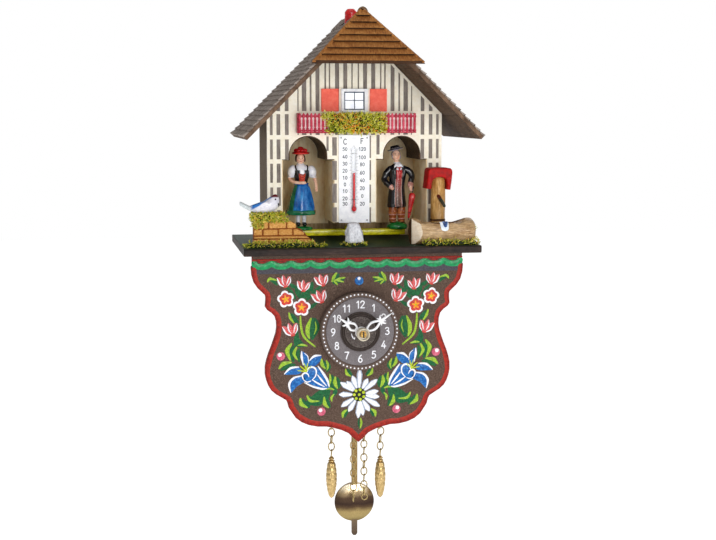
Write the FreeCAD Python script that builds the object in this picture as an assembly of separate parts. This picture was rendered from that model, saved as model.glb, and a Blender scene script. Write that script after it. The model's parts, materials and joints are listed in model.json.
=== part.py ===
import FreeCAD, Part
import math
import os
from FreeCAD import Vector as V

os.makedirs("parts", exist_ok=True)

# ----------------------------------------------------------------------------
# Weather house with a small pendulum clock hung below it.  Millimetres.
# +X to the viewer's right, +Y into the wall, +Z up.
# Origin: centre of the hanger hole, on the back face of the rear panel.
# ----------------------------------------------------------------------------

# house shell
WALL_T = 3.0            # board thickness of the walls
FRONT_Y = -40.0         # front face of the front wall
BACK_Y = 0.0            # back face of the rear panel
WALL_X = 44.4           # half width over the side walls
FLOOR_Z = -52.8         # top of the platform
GABLE_Z = 56.3          # where the roof undersides meet
HANG_R = 2.5            # hanger hole radius
REAR_Y = 10.0           # plane of the wall that the whole object hangs on

# platform
PLAT_X = 58.6
PLAT_Y0 = -68.6
PLAT_T = 3.7

# roof
ROOF_Y0 = -71.6
ROOF_L = 80.6           # slope length of the underside, one side
ROOF_T = 2.3            # board under the shingle butts
SHINGLE = 0.6           # height of a shingle butt
ROOF_ROWS = 24
HIP_Y = -78.9           # underside of the small front hip at its eave
HIP_Z = 35.0
HIP_ROWS = 9
HIP_APEX = 62.4

# doorways
DOOR_X = 23.85
ARCH_R = 9.7
ARCH_Z = -9.05
SHOULDER_Z = -11.0
LOW_X0, LOW_X1 = 10.45, 37.05
PIER_Z = -42.7

# figure arm
ARM_Y = -27.0
ARM_R = 28.5
FIG_X = 24.0
ARM_Z0, ARM_Z1 = -50.5, -47.5
GUT_R = 0.3

# plaque and dial
PLQ_F = -50.4           # front face of the plaque
PLQ_B = -46.4           # back face of the plaque
CX, CZ = 0.0, -96.3     # centre of the dial
DIAL_R = 19.8
DIAL_F = -55.9

# movement case
CASE_X = 30.0
CASE_Z0 = -130.0
CASE_T = 3.0
CASE_B = 7.0

# movement
FP0, FP1 = -34.6, -33.4     # front plate
BP0, BP1 = -13.4, -12.2     # back plate
PLATE_X = 20.0
PLATE_Z0, PLATE_Z1 = -124.0, -68.0
PIVOT_R = 0.5
RUN = 0.06                  # running clearance of the pivots
WIND_R = 1.5                # winding arbor
CAN_R = 2.1                 # cannon tube, outside
HOUR_R = 2.7                # hour tube, outside
MX = -10.5                  # minute wheel centre, left of the dial centre
PEND_Z = -82.3              # pendulum pivot
PEND_L = 106.6              # pivot to bob centre
ROD_Y0, ROD_Y1 = -38.2, -36.6

# hanging chains
EYE_Z = -133.4
WEIGHT_XL, WEIGHT_XR, WEIGHT_Y = -12.8, 12.6, -42.9
FREE_XL, FREE_XR, FREE_Y = -1.8, 3.7, -45.2


# ----------------------------------------------------------------------------
# helpers
# ----------------------------------------------------------------------------
def box(x0, x1, y0, y1, z0, z1):
    return Part.makeBox(x1 - x0, y1 - y0, z1 - z0, V(x0, y0, z0))


def cyl(r, x, y, z, d, h):
    return Part.makeCylinder(r, h, V(x, y, z), V(*d))


def ycyl(r, x, z, y0, y1):
    return Part.makeCylinder(r, y1 - y0, V(x, y0, z), V(0, 1, 0))


def zcyl(r, x, y, z0, z1):
    return Part.makeCylinder(r, z1 - z0, V(x, y, z0), V(0, 0, 1))


def face_of(points):
    return Part.Face(Part.makePolygon(points + [points[0]]))


def prism_xz(pts, y0, y1):
    return face_of([V(x, y0, z) for x, z in pts]).extrude(V(0, y1 - y0, 0))


def prism_yz(pts, x0, x1):
    return face_of([V(x0, y, z) for y, z in pts]).extrude(V(x1 - x0, 0, 0))


def prism_xy(pts, z0, z1):
    return face_of([V(x, y, z0) for x, y in pts]).extrude(V(0, 0, z1 - z0))


def turn_z(pts, x, y):
    """Solid of revolution about the upright line through (x, y); pts are (r, z)."""
    f = face_of([V(x + r, y, z) for r, z in pts])
    return f.revolve(V(x, y, 0), V(0, 0, 1), 360)


def turn_y(pts, x, z):
    """Solid of revolution about the line along Y through (x, z); pts are (r, y)."""
    f = face_of([V(x + r, y, z) for r, y in pts])
    return f.revolve(V(x, 0, z), V(0, 1, 0), 360)


def ball(rx, ry, rz, x, y, z):
    """Rounded egg: an ellipse turned about its longest upright or sideways axis."""
    n = 10
    if rx > rz:
        r, h = (ry + rz) / 2.0, rx
        prof = [V(x - h * math.cos(math.pi * k / n), y, z + r * math.sin(math.pi * k / n)) for k in range(n + 1)]
        f = Part.Face(Part.makePolygon(prof + [prof[0]]))
        return f.revolve(V(x, y, z), V(1, 0, 0), 360)
    r, h = (rx + ry) / 2.0, rz
    return turn_z([(r * math.sin(math.pi * k / n), z - h * math.cos(math.pi * k / n)) for k in range(n + 1)], x, y)


def fuse(first, *rest):
    out = first.multiFuse(list(rest)) if rest else first
    return out.removeSplitter()


def involute(a):
    return math.tan(a) - a


def gear_points(z, m, thick, add=0.9, ded=1.25, phase=0.0):
    """Closed outline of a spur gear, tooth 0 centred on the angle phase."""
    rp = z * m / 2.0
    rb = rp * math.cos(math.radians(25.0))
    ra = rp + add * m
    rf = rp - ded * m
    half = thick * math.pi / z
    ip = involute(math.acos(rb / rp))

    def ha(r):
        if r <= rb:
            return half + ip
        return max(half + ip - involute(math.acos(rb / r)), 0.15 / z)

    r0 = max(rb, rf)
    pts = []
    for i in range(z):
        c = phase + 2 * math.pi * i / z
        run = []
        if rf < r0 - 1e-6:
            run.append((rf, ha(r0)))
        for k in range(3):
            r = r0 + (ra - r0) * k / 2.0
            run.append((r, ha(r)))
        for r, a in run:
            pts.append((r * math.cos(c - a), r * math.sin(c - a)))
        for r, a in reversed(run):
            pts.append((r * math.cos(c + a), r * math.sin(c + a)))
    return pts


def gear(x, z, teeth, m, y0, y1, thick=0.42, phase=0.0, add=0.9):
    pts = gear_points(teeth, m, thick, add=add, phase=phase)
    return prism_xz([(x + a, z + b) for a, b in pts], y0, y1)


def arbor(x, z, y0=FP0, y1=BP1, r=PIVOT_R):
    return ycyl(r, x, z, y0, y1)


NODES = {}


def keep(name, shape):
    solids = shape.Solids
    if len(solids) == 1:
        shape = solids[0]
    NODES[name] = shape


# ----------------------------------------------------------------------------
# platform and walls
# ----------------------------------------------------------------------------
plat = prism_yz([(PLAT_Y0 + 0.9, FLOOR_Z - PLAT_T), (PLAT_Y0, FLOOR_Z - PLAT_T + 0.9),
                 (PLAT_Y0, FLOOR_Z - 0.6), (PLAT_Y0 + 0.6, FLOOR_Z),
                 (REAR_Y, FLOOR_Z), (REAR_Y, FLOOR_Z - PLAT_T)], -PLAT_X, PLAT_X)
keep("platform", plat)


def door_tool(y0, y1):
    """Both doorways with the low slot that lets the figure arm swing."""
    out = box(-LOW_X1, LOW_X1, y0, y1, FLOOR_Z - 1, PIER_Z)
    for s in (-1, 1):
        a, b = sorted((s * LOW_X0, s * LOW_X1))
        out = out.fuse(box(a, b, y0, y1, PIER_Z - 1, SHOULDER_Z))
        a, b = sorted((s * (DOOR_X - ARCH_R), s * (DOOR_X + ARCH_R)))
        out = out.fuse(box(a, b, y0, y1, SHOULDER_Z - 1, ARCH_Z))
        out = out.fuse(ycyl(ARCH_R, s * DOOR_X, ARCH_Z, y0, y1))
    return out.removeSplitter()


gable = [(-WALL_X, FLOOR_Z), (-WALL_X, GABLE_Z - WALL_X), (0, GABLE_Z),
         (WALL_X, GABLE_Z - WALL_X), (WALL_X, FLOOR_Z)]
front = prism_xz(gable, FRONT_Y, FRONT_Y + WALL_T).cut(door_tool(FRONT_Y - 1, FRONT_Y + WALL_T + 1))
keep("front_wall", front.removeSplitter())

# timber lattice: a thin pierced overlay on the front wall
LAT_T = 0.5
lat_outline = [(-WALL_X, FLOOR_Z), (-WALL_X, GABLE_Z - WALL_X - 0.4), (0, GABLE_Z - 0.4),
               (WALL_X, GABLE_Z - WALL_X - 0.4), (WALL_X, FLOOR_Z)]
lattice = prism_xz(lat_outline, FRONT_Y - LAT_T, FRONT_Y)
bars = [(-58.0, -51.4), (-36.3, -34.1), (-24.9, -22.6), (-13.1, -10.9), (-1.1, 1.1), (11.4, 12.9)]
gaps = [(1.27, 1.93), (4.0, 6.0), (8.1, 10.2), (12.6, 13.3), (14.7, 15.5), (18.0, 20.0),
        (22.0, 22.9), (24.6, 26.9), (28.5, 29.1), (33.5, 35.4), (37.7, 39.6), (41.5, 42.9)]
cuts = []
for a, b in gaps:
    for s in (-1, 1):
        x0, x1 = sorted((s * a, s * b))
        top0 = GABLE_Z - 0.4 - 1.6 - abs(x0)
        top1 = GABLE_Z - 0.4 - 1.6 - abs(x1)
        if min(top0, top1) > 13.4:
            cuts.append(prism_xz([(x0, 12.9), (x0, top0), (x1, top1), (x1, 12.9)],
                                 FRONT_Y - LAT_T - 1, FRONT_Y))
        z1 = min(11.4, min(top0, top1))
        cuts.append(box(x0, x1, FRONT_Y - LAT_T - 1, FRONT_Y, 1.1, z1))
        if a > 33:
            cuts.append(box(x0, x1, FRONT_Y - LAT_T - 1, FRONT_Y, -10.9, -1.1))
        if a > 37:
            cuts.append(box(x0, x1, FRONT_Y - LAT_T - 1, FRONT_Y, -22.6, -13.1))
            cuts.append(box(x0, x1, FRONT_Y - LAT_T - 1, FRONT_Y, -34.1, -24.9))
            cuts.append(box(x0, x1, FRONT_Y - LAT_T - 1, FRONT_Y, -51.4, -36.3))
cuts.append(door_tool(FRONT_Y - 2, FRONT_Y + 1))
lattice = lattice.cut(cuts)
lat_solid = max(lattice.Solids, key=lambda s: s.Volume)
keep("timber_lattice", lat_solid)

# side walls, their tops bevelled to the roof
sides = []
for s in (-1, 1):
    sides.append(prism_xz([(s * WALL_X, FLOOR_Z), (s * WALL_X, GABLE_Z - WALL_X),
                           (s * (WALL_X - WALL_T), GABLE_Z - WALL_X + WALL_T),
                           (s * (WALL_X - WALL_T), FLOOR_Z)], FRONT_Y + WALL_T, BACK_Y))
keep("side_walls", Part.Compound(sides))

inner = WALL_X - WALL_T
rear = prism_xz([(-inner, FLOOR_Z), (-inner, GABLE_Z - inner), (0, GABLE_Z),
                 (inner, GABLE_Z - inner), (inner, FLOOR_Z)], BACK_Y - WALL_T, BACK_Y)
rear = rear.cut(ycyl(HANG_R, 0, 0, BACK_Y - WALL_T - 1, BACK_Y + 1))
keep("rear_panel", rear)

# ----------------------------------------------------------------------------
# roof
# ----------------------------------------------------------------------------
c45 = math.sqrt(0.5)


def slope_pt(s, n):
    return (s * c45 + n * c45, GABLE_Z - s * c45 + n * c45)


roof_pts = [(0.0, GABLE_Z), slope_pt(ROOF_L, 0)]
pitch = (ROOF_L + 2.6) / ROOF_ROWS
for k in range(ROOF_ROWS):
    s_low = ROOF_L - k * pitch
    s_high = ROOF_L - (k + 1) * pitch
    roof_pts.append(slope_pt(s_low, ROOF_T + SHINGLE))
    if k < ROOF_ROWS - 1:
        roof_pts.append(slope_pt(s_high, ROOF_T))
    else:
        roof_pts.append((0.0, GABLE_Z + (ROOF_T) / c45))
# undersides of the front hip: everything above this plane is cut away
hu = (0.5976, 0.8018)           # up the hip, in (y, z)
hn = (-0.8018, 0.5976)          # out of the hip


def hip_pt(s, n):
    return (HIP_Y + s * hu[0] + n * hn[0], HIP_Z + s * hu[1] + n * hn[1])


hip_len = 35.5
tool = prism_yz([hip_pt(-6, 0), hip_pt(60, 0), hip_pt(60, 40), hip_pt(-6, 40)], -70, 70)
right_roof = prism_xz(roof_pts, ROOF_Y0, REAR_Y).cut(tool)
shaft_hole = zcyl(1.56, 0, ARM_Y, 40, 70)
right_roof = right_roof.cut(shaft_hole)
mirror = lambda s: s.mirror(V(0, 0, 0), V(1, 0, 0))
left_roof = mirror(right_roof)
keep("right_roof", right_roof)
keep("left_roof", left_roof)

HIP_T = 1.5
HIP_B = 0.55
hp = [hip_pt(0, 0)]
hp_pitch = hip_len / HIP_ROWS
for k in range(HIP_ROWS):
    hp.append(hip_pt(k * hp_pitch, HIP_T + HIP_B))
    hp.append(hip_pt((k + 1) * hp_pitch, HIP_T))
hp.append(hip_pt(hip_len, 0))
hip = prism_yz(hp, -40, 40)
hip = hip.common(prism_xz([(-60, HIP_APEX - 60), (0, HIP_APEX), (60, HIP_APEX - 60)], -100, 0))
keep("hip_roof", hip)

# chimney: a fixed saddle on the ridge and a turning cap, coaxial with the arm
KNOB_R = 3.1
saddle = zcyl(KNOB_R, 0, ARM_Y, 56.0, 60.9).cut(zcyl(1.56, 0, ARM_Y, 40, 70))
saddle = saddle.cut(prism_xz([(-70, GABLE_Z - 70), (0, GABLE_Z), (70, GABLE_Z - 70)], -60, 0))
saddle = saddle.cut(right_roof).cut(left_roof)
saddle = max(saddle.Solids, key=lambda s: s.Volume)
keep("chimney_base", saddle)
knob = turn_z([(0, 46.0), (1.5, 46.0), (1.5, 61.0), (KNOB_R, 61.0), (KNOB_R, 62.6),
               (KNOB_R - 1.3, 64.2), (0, 64.2)], 0, ARM_Y)
knob = knob.cut(zcyl(GUT_R, 0, ARM_Y, 45.9, 50.0))
keep("adjusting_knob", knob)

# twisted gut: clamped in the knob shaft, its foot enters the hub of the arm
keep("gut_string", zcyl(GUT_R, 0, ARM_Y, -48.6, 50.0))

# ----------------------------------------------------------------------------
# figure arm and figures
# ----------------------------------------------------------------------------
arm = box(-ARM_R + 2.5, ARM_R - 2.5, ARM_Y - 2.5, ARM_Y + 2.5, ARM_Z0, ARM_Z1)
arm = fuse(arm, zcyl(2.5, -ARM_R + 2.5, ARM_Y, ARM_Z0, ARM_Z1),
           zcyl(2.5, ARM_R - 2.5, ARM_Y, ARM_Z0, ARM_Z1),
           zcyl(3.4, 0, ARM_Y, ARM_Z0, ARM_Z1 + 2.0))
arm = arm.cut(zcyl(GUT_R + 0.12, 0, ARM_Y, -49.2, -40))
keep("figure_arm", arm)

FIG_Z = ARM_Z1
woman = turn_z([(0, FIG_Z), (5.3, FIG_Z), (5.3, FIG_Z + 1.2), (4.4, FIG_Z + 2.0), (2.4, FIG_Z + 2.0),
                (2.2, -41.8), (6.6, -41.6), (6.4, -39.5), (5.0, -31.0), (3.4, -25.2), (3.6, -21.5),
                (3.0, -19.0), (1.4, -18.0), (0, -18.0)], -FIG_X, ARM_Y)
woman = fuse(woman, ball(3.3, 3.2, 3.6, -FIG_X, ARM_Y, -14.6),
             turn_z([(0, -12.4), (4.3, -12.4), (4.4, -11.2), (3.4, -9.6), (2.6, -7.4), (1.4, -5.2), (0, -4.9)], -FIG_X, ARM_Y),
             ball(2.4, 2.4, 3.6, -FIG_X - 4.6, ARM_Y - 0.4, -22.4),
             ball(2.4, 2.4, 3.6, -FIG_X + 4.6, ARM_Y - 0.4, -22.4),
             ball(3.4, 2.2, 1.5, -FIG_X, ARM_Y - 3.6, -25.6))
keep("woman_figure", woman)

man = turn_z([(0, FIG_Z), (5.3, FIG_Z), (5.3, FIG_Z + 1.2), (4.4, FIG_Z + 2.2), (3.0, FIG_Z + 2.2),
              (3.1, -37.0), (5.4, -36.6), (5.2, -30.0), (4.7, -24.0), (4.5, -20.5), (3.2, -18.2),
              (1.6, -17.2), (0, -17.2)], FIG_X, ARM_Y)
man = fuse(man, ball(3.2, 3.1, 3.6, FIG_X, ARM_Y, -13.8),
           turn_z([(0, -11.6), (5.5, -11.6), (5.5, -10.8), (3.3, -9.8), (3.0, -6.4), (2.2, -4.6), (0, -4.2)], FIG_X, ARM_Y),
           ball(2.1, 2.2, 6.0, FIG_X - 5.6, ARM_Y - 0.4, -25.4),
           ball(2.1, 2.2, 6.0, FIG_X + 5.4, ARM_Y - 0.6, -25.4),
           ball(1.3, 1.5, 1.6, FIG_X + 6.2, ARM_Y - 2.2, -30.6))
umb = Part.makeCone(1.2, 0.45, 11.2, V(31.2, ARM_Y - 4.7, -30.2), V(-2.2, -0.3, -11.0))
keep("man_figure", man)
keep("umbrella", umb)

# ----------------------------------------------------------------------------
# thermometer
# ----------------------------------------------------------------------------
TX = -0.9
TY = -42.35
card = box(-8.45, 7.15, -41.3, FRONT_Y - LAT_T, -43.0, 1.0)
card = card.cut(Part.makeSphere(1.7, V(TX, TY, -35.8)))
keep("thermometer_card", card)
tube = turn_z([(0, -38.2), (0.9, -37.0), (1.35, -36.0), (1.0, -34.6), (0.95, -5.0), (0.5, -4.4), (0, -4.2)], TX, TY)
inside = turn_z([(0, -37.2), (0.7, -36.8), (0.95, -36.0), (0.5, -35.0), (0.45, -6.0), (0, -6.0)], TX, TY)
keep("thermometer_tube", tube.cut(inside))
liquid = turn_z([(0, -37.2), (0.7, -36.8), (0.95, -36.0), (0.5, -35.0),
                 (0.45 + 0.05 * (17.9 - 6.0) / 29.0, -17.9), (0, -17.9)], TX, TY)
keep("thermometer_liquid", liquid)

# ----------------------------------------------------------------------------
# window, shutters, balcony
# ----------------------------------------------------------------------------
LAT_Y = FRONT_Y - LAT_T
frame = box(-7.0, 7.0, LAT_Y - 1.2, LAT_Y, 12.7, 24.1).cut(box(-5.2, 5.2, LAT_Y - 2, LAT_Y, 14.2, 22.4))
frame = frame.fuse([box(-0.4, 0.4, LAT_Y - 1.0, LAT_Y - 0.4, 14.2, 22.4),
                    box(-5.2, 5.2, LAT_Y - 1.0, LAT_Y - 0.4, 17.9, 18.7)]).removeSplitter()
keep("window_frame", frame)
keep("window_glazing", box(-5.2, 5.2, LAT_Y - 0.4, LAT_Y, 14.2, 22.4))


def shutter(s):
    a, b = sorted((s * 7.3, s * 16.7))
    body = box(a, b, LAT_Y - 1.0, LAT_Y, 12.9, 24.1)
    slots = [box(a + 1.2, b - 1.2, LAT_Y - 2, LAT_Y - 0.6, 14.2 + 1.2 * k, 14.75 + 1.2 * k) for k in range(8)]
    return body.cut(slots)


keep("shutters", Part.Compound([shutter(-1), shutter(1)]))


def rail(s):
    x0, x1 = 16.3, 30.0
    parts = [box(x0, x1, -46.3, LAT_Y, 2.0, 2.9), box(x0, x1, -46.3, -45.3, 11.0, 12.2),
             box(x1 - 1.0, x1, -45.3, LAT_Y, 2.9, 12.2)]
    n = 6
    for k in range(n):
        x = x0 + 0.2 + k * (x1 - x0 - 1.9) / (n - 1)
        parts.append(box(x, x + 1.5, -46.2, -45.4, 2.5, 11.5))
    out = fuse(parts[0], *parts[1:])
    return out if s > 0 else mirror(out)


keep("balcony_rails", Part.Compound([rail(-1), rail(1)]))
clump = box(-16.1, 16.1, -47.6, LAT_Y, 1.8, 11.6)
clump = clump.makeFillet(1.6, [e for e in clump.Edges
                               if abs(e.CenterOfMass.y + 47.6) < 0.01 or
                               (abs(e.CenterOfMass.z - 11.6) < 0.01 and abs(abs(e.CenterOfMass.x) - 16.1) < 0.01)])
keep("flower_box", clump)

# ----------------------------------------------------------------------------
# garden on the platform
# ----------------------------------------------------------------------------
gw = prism_xz([(-54.0, FLOOR_Z), (-54.0, -40.0), (-33.2, -40.0), (-32.4, -43.2), (-29.4, -44.0),
               (-28.2, -47.4), (-25.0, -48.2), (-23.6, FLOOR_Z)], -61.0, -55.0)
keep("garden_wall", gw)
moss_top = box(-54.4, -38.2, -61.6, -54.4, -40.0, -36.0)
moss_top = moss_top.makeFillet(1.8, [e for e in moss_top.Edges if e.CenterOfMass.z > -39.9 and
                                     (abs(e.CenterOfMass.z + 36.0) < 0.01 or abs(e.CenterOfMass.z + 38.0) < 0.1)])
moss_wall = prism_yz([(-65.6, FLOOR_Z), (-64.6, -50.8), (-61.0, -49.4), (-61.0, FLOOR_Z)], -57.4, -18.0)
moss_stone = turn_z([(0, FLOOR_Z), (6.6, FLOOR_Z), (5.8, -51.2), (4.8, -50.6), (0, -50.6)], -3.6, -58.6)
moss_log = prism_yz([(-67.2, FLOOR_Z), (-66.0, -50.6), (-64.6, -49.6), (-64.6, FLOOR_Z)], 31.0, 57.8)
stone_prof = [(0, -52.0), (5.0, -52.0), (4.7, -47.5), (3.2, -43.8), (1.2, -41.4), (0, -41.2)]
stone = turn_z([(0, -50.6), (4.75, -50.6), (4.6, -47.5), (3.2, -43.8), (1.2, -41.6), (0, -41.3)], -3.6, -58.6)
keep("garden_stone", stone)
keep("garden_moss", Part.Compound([moss_top, moss_wall, moss_stone, moss_log]))

bird = ball(6.6, 3.0, 3.4, -46.0, -58.2, -32.6)
bird = fuse(bird, ball(3.0, 2.6, 2.9, -41.6, -58.2, -29.4),
            Part.makeCone(1.7, 0.7, 9.0, V(-50.6, -58.2, -32.0), V(-8.6, 0, 1.6)),
            Part.makeCone(0.8, 0.1, 2.2, V(-39.2, -58.2, -29.5), V(1, 0, 0)))
keep("bird", bird)

LOG_Y, LOG_Z, LOG_R = -58.0, -46.35, 6.45
log = cyl(LOG_R, 25.2, LOG_Y, LOG_Z, (1, 0, 0), 32.6)
log = log.cut(cyl(4.7, 30.6, LOG_Y, LOG_Z + 4.6, (1, 0, 0), 23.0))
log = log.cut(box(20, 60, -70, -40, -60, FLOOR_Z))
keep("log_trough", max(log.Solids, key=lambda s: s.Volume))
POST_X, POST_Y, POST_R = 41.1, -47.2, 3.7
keep("well_post", zcyl(POST_R, POST_X, POST_Y, FLOOR_Z, -19.0))
hood = prism_xz([(34.4, -25.4), (36.0, -16.6), (37.2, -15.4), (45.4, -15.4), (46.6, -16.6), (48.2, -26.2),
                 (46.4, -26.6), (44.95, -19.0), (37.25, -19.0), (36.2, -25.8)], -52.6, -42.4)
keep("well_hood", hood)
spout = Part.makeCylinder(0.85, 6.4, V(40.9, POST_Y - 3.4, -29.6), V(1.9, -4.6, -4.0))
spout = spout.cut(zcyl(POST_R, POST_X, POST_Y, FLOOR_Z, -19.0))
keep("well_spout", max(spout.Solids, key=lambda s: s.Volume))

# ----------------------------------------------------------------------------
# plaque and dial
# ----------------------------------------------------------------------------
half = [(53.2, -56.5), (53.2, -63.1), (53.76, -63.75), (53.45, -67.79), (52.4, -71.44), (50.59, -74.17),
        (48.43, -76.27), (46.85, -77.8), (46.61, -78.91), (46.63, -80.36), (46.9, -83.66),
        (45.97, -85.13), (43.79, -86.69), (42.11, -88.54), (41.38, -91.18), (41.25, -94.1),
        (41.68, -97.06), (42.65, -100.01), (43.92, -103.66), (45.4, -107.35), (46.53, -111.01),
        (47.15, -113.97), (47.18, -117.67), (46.61, -120.69), (45.53, -123.67), (44.1, -125.96),
        (41.9, -127.92), (39.3, -129.49), (36.74, -131.11), (36.0, -132.62), (35.31, -135.26),
        (33.81, -137.57), (32.0, -140.3), (29.03, -142.68), (25.33, -144.31), (20.86, -145.26),
        (16.38, -145.44), (12.61, -146.31), (8.87, -147.45), (5.13, -149.3), (2.82, -151.68)]
outline = half + [(0.0, -154.08)] + [(-x, z) for x, z in reversed(half)]
plaque = prism_xz(outline, PLQ_F, PLQ_B).cut(ycyl(3.2, CX, CZ, PLQ_F - 1, PLQ_B + 1))
keep("plaque", plaque)

dial = turn_y([(HOUR_R + 0.1, PLQ_F), (DIAL_R, PLQ_F), (DIAL_R, DIAL_F + 0.7), (DIAL_R - 0.7, DIAL_F),
               (17.5, DIAL_F), (17.2, DIAL_F + 0.4), (16.9, DIAL_F), (10.1, DIAL_F), (9.9, DIAL_F - 0.6),
               (9.2, DIAL_F - 0.6), (9.0, DIAL_F - 0.2), (8.8, DIAL_F - 1.2), (8.1, DIAL_F - 1.2),
               (7.9, DIAL_F - 0.8), (7.7, DIAL_F - 1.8), (HOUR_R + 0.1, DIAL_F - 1.8)], CX, CZ)
keep("dial", dial)

# ----------------------------------------------------------------------------
# hands
# ----------------------------------------------------------------------------
def hand(length, y0, y1, bore, clock_deg, scale):
    """Pierced hand pointing up, then turned clockwise as the viewer sees it."""
    s = scale
    outer = [(-0.55, 2.6), (-1.0 * s, 3.6), (-2.15 * s, 0.36 * length), (-1.75 * s, 0.47 * length),
             (-0.75 * s, 0.55 * length), (-2.3 * s, 0.565 * length), (-2.5 * s, 0.61 * length),
             (-0.95 * s, 0.645 * length), (-0.42, 0.72 * length), (-0.28, length - 0.4), (0, length)]
    outer = outer + [(-x, z) for x, z in reversed(outer[:-1])]
    window = [(0, 0.255 * length), (-1.15 * s, 0.365 * length), (-0.9 * s, 0.46 * length), (0, 0.52 * length),
              (0.9 * s, 0.46 * length), (1.15 * s, 0.365 * length)]
    h = prism_xz([(CX + x, CZ + z) for x, z in outer], y0, y1)
    h = h.cut(prism_xz([(CX + x, CZ + z) for x, z in window], y0 - 1, y1 + 1))
    h = fuse(h, ycyl(3.3, CX, CZ, y0, y1)).cut(ycyl(bore, CX, CZ, y0 - 1, y1 + 1))
    h.rotate(V(CX, 0, CZ), V(0, 1, 0), clock_deg)
    return h


HH0, HH1 = -59.8, -59.1
MH0, MH1 = -62.2, -61.5
MIN_DEG, HOUR_DEG = 56.7, 304.7
keep("hour_hand", hand(14.1, HH0, HH1, HOUR_R, HOUR_DEG, 0.95))
keep("minute_hand", hand(18.6, MH0, MH1, CAN_R, MIN_DEG, 1.0))
nut = turn_y([(CAN_R, MH0), (3.2, MH0), (3.2, -65.6), (2.9, -66.2), (2.5, -66.2), (2.5, -64.0), (CAN_R, -64.0)], CX, CZ)
keep("hand_nut", nut)

# ----------------------------------------------------------------------------
# motion work between the plaque and the front plate
# ----------------------------------------------------------------------------
M1, M2 = 0.375, 0.35
cannon = gear(CX, CZ, 14, M1, -43.8, -42.6, phase=math.pi)
cannon = fuse(cannon, ycyl(CAN_R, CX, CZ, -64.0, -42.6)).cut(ycyl(WIND_R + RUN, CX, CZ, -65, -42))
keep("cannon_pinion", cannon)
hourw = gear(CX, CZ, 48, M2, -45.6, -44.6, phase=math.pi + math.pi / 48)
hourw = fuse(hourw, ycyl(HOUR_R, CX, CZ, HH0, -44.6)).cut(ycyl(CAN_R + RUN, CX, CZ, -61, -44))
keep("hour_wheel", hourw)
minw = gear(MX, CZ, 42, M1, -43.8, -42.8, phase=math.pi / 42)
minw = fuse(minw, gear(MX, CZ, 12, M2, -45.6, -44.6, phase=0.0), ycyl(1.6, MX, CZ, -44.7, -43.7))
minw = minw.cut(ycyl(0.7 + RUN, MX, CZ, -47, -42))
keep("minute_wheel", minw)

# ----------------------------------------------------------------------------
# going train between the plates
# ----------------------------------------------------------------------------
SX, SZ = 10.5 * math.cos(math.radians(35)), CZ + 10.5 * math.sin(math.radians(35))
EX, EZ = 8.5 * math.cos(math.radians(40)), PEND_Z + 8.5 * math.sin(math.radians(40))
d_se = math.hypot(EX - SX, EZ - SZ)
ux, uz = (EX - SX) / d_se, (EZ - SZ) / d_se
ka = (8.5 ** 2 - 6.4 ** 2 + d_se ** 2) / (2 * d_se)
kh = math.sqrt(8.5 ** 2 - ka ** 2)
TX3, TZ3 = SX + ka * ux + kh * uz, SZ + ka * uz - kh * ux
a_cs = math.atan2(SZ - CZ, SX - CX)
a_st = math.atan2(TZ3 - SZ, TX3 - SX)
a_te = math.atan2(EZ - TZ3, EX - TX3)

barrel = gear(CX, CZ, 60, 0.3, -21.5, -20.5, thick=0.40, phase=a_cs)
barrel = fuse(barrel, ycyl(8.3, CX, CZ, -20.6, -14.7))
barrel = barrel.cut(ycyl(7.7, CX, CZ, -20.5, -15.3)).cut(ycyl(WIND_R + RUN, CX, CZ, -30, -10))
keep("barrel", barrel)
wind = fuse(ycyl(WIND_R, CX, CZ, -66.0, -11.4), ycyl(2.3, CX, CZ, -20.2, -15.6))
wind = wind.cut(box(-0.35, 0.35, -66.5, -64.6, CZ - 2, CZ + 2))
keep("winding_arbor", wind)
# spring: a flat spiral strip wound inside the drum
turns, n_seg = 6.0, 144
inner_pts, outer_pts = [], []
for k in range(n_seg + 1):
    a = 2 * math.pi * turns * k / n_seg
    r = 2.75 + (7.2 - 2.75) * k / n_seg
    inner_pts.append((CX + r * math.cos(a), CZ + r * math.sin(a)))
    outer_pts.append((CX + (r + 0.28) * math.cos(a), CZ + (r + 0.28) * math.sin(a)))
keep("mainspring", prism_xz(inner_pts + list(reversed(outer_pts)), -20.1, -15.7))

second = gear(SX, SZ, 10, 0.3, -22.2, -19.9, thick=0.38, phase=a_cs + math.pi + math.pi / 10)
second = fuse(second, gear(SX, SZ, 60, 0.25, -25.0, -24.2, thick=0.38, phase=a_st), arbor(SX, SZ),
              ycyl(1.1, SX, SZ, -24.3, -22.1))
keep("second_wheel", second)
third = gear(TX3, TZ3, 8, 0.25, -26.0, -23.4, thick=0.36, phase=a_st + math.pi + math.pi / 8)
third = fuse(third, gear(TX3, TZ3, 56, 0.2, -28.6, -27.8, thick=0.38, phase=a_te), arbor(TX3, TZ3))
keep("third_wheel", third)
esc_pts = []
for k in range(30):
    a = 2 * math.pi * k / 30
    esc_pts.append((EX + 4.3 * math.cos(a), EZ + 4.3 * math.sin(a)))
    esc_pts.append((EX + 5.2 * math.cos(a + 0.03), EZ + 5.2 * math.sin(a + 0.03)))
    esc_pts.append((EX + 5.2 * math.cos(a + 0.06), EZ + 5.2 * math.sin(a + 0.06)))
    esc_pts.append((EX + 4.3 * math.cos(a + 0.14), EZ + 4.3 * math.sin(a + 0.14)))
escape = prism_xz(esc_pts, -31.6, -30.8)
escape = fuse(escape, gear(EX, EZ, 8, 0.2, -29.6, -26.8, thick=0.36, phase=a_te + math.pi + math.pi / 8),
              arbor(EX, EZ))
keep("escape_wheel", escape)

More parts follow.
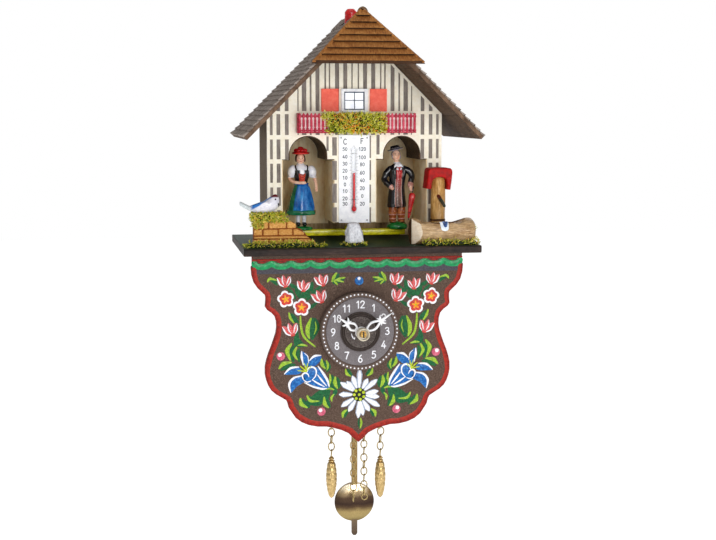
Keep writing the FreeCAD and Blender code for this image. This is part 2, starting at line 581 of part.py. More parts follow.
# ----------------------------------------------------------------------------
# pallets and pendulum, one rocking body
# ----------------------------------------------------------------------------
a_pe = math.atan2(PEND_Z - EZ, -EX)
pallet = ycyl(1.3, 0, PEND_Z, -31.7, -30.7)
for s in (-1, 1):
    a = a_pe + s * math.radians(45)
    qx, qz = EX + 6.1 * math.cos(a), EZ + 6.1 * math.sin(a)
    L = math.hypot(qx, qz - PEND_Z)
    dx, dz = qx / L, (qz - PEND_Z) / L
    w = 0.45
    arm_p = [(-dz * w, PEND_Z + dx * w), (dz * w, PEND_Z - dx * w),
             (qx + dz * w, qz - dx * w), (qx - dz * w, qz + dx * w)]
    pallet = pallet.fuse(prism_xz(arm_p, -31.7, -30.7))
pallet = fuse(pallet, ycyl(PIVOT_R, 0, PEND_Z, ROD_Y0, BP1))
keep("pallet_anchor", pallet)

ROD_END = -206.8
rod = prism_xz([(-1.5, PEND_Z + 2.0), (1.5, PEND_Z + 2.0), (1.5, ROD_END + 1.2), (0.9, ROD_END + 0.3),
                (0, ROD_END), (-0.9, ROD_END + 0.3), (-1.5, ROD_END + 1.2)], ROD_Y0, ROD_Y1)
rod = fuse(rod, ycyl(5.6, CX, CZ, ROD_Y0, ROD_Y1))
rod = rod.cut(ycyl(4.2, CX, CZ, ROD_Y0 - 1, ROD_Y1 + 1)).cut(ycyl(PIVOT_R, 0, PEND_Z, ROD_Y0 - 1, ROD_Y1 + 1))
keep("pendulum_rod", rod)
BOB_Z = PEND_Z - PEND_L
bob = turn_y([(0, -39.2), (4.0, -38.95), (7.5, -38.55), (10.4, -37.9), (10.4, -37.3), (7.5, -36.2),
              (4.0, -35.7), (0, -35.6)], 0, BOB_Z)
bob = bob.cut(box(-1.5, 1.5, ROD_Y0, ROD_Y1, BOB_Z - 12, BOB_Z + 12))
keep("pendulum_bob", bob)

# ----------------------------------------------------------------------------
# plates and their pillars
# ----------------------------------------------------------------------------
def plate(y0, y1):
    p = box(-PLATE_X, PLATE_X, y0, y1, PLATE_Z0, PLATE_Z1)
    tools = [ycyl(WIND_R + RUN, CX, CZ, y0 - 1, y1 + 1)]
    for x, z in ((SX, SZ), (TX3, TZ3), (EX, EZ), (0, PEND_Z)):
        tools.append(ycyl(PIVOT_R + RUN, x, z, y0 - 1, y1 + 1))
    return p.cut(tools)


stud = ycyl(0.7, MX, CZ, -46.2, FP0 + 0.4)
stud = stud.fuse(ycyl(1.5, MX, CZ, -42.6, FP0 + 0.2))
keep("front_plate", fuse(plate(FP0, FP1), stud))
keep("back_plate", plate(BP0, BP1))
posts = []
for x in (-17.5, 17.5):
    for z in (-71.0, -121.0):
        posts.append(ycyl(1.5, x, z, PLQ_B, FP0))
        posts.append(ycyl(1.5, x, z, FP1, BP0))
keep("plate_pillars", Part.Compound(posts))

# ----------------------------------------------------------------------------
# movement case
# ----------------------------------------------------------------------------
case = box(-CASE_X, CASE_X, PLQ_B, CASE_B, CASE_Z0, FLOOR_Z - PLAT_T)
case = case.cut(box(-CASE_X + CASE_T, CASE_X - CASE_T, PLQ_B - 1, CASE_B + 1, CASE_Z0 + CASE_T,
                    FLOOR_Z - PLAT_T - CASE_T))
case = case.cut(box(-10.5, 10.5, -40.6, -34.0, CASE_Z0 - 1, CASE_Z0 + CASE_T + 1))
keep("movement_case", case)
keep("case_back", box(-CASE_X, CASE_X, CASE_B, REAR_Y, CASE_Z0, FLOOR_Z - PLAT_T))


# ----------------------------------------------------------------------------
# chains and weights
# ----------------------------------------------------------------------------
def eye(x, y):
    s = box(x - 0.25, x + 0.25, y - 1.0, y - 0.5, EYE_Z - 0.4, CASE_Z0)
    s = s.fuse([box(x - 0.25, x + 0.25, y + 0.5, y + 1.0, EYE_Z - 0.4, CASE_Z0),
                box(x - 0.25, x + 0.25, y - 1.0, y + 1.0, EYE_Z - 0.4, EYE_Z)])
    return s.removeSplitter()


keep("chain_eyes", Part.Compound([eye(WEIGHT_XL, WEIGHT_Y), eye(FREE_XL, FREE_Y),
                                  eye(FREE_XR, FREE_Y), eye(WEIGHT_XR, WEIGHT_Y)]))


LINK_R = 1.9


def chain(x, y, z_end):
    """Flat figure-eight links; the top one hangs on its eye."""
    z = EYE_Z + 0.1 - 1.35
    step = 3.6
    outs, ins = [], []
    while z - LINK_R > z_end - 0.01:
        outs.append(ycyl(LINK_R, x, z, y - 0.25, y + 0.25))
        ins.append(ycyl(1.35, x, z, y - 1, y + 1))
        z -= step
    last = z + step
    body = fuse(outs[0], *outs[1:]).cut(ins)
    return body, last - LINK_R


def weight(x, y, z_top):
    return turn_z([(0, z_top), (0.45, z_top - 0.1), (0.45, z_top - 1.8), (1.9, z_top - 2.4), (1.9, z_top - 3.2),
                   (1.4, z_top - 3.7), (1.4, z_top - 4.1), (2.1, z_top - 4.7), (2.7, z_top - 8.6),
                   (2.85, z_top - 12.0), (2.6, z_top - 16.0), (1.8, z_top - 20.2), (0.7, z_top - 22.9),
                   (0, z_top - 23.3)], x, y)


for side, x in (("left", WEIGHT_XL), ("right", WEIGHT_XR)):
    body, z_low = chain(x, WEIGHT_Y, -162.0)
    keep(side + "_weight_chain", body)
    w = weight(x, WEIGHT_Y, z_low)
    keep(side + "_weight", w)
for side, x in (("left", FREE_XL), ("right", FREE_XR)):
    body, z_low = chain(x, FREE_Y, -187.2)
    keep(side + "_free_chain", body)

# ----------------------------------------------------------------------------
# write one file per piece
# ----------------------------------------------------------------------------
for name, shape in NODES.items():
    if not shape.isValid():
        print("INVALID", name)
    shape.exportStep("parts/%s.step" % name)
print(len(NODES), "nodes")
for name, shape in NODES.items():
    b = shape.BoundBox
    print("%-20s %d solids  vol %9.2f  x %7.2f %7.2f  y %7.2f %7.2f  z %7.2f %7.2f" % (
        name, len(shape.Solids), shape.Volume, b.XMin, b.XMax, b.YMin, b.YMax, b.ZMin, b.ZMax))
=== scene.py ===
import bpy, bmesh, math, random, json
from mathutils import Vector, Matrix, noise

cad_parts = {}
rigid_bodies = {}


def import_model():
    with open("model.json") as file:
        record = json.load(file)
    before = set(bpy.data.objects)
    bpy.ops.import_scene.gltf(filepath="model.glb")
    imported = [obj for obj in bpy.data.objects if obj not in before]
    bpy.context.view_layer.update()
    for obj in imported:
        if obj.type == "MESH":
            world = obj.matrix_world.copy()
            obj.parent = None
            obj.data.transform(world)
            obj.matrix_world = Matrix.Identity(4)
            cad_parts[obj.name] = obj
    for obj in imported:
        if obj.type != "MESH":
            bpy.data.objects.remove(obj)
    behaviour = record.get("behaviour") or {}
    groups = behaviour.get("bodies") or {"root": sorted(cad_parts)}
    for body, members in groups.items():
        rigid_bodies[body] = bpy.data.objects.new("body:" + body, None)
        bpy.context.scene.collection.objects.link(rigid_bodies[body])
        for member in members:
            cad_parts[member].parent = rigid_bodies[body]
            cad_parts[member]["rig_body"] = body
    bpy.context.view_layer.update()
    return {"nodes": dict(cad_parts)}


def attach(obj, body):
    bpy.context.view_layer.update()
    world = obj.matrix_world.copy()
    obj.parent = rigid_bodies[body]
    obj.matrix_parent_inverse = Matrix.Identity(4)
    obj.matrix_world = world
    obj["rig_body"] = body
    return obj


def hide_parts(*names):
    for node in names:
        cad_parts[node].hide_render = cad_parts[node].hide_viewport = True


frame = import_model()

R = random.Random(11)
MM = 0.001


# ============================================================================
# mesh helpers.  All lengths below are millimetres in the part's own frame.
# ============================================================================
class Geo:
    """Gathers closed shells, each with a material index and a tone."""

    def __init__(self):
        self.v, self.f, self.m, self.t = [], [], [], []

    def add(self, verts, faces, mat=0, tone=0.5):
        o = len(self.v)
        self.v += [tuple(p) for p in verts]
        self.t += list(tone) if hasattr(tone, "__len__") else [tone] * len(verts)
        self.f += [tuple(o + i for i in f) for f in faces]
        self.m += list(mat) if hasattr(mat, "__len__") else [mat] * len(faces)
        return self

    def mirror_x(self):
        n, fl = len(self.v), list(self.f)
        self.v += [(-x, y, z) for x, y, z in self.v[:n]]
        self.t += self.t[:n]
        self.f += [tuple(n + i for i in reversed(f)) for f in fl]
        self.m += self.m[:len(fl)]
        return self

    def build(self, name, mats, body="house", smooth=False, angle=40.0, bevel=0.0, segments=1, subsurf=0,
              replaces=(), slot=None, cuts=(), weld=False, fix=True, cut_mat=None):
        me = bpy.data.meshes.new(name)
        me.from_pydata([(x * MM, y * MM, z * MM) for x, y, z in self.v], [], self.f)
        for k, i in enumerate(self.m):
            me.polygons[k].material_index = i
        at = me.attributes.new("tone", "FLOAT", "POINT")
        at.data.foreach_set("value", self.t)
        if cuts or weld or fix:
            bm = bmesh.new()
            bm.from_mesh(me)
            if weld:
                bmesh.ops.remove_doubles(bm, verts=bm.verts, dist=1e-7)
            for k, (co, no) in enumerate(cuts):
                bmesh.ops.bisect_plane(bm, geom=bm.verts[:] + bm.edges[:] + bm.faces[:], dist=1e-8,
                                       plane_co=Vector(co) * MM, plane_no=Vector(no), clear_outer=True)
                edge = [e for e in bm.edges if e.is_boundary]
                if edge:
                    made = bmesh.ops.holes_fill(bm, edges=edge, sides=0)["faces"]
                    if cut_mat is not None:
                        for q in made:
                            q.material_index = cut_mat[k] if hasattr(cut_mat, "__len__") else cut_mat
            if fix:
                bmesh.ops.recalc_face_normals(bm, faces=bm.faces[:])
            bm.to_mesh(me)
            bm.free()
        return finish_mesh(name, me, mats, body, smooth, angle, bevel, segments, subsurf, replaces)


def finish_mesh(name, me, mats, body, smooth=False, angle=40.0, bevel=0.0, segments=1, subsurf=0,
                replaces=()):
    for m in (mats if isinstance(mats, (list, tuple)) else [mats]):
        me.materials.append(m)
    if smooth:
        me.polygons.foreach_set("use_smooth", [True] * len(me.polygons))
        me.set_sharp_from_angle(angle=math.radians(angle))
    me.update()
    ob = bpy.data.objects.new(name, me)
    bpy.context.scene.collection.objects.link(ob)
    if bevel > 0:
        b = ob.modifiers.new("edges", "BEVEL")
        b.width, b.segments, b.limit_method = bevel * MM, segments, "ANGLE"
        b.angle_limit = math.radians(32)
        b.use_clamp_overlap = True
    if subsurf:
        s = ob.modifiers.new("smooth", "SUBSURF")
        s.levels = s.render_levels = subsurf
    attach(ob, body)
    if replaces:
        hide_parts(*replaces)
    return ob


def ring_faces(n, rows, close_u=True, cap0=True, cap1=True, closed_v=False):
    """Faces of a tube of `rows` rings with n points each."""
    fs = []
    last = rows if closed_v else rows - 1
    for j in range(last):
        a, b = j * n, ((j + 1) % rows) * n
        for i in range(n if close_u else n - 1):
            k = (i + 1) % n
            fs.append((a + i, a + k, b + k, b + i))
    if cap0 and not closed_v:
        fs.append(tuple(reversed(range(n))))
    if cap1 and not closed_v:
        fs.append(tuple(range((rows - 1) * n, rows * n)))
    return fs


def loft(rings, mat=0, tone=0.5, geo=None):
    geo = geo or Geo()
    n = len(rings[0])
    vs = [p for r in rings for p in r]
    return geo.add(vs, ring_faces(n, len(rings)), mat, tone)


def ell(cx, cy, z, rx, ry, n=28, a0=0.0, fold=0.0, nf=0, ph=0.0, tilt=(0.0, 0.0), sq=1.0):
    """Level ellipse ring; fold adds nf waves; tilt is dz per mm in x and y."""
    out = []
    for i in range(n):
        a = a0 + 2 * math.pi * i / n
        c, s = math.cos(a), math.sin(a)
        k = 1.0 + fold * math.cos(nf * a + ph)
        c2 = math.copysign(abs(c) ** sq, c)
        s2 = math.copysign(abs(s) ** sq, s)
        x, y = rx * k * c2, ry * k * s2
        out.append((cx + x, cy + y, z + tilt[0] * x + tilt[1] * y))
    return out


def egg(cx, cy, cz, rx, ry, rz, n=24, m=14, rot=None, geo=None, mat=0, tone=0.5, p=1.0):
    """Rounded closed form, turned by rot about its own middle."""
    rings = []
    for j in range(1, m):
        t = math.pi * j / m
        rr = math.sin(t) ** p
        rings.append([(rx * rr * math.cos(2 * math.pi * i / n), ry * rr * math.sin(2 * math.pi * i / n),
                       -rz * math.cos(t)) for i in range(n)])
    vs = [Vector(q) for r in rings for q in r]
    fs = ring_faces(n, len(rings), cap0=False, cap1=False)
    lo, hi = len(vs), len(vs) + 1
    vs += [Vector((0, 0, -rz)), Vector((0, 0, rz))]
    for i in range(n):
        fs.append((lo, (i + 1) % n, i))
        b = (len(rings) - 1) * n
        fs.append((hi, b + i, b + (i + 1) % n))
    if rot is not None:
        vs = [rot @ q for q in vs]
    vs = [(q.x + cx, q.y + cy, q.z + cz) for q in vs]
    geo = geo or Geo()
    return geo.add(vs, fs, mat, tone)


def rot_xyz(ax, ay, az):
    return (Matrix.Rotation(math.radians(az), 3, "Z") @ Matrix.Rotation(math.radians(ay), 3, "Y")
            @ Matrix.Rotation(math.radians(ax), 3, "X"))


def lathe(prof, x, y, z, axis="Z", n=48, geo=None, mat=0, tone=0.5, wave=None):
    """prof: (r, h) along the axis; first and last points are on the axis or form a ring (closed profile)."""
    geo = geo or Geo()
    closed = prof[0][0] > 1e-6
    pts = prof if closed else prof[1:-1]
    vs = []
    for j, (r, h) in enumerate(pts):
        for i in range(n):
            a = 2 * math.pi * i / n
            rr = r * (wave(a, h) if wave else 1.0)
            c, s = rr * math.cos(a), rr * math.sin(a)
            vs.append((x + c, y + s, z + h) if axis == "Z" else
                      (x + c, y + h, z + s) if axis == "Y" else (x + h, y + c, z + s))
    fs = ring_faces(n, len(pts), cap0=False, cap1=False, closed_v=closed)
    mats = None
    if not closed:
        for k, (row, h) in enumerate(((0, prof[0][1]), (len(pts) - 1, prof[-1][1]))):
            c = len(vs)
            vs.append((x, y, z + h) if axis == "Z" else (x, y + h, z) if axis == "Y" else (x + h, y, z))
            for i in range(n):
                a, b = row * n + i, row * n + (i + 1) % n
                fs.append((c, b, a) if k == 0 else (c, a, b))
    return geo.add(vs, fs, mat, tone)


def smooth_path(pts, per=6, closed=False):
    """Catmull-Rom through the points."""
    P = [Vector(p) for p in pts]
    n, out = len(P), []
    for i in range(n if closed else n - 1):
        if closed:
            a, b, c, d = P[(i - 1) % n], P[i], P[(i + 1) % n], P[(i + 2) % n]
        else:
            a, b, c, d = P[max(i - 1, 0)], P[i], P[i + 1], P[min(i + 2, n - 1)]
        for k in range(per):
            t = k / per
            out.append(0.5 * ((2 * b) + (c - a) * t + (2 * a - 5 * b + 4 * c - d) * t * t
                              + (3 * b - a - 3 * c + d) * t ** 3))
    if not closed:
        out.append(P[-1])
    return out


def tube(path, r, n=8, closed=False, geo=None, mat=0, tone=0.5, flat=1.0, taper=None):
    """Round wire along the path; r may be a number or a list."""
    P = [Vector(p) for p in path]
    m = len(P)
    rs = r if hasattr(r, "__len__") else [r] * m
    T = []
    for i in range(m):
        a, b = (P[(i - 1) % m], P[(i + 1) % m]) if closed else (P[max(i - 1, 0)], P[min(i + 1, m - 1)])
        d = b - a
        T.append(d.normalized() if d.length > 1e-9 else Vector((0, 0, 1)))
    ref = Vector((0, 1, 0)) if abs(T[0].y) < 0.9 else Vector((1, 0, 0))
    nn = (ref - T[0] * ref.dot(T[0])).normalized()
    rings = []
    for i in range(m):
        nn = (nn - T[i] * nn.dot(T[i])).normalized()
        bb = T[i].cross(nn)
        rings.append([tuple(P[i] + (nn * math.cos(2 * math.pi * k / n) * flat + bb * math.sin(2 * math.pi * k / n)) * rs[i])
                      for k in range(n)])
    geo = geo or Geo()
    if closed:
        return geo.add([p for q in rings for p in q], ring_faces(n, m, closed_v=True), mat, tone)
    # rounded ends
    for end, sgn in ((0, -1), (m - 1, 1)):
        c, t, rr = P[end], T[end] * sgn, rs[end]
        ring = [tuple(c + (Vector(p) - c) * 0.6 + t * rr * 0.75) for p in rings[0 if end == 0 else -1]]
        if end == 0:
            rings.insert(0, ring)
        else:
            rings.append(ring)
    return geo.add([p for q in rings for p in q], ring_faces(n, len(rings)), mat, tone)


def prism(pts, y0, y1, geo=None, mat=0, tone=0.5, side=None):
    """pts (x, z) pushed from y0 (front) to y1 (back)."""
    geo = geo or Geo()
    n = len(pts)
    vs = [(x, y0, z) for x, z in pts] + [(x, y1, z) for x, z in pts]
    fs = [tuple(range(n)), tuple(reversed(range(n, 2 * n)))]
    fs += [(i, (i + 1) % n, n + (i + 1) % n, n + i) for i in range(n)]
    ms = [mat, mat] + [mat if side is None else side] * n
    return geo.add(vs, fs, ms, tone)


def block(x0, x1, y0, y1, z0, z1, geo=None, mat=0, tone=0.5, jit=0.0):
    geo = geo or Geo()
    j = (lambda: R.uniform(-jit, jit)) if jit else (lambda: 0.0)
    vs = [(x + j(), y + j(), z + j()) for z in (z0, z1) for y in (y0, y1) for x in (x0, x1)]
    fs = [(0, 2, 3, 1), (4, 5, 7, 6), (0, 1, 5, 4), (2, 6, 7, 3), (0, 4, 6, 2), (1, 3, 7, 5)]
    return geo.add(vs, fs, mat, tone)


def area2(p):
    return sum(p[i][0] * p[(i + 1) % len(p)][1] - p[(i + 1) % len(p)][0] * p[i][1] for i in range(len(p))) / 2


def inset2(p, d):
    """Moves a closed outline inwards by d."""
    n, s = len(p), 1.0 if area2(p) > 0 else -1.0
    out = []
    for i in range(n):
        a, b, c = Vector(p[i - 1][:2]), Vector(p[i][:2]), Vector(p[(i + 1) % n][:2])
        u, w = (b - a), (c - b)
        if u.length < 1e-9 or w.length < 1e-9:
            out.append(tuple(b)); continue
        u.normalize(); w.normalize()
        n1, n2 = Vector((-u.y, u.x)) * s, Vector((-w.y, w.x)) * s
        m = n1 + n2
        if m.length < 1e-6:
            m = n1
        m.normalize()
        k = d / max(0.35, m.dot(n1))
        out.append((b.x + m.x * k, b.y + m.y * k))
    return out


def jitter(geo, amount, scale, seed=0.0, zmin=None):
    out = []
    for x, y, z in geo.v:
        q = Vector((x * scale + seed, y * scale - seed, z * scale + 2 * seed))
        d = noise.noise_vector(q) * amount
        out.append((x + d.x, y + d.y, z + d.z))
    geo.v = out
    return geo


def soften(node, width, mats, segments=2, smooth=False, angle=35, limit=1.0):
    """A copy of a CAD solid with its edges eased; it stands for the node."""
    src = frame["nodes"][node]
    me = src.data.copy()
    me.name = node + "_eased"
    me.materials.clear()
    bm = bmesh.new()
    bm.from_mesh(me)
    bmesh.ops.remove_doubles(bm, verts=bm.verts, dist=2e-6)
    bmesh.ops.dissolve_limit(bm, angle_limit=math.radians(limit), verts=bm.verts, edges=bm.edges,
                             delimit=set())
    bm.to_mesh(me)
    bm.free()
    for p in me.polygons:
        p.material_index = 0
    body = src["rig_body"]
    ob = finish_mesh(node + "_eased", me, mats, body, smooth=smooth, angle=angle, bevel=width,
                     segments=segments, replaces=(node,))
    return ob


# ============================================================================
# materials
# ============================================================================
def c(r, g, b, a=1.0):
    f = lambda v: (v / 255.0) / 12.92 if v / 255.0 <= 0.04045 else ((v / 255.0 + 0.055) / 1.055) ** 2.4
    return (f(r), f(g), f(b), a)


class Mat:
    def __init__(self, name, rough=0.5, metal=0.0, spec=0.5, coat=0.0, coat_rough=0.1):
        self.m = bpy.data.materials.new(name)
        self.m.use_nodes = True
        self.nt = self.m.node_tree
        self.b = self.nt.nodes["Principled BSDF"]
        self.b.inputs["Roughness"].default_value = rough
        self.b.inputs["Metallic"].default_value = metal
        self.b.inputs["Specular IOR Level"].default_value = spec if metal > 0.5 else spec * 0.4
        self.b.inputs["Coat Weight"].default_value = coat
        self.b.inputs["Coat Roughness"].default_value = coat_rough
        self.tc = self.nt.nodes.new("ShaderNodeTexCoord")
        self.last_bump = None

    def add(self, kind, **kw):
        nd = self.nt.nodes.new(kind)
        for k, v in kw.items():
            setattr(nd, k, v)
        return nd

    def link(self, a, b):
        self.nt.links.new(a, b)

    def vec(self, sx=1.0, sy=1.0, sz=1.0, rot=(0, 0, 0), warp=0.0, warp_scale=200.0):
        """Object coordinates in millimetres, stretched by the scales."""
        mp = self.add("ShaderNodeMapping")
        mp.inputs["Scale"].default_value = (1000 * sx, 1000 * sy, 1000 * sz)
        mp.inputs["Rotation"].default_value = tuple(math.radians(v) for v in rot)
        self.link(self.tc.outputs["Object"], mp.inputs["Vector"])
        out = mp.outputs["Vector"]
        if warp:
            nz = self.add("ShaderNodeTexNoise")
            nz.inputs["Scale"].default_value = warp_scale
            nz.inputs["Detail"].default_value = 2
            self.link(self.tc.outputs["Object"], nz.inputs["Vector"])
            ad = self.add("ShaderNodeVectorMath", operation="MULTIPLY_ADD")
            ad.inputs[1].default_value = (warp, warp, warp)
            self.link(nz.outputs["Color"], ad.inputs[0])
            self.link(out, ad.inputs[2])
            out = ad.outputs["Vector"]
        return out

    def noise(self, vec, scale=1.0, detail=4.0, rough=0.55, dist=0.0):
        nd = self.add("ShaderNodeTexNoise")
        nd.inputs["Scale"].default_value = scale
        nd.inputs["Detail"].default_value = detail
        nd.inputs["Roughness"].default_value = rough
        nd.inputs["Distortion"].default_value = dist
        self.link(vec, nd.inputs["Vector"])
        return nd.outputs["Fac"]

    def voronoi(self, vec, scale=1.0, feature="F1", out="Distance", randomness=1.0):
        nd = self.add("ShaderNodeTexVoronoi", feature=feature)
        nd.inputs["Scale"].default_value = scale
        nd.inputs["Randomness"].default_value = randomness
        self.link(vec, nd.inputs["Vector"])
        return nd.outputs[out]

    def wave(self, vec, scale=1.0, dist=2.0, detail=2.0, kind="BANDS", direction="X", dscale=1.0):
        nd = self.add("ShaderNodeTexWave", wave_type=kind)
        if kind == "BANDS":
            nd.bands_direction = direction
        else:
            nd.rings_direction = direction
        nd.inputs["Scale"].default_value = scale
        nd.inputs["Distortion"].default_value = dist
        nd.inputs["Detail"].default_value = detail
        nd.inputs["Detail Scale"].default_value = dscale
        self.link(vec, nd.inputs["Vector"])
        return nd.outputs["Fac"]

    def tone(self, name="tone"):
        nd = self.add("ShaderNodeAttribute", attribute_name=name)
        return nd.outputs["Fac"]

    def sep(self, vec, axis):
        nd = self.add("ShaderNodeSeparateXYZ")
        self.link(vec, nd.inputs[0])
        return nd.outputs[axis]

    def ramp(self, fac, stops, interp="LINEAR"):
        nd = self.add("ShaderNodeValToRGB")
        el = nd.color_ramp.elements
        nd.color_ramp.interpolation = interp
        el[0].position, el[0].color = stops[0][0], stops[0][1]
        el[1].position, el[1].color = stops[-1][0], stops[-1][1]
        for p, col in stops[1:-1]:
            e = el.new(p)
            e.color = col
        self.link(fac, nd.inputs["Fac"])
        return nd.outputs["Color"]

    def mix(self, fac, a, b, mode="MIX"):
        nd = self.add("ShaderNodeMix", data_type="RGBA", blend_type=mode)
        for sock, v in ((nd.inputs[0], fac), (nd.inputs[6], a), (nd.inputs[7], b)):
            if hasattr(v, "is_linked") or hasattr(v, "links"):
                self.link(v, sock)
            else:
                sock.default_value = v
        return nd.outputs[2]

    def math(self, op, a, b=None, d=None, clamp=False):
        nd = self.add("ShaderNodeMath", operation=op, use_clamp=clamp)
        for sock, v in zip(nd.inputs, (a, b, d)):
            if v is None:
                continue
            if hasattr(v, "links"):
                self.link(v, sock)
            else:
                sock.default_value = v
        return nd.outputs[0]

    def remap(self, fac, a, b, lo, hi):
        nd = self.add("ShaderNodeMapRange")
        nd.inputs[1].default_value, nd.inputs[2].default_value = a, b
        nd.inputs[3].default_value, nd.inputs[4].default_value = lo, hi
        self.link(fac, nd.inputs[0])
        return nd.outputs[0]

    def color(self, out):
        self.link(out, self.b.inputs["Base Color"])
        return self

    def rough(self, fac, lo, hi, a=0.3, b=0.7):
        self.link(self.remap(fac, a, b, lo, hi), self.b.inputs["Roughness"])
        return self

    def bump(self, height, strength=0.3, dist=0.1):
        nd = self.add("ShaderNodeBump")
        nd.inputs["Strength"].default_value = strength
        nd.inputs["Distance"].default_value = dist * MM
        self.link(height, nd.inputs["Height"])
        if self.last_bump is not None:
            self.link(self.last_bump, nd.inputs["Normal"])
        self.last_bump = nd.outputs["Normal"]
        self.link(self.last_bump, self.b.inputs["Normal"])
        return self


def wood(name, dark, mid, light, grain=(1, 1, 0.12), scale=1.4, rough=0.6, bump=0.35, bd=0.08, coat=0.0,
         speck=0.25, tone=False, big=0.16):
    """Stained or bare wood: streaks along the stretched axis, pores and blotches."""
    M = Mat(name, rough=rough, coat=coat, coat_rough=0.3)
    v = M.vec(*grain, warp=0.35, warp_scale=120)
    streak = M.noise(v, scale=scale, detail=6, rough=0.62)
    fine = M.noise(M.vec(grain[0] * 5, grain[1] * 5, grain[2] * 2.5), scale=1.0, detail=3)
    blotch = M.noise(M.vec(), scale=big, detail=3)
    col = M.ramp(streak, [(0.30, dark), (0.50, mid), (0.72, light)])
    col = M.mix(M.remap(fine, 0.42, 0.62, 0.0, speck), col, dark)
    col = M.mix(M.remap(blotch, 0.35, 0.7, 0.0, 0.35), col, light)
    if tone:
        t = M.tone()
        col = M.mix(M.remap(t, 0.0, 0.5, 0.55, 0.0), col, dark)
        col = M.mix(M.remap(t, 0.5, 1.0, 0.0, 0.55), col, light)
    M.color(col)
    M.rough(fine, rough - 0.1, min(1.0, rough + 0.15))
    M.bump(streak, bump, bd).bump(fine, bump * 0.6, bd * 0.5)
    return M.m


def paint(name, col, rough=0.35, var=0.10, coat=0.0, bump=0.12, scale=0.5, dark=None, wear=0.0, metal=0.0, tone=False,
          light=None, spec=0.5):
    """Brushed-on paint: faint streaks in the coat, slight change of shade, tiny ripples."""
    M = Mat(name, rough=rough, coat=coat, coat_rough=0.12, metal=metal, spec=spec)
    base = tuple(col)
    d = dark or tuple(x * (1 - var * 2.2) for x in base[:3]) + (1.0,)
    l = light or tuple(min(1.0, x * (1 + var) + 0.01 * var * 10) for x in base[:3]) + (1.0,)
    big = M.noise(M.vec(warp=0.6), scale=scale, detail=3)
    fine = M.noise(M.vec(3.0, 3.0, 1.1), scale=1.0, detail=4)
    out = M.ramp(big, [(0.28, d), (0.5, base), (0.75, l)])
    out = M.mix(M.remap(fine, 0.4, 0.7, 0.0, 0.30), out, d)
    if tone:
        t = M.tone()
        out = M.mix(M.remap(t, 0.0, 0.5, 0.7, 0.0), out, d)
        out = M.mix(M.remap(t, 0.5, 1.0, 0.0, 0.7), out, l)
    M.color(out)
    M.rough(fine, max(0.03, rough - 0.06), rough + 0.12)
    M.bump(fine, bump, 0.05).bump(big, bump, 0.15)
    return M.m


def metal(name, dark, light, rough=0.25, scale=0.6, bump=0.08, brushed=(1, 1, 1), spots=0.15):
    M = Mat(name, rough=rough, metal=1.0)
    v = M.vec(*brushed)
    a = M.noise(v, scale=scale, detail=5)
    f = M.noise(M.vec(brushed[0] * 6, brushed[1] * 6, brushed[2] * 6), scale=1.0, detail=3)
    col = M.ramp(a, [(0.3, dark), (0.65, light)])
    col = M.mix(M.remap(f, 0.5, 0.75, 0.0, spots), col, dark)
    M.color(col)
    M.rough(f, max(0.03, rough - 0.07), rough + 0.12)
    M.bump(f, bump, 0.03)
    return M.m


# --- woods
W_ROOF = wood("roof_weathered", c(96, 84, 76), c(148, 136, 127), c(184, 172, 163), grain=(0.22, 1.1, 0.22), scale=1.6,
              rough=0.8, bump=0.5, tone=True, speck=0.45)
W_BOARD = wood("roof_board", c(42, 29, 18), c(74, 54, 36), c(104, 79, 56), grain=(0.9, 0.14, 0.9), scale=1.2, rough=0.72,
               bump=0.4, speck=0.4)
W_RAKE = wood("roof_rake", c(54, 40, 30), c(98, 75, 58), c(134, 106, 84), grain=(0.16, 1.0, 0.16), scale=1.5, rough=0.7,
              bump=0.5, speck=0.35)
W_HIP = wood("hip_shingle", c(96, 48, 14), c(158, 98, 42), c(200, 142, 76), grain=(1.3, 0.30, 0.30), scale=1.3,
             rough=0.55, bump=0.4, tone=True, speck=0.22)
# dark board wood; on the hip shingles' butt faces it also serves as painted shade
W_HIP_BOARD_AND_SHADE = wood("hip_board", c(34, 20, 10), c(60, 36, 18), c(86, 56, 32), grain=(0.14, 0.9, 0.9), scale=1.2, rough=0.7, bump=0.4, speck=0.3)
W_HIPCAP = wood("hip_ridge", c(70, 48, 30), c(120, 92, 66), c(152, 124, 94), grain=(0.5, 0.5, 0.5), scale=1.0, rough=0.7,
                tone=True)
W_TAN = wood("tan_board", c(150, 116, 74), c(196, 164, 116), c(222, 194, 150), grain=(1.0, 1.0, 0.10), scale=0.9, rough=0.6,
             bump=0.25, speck=0.18)
W_NICHE = wood("niche_board", c(230, 200, 152), c(250, 226, 182), c(255, 240, 206), grain=(0.9, 0.12, 0.25), scale=0.9,
               rough=0.6, bump=0.15, speck=0.04)
W_SIDE = wood("side_board", c(52, 40, 24), c(84, 68, 46), c(112, 94, 66), grain=(1.0, 1.0, 0.10), scale=1.1, rough=0.62,
              bump=0.35)
W_CASE = wood("case_wood", c(62, 40, 24), c(102, 70, 44), c(134, 98, 64), grain=(1.0, 0.6, 0.10), scale=1.0, rough=0.55,
              bump=0.3, coat=0.15)
W_POST = wood("post_bark", c(114, 72, 22), c(178, 124, 50), c(228, 190, 124), grain=(1.2, 1.2, 0.22), scale=1.2, rough=0.4,
              bump=0.45, bd=0.12, coat=0.35, speck=0.3)

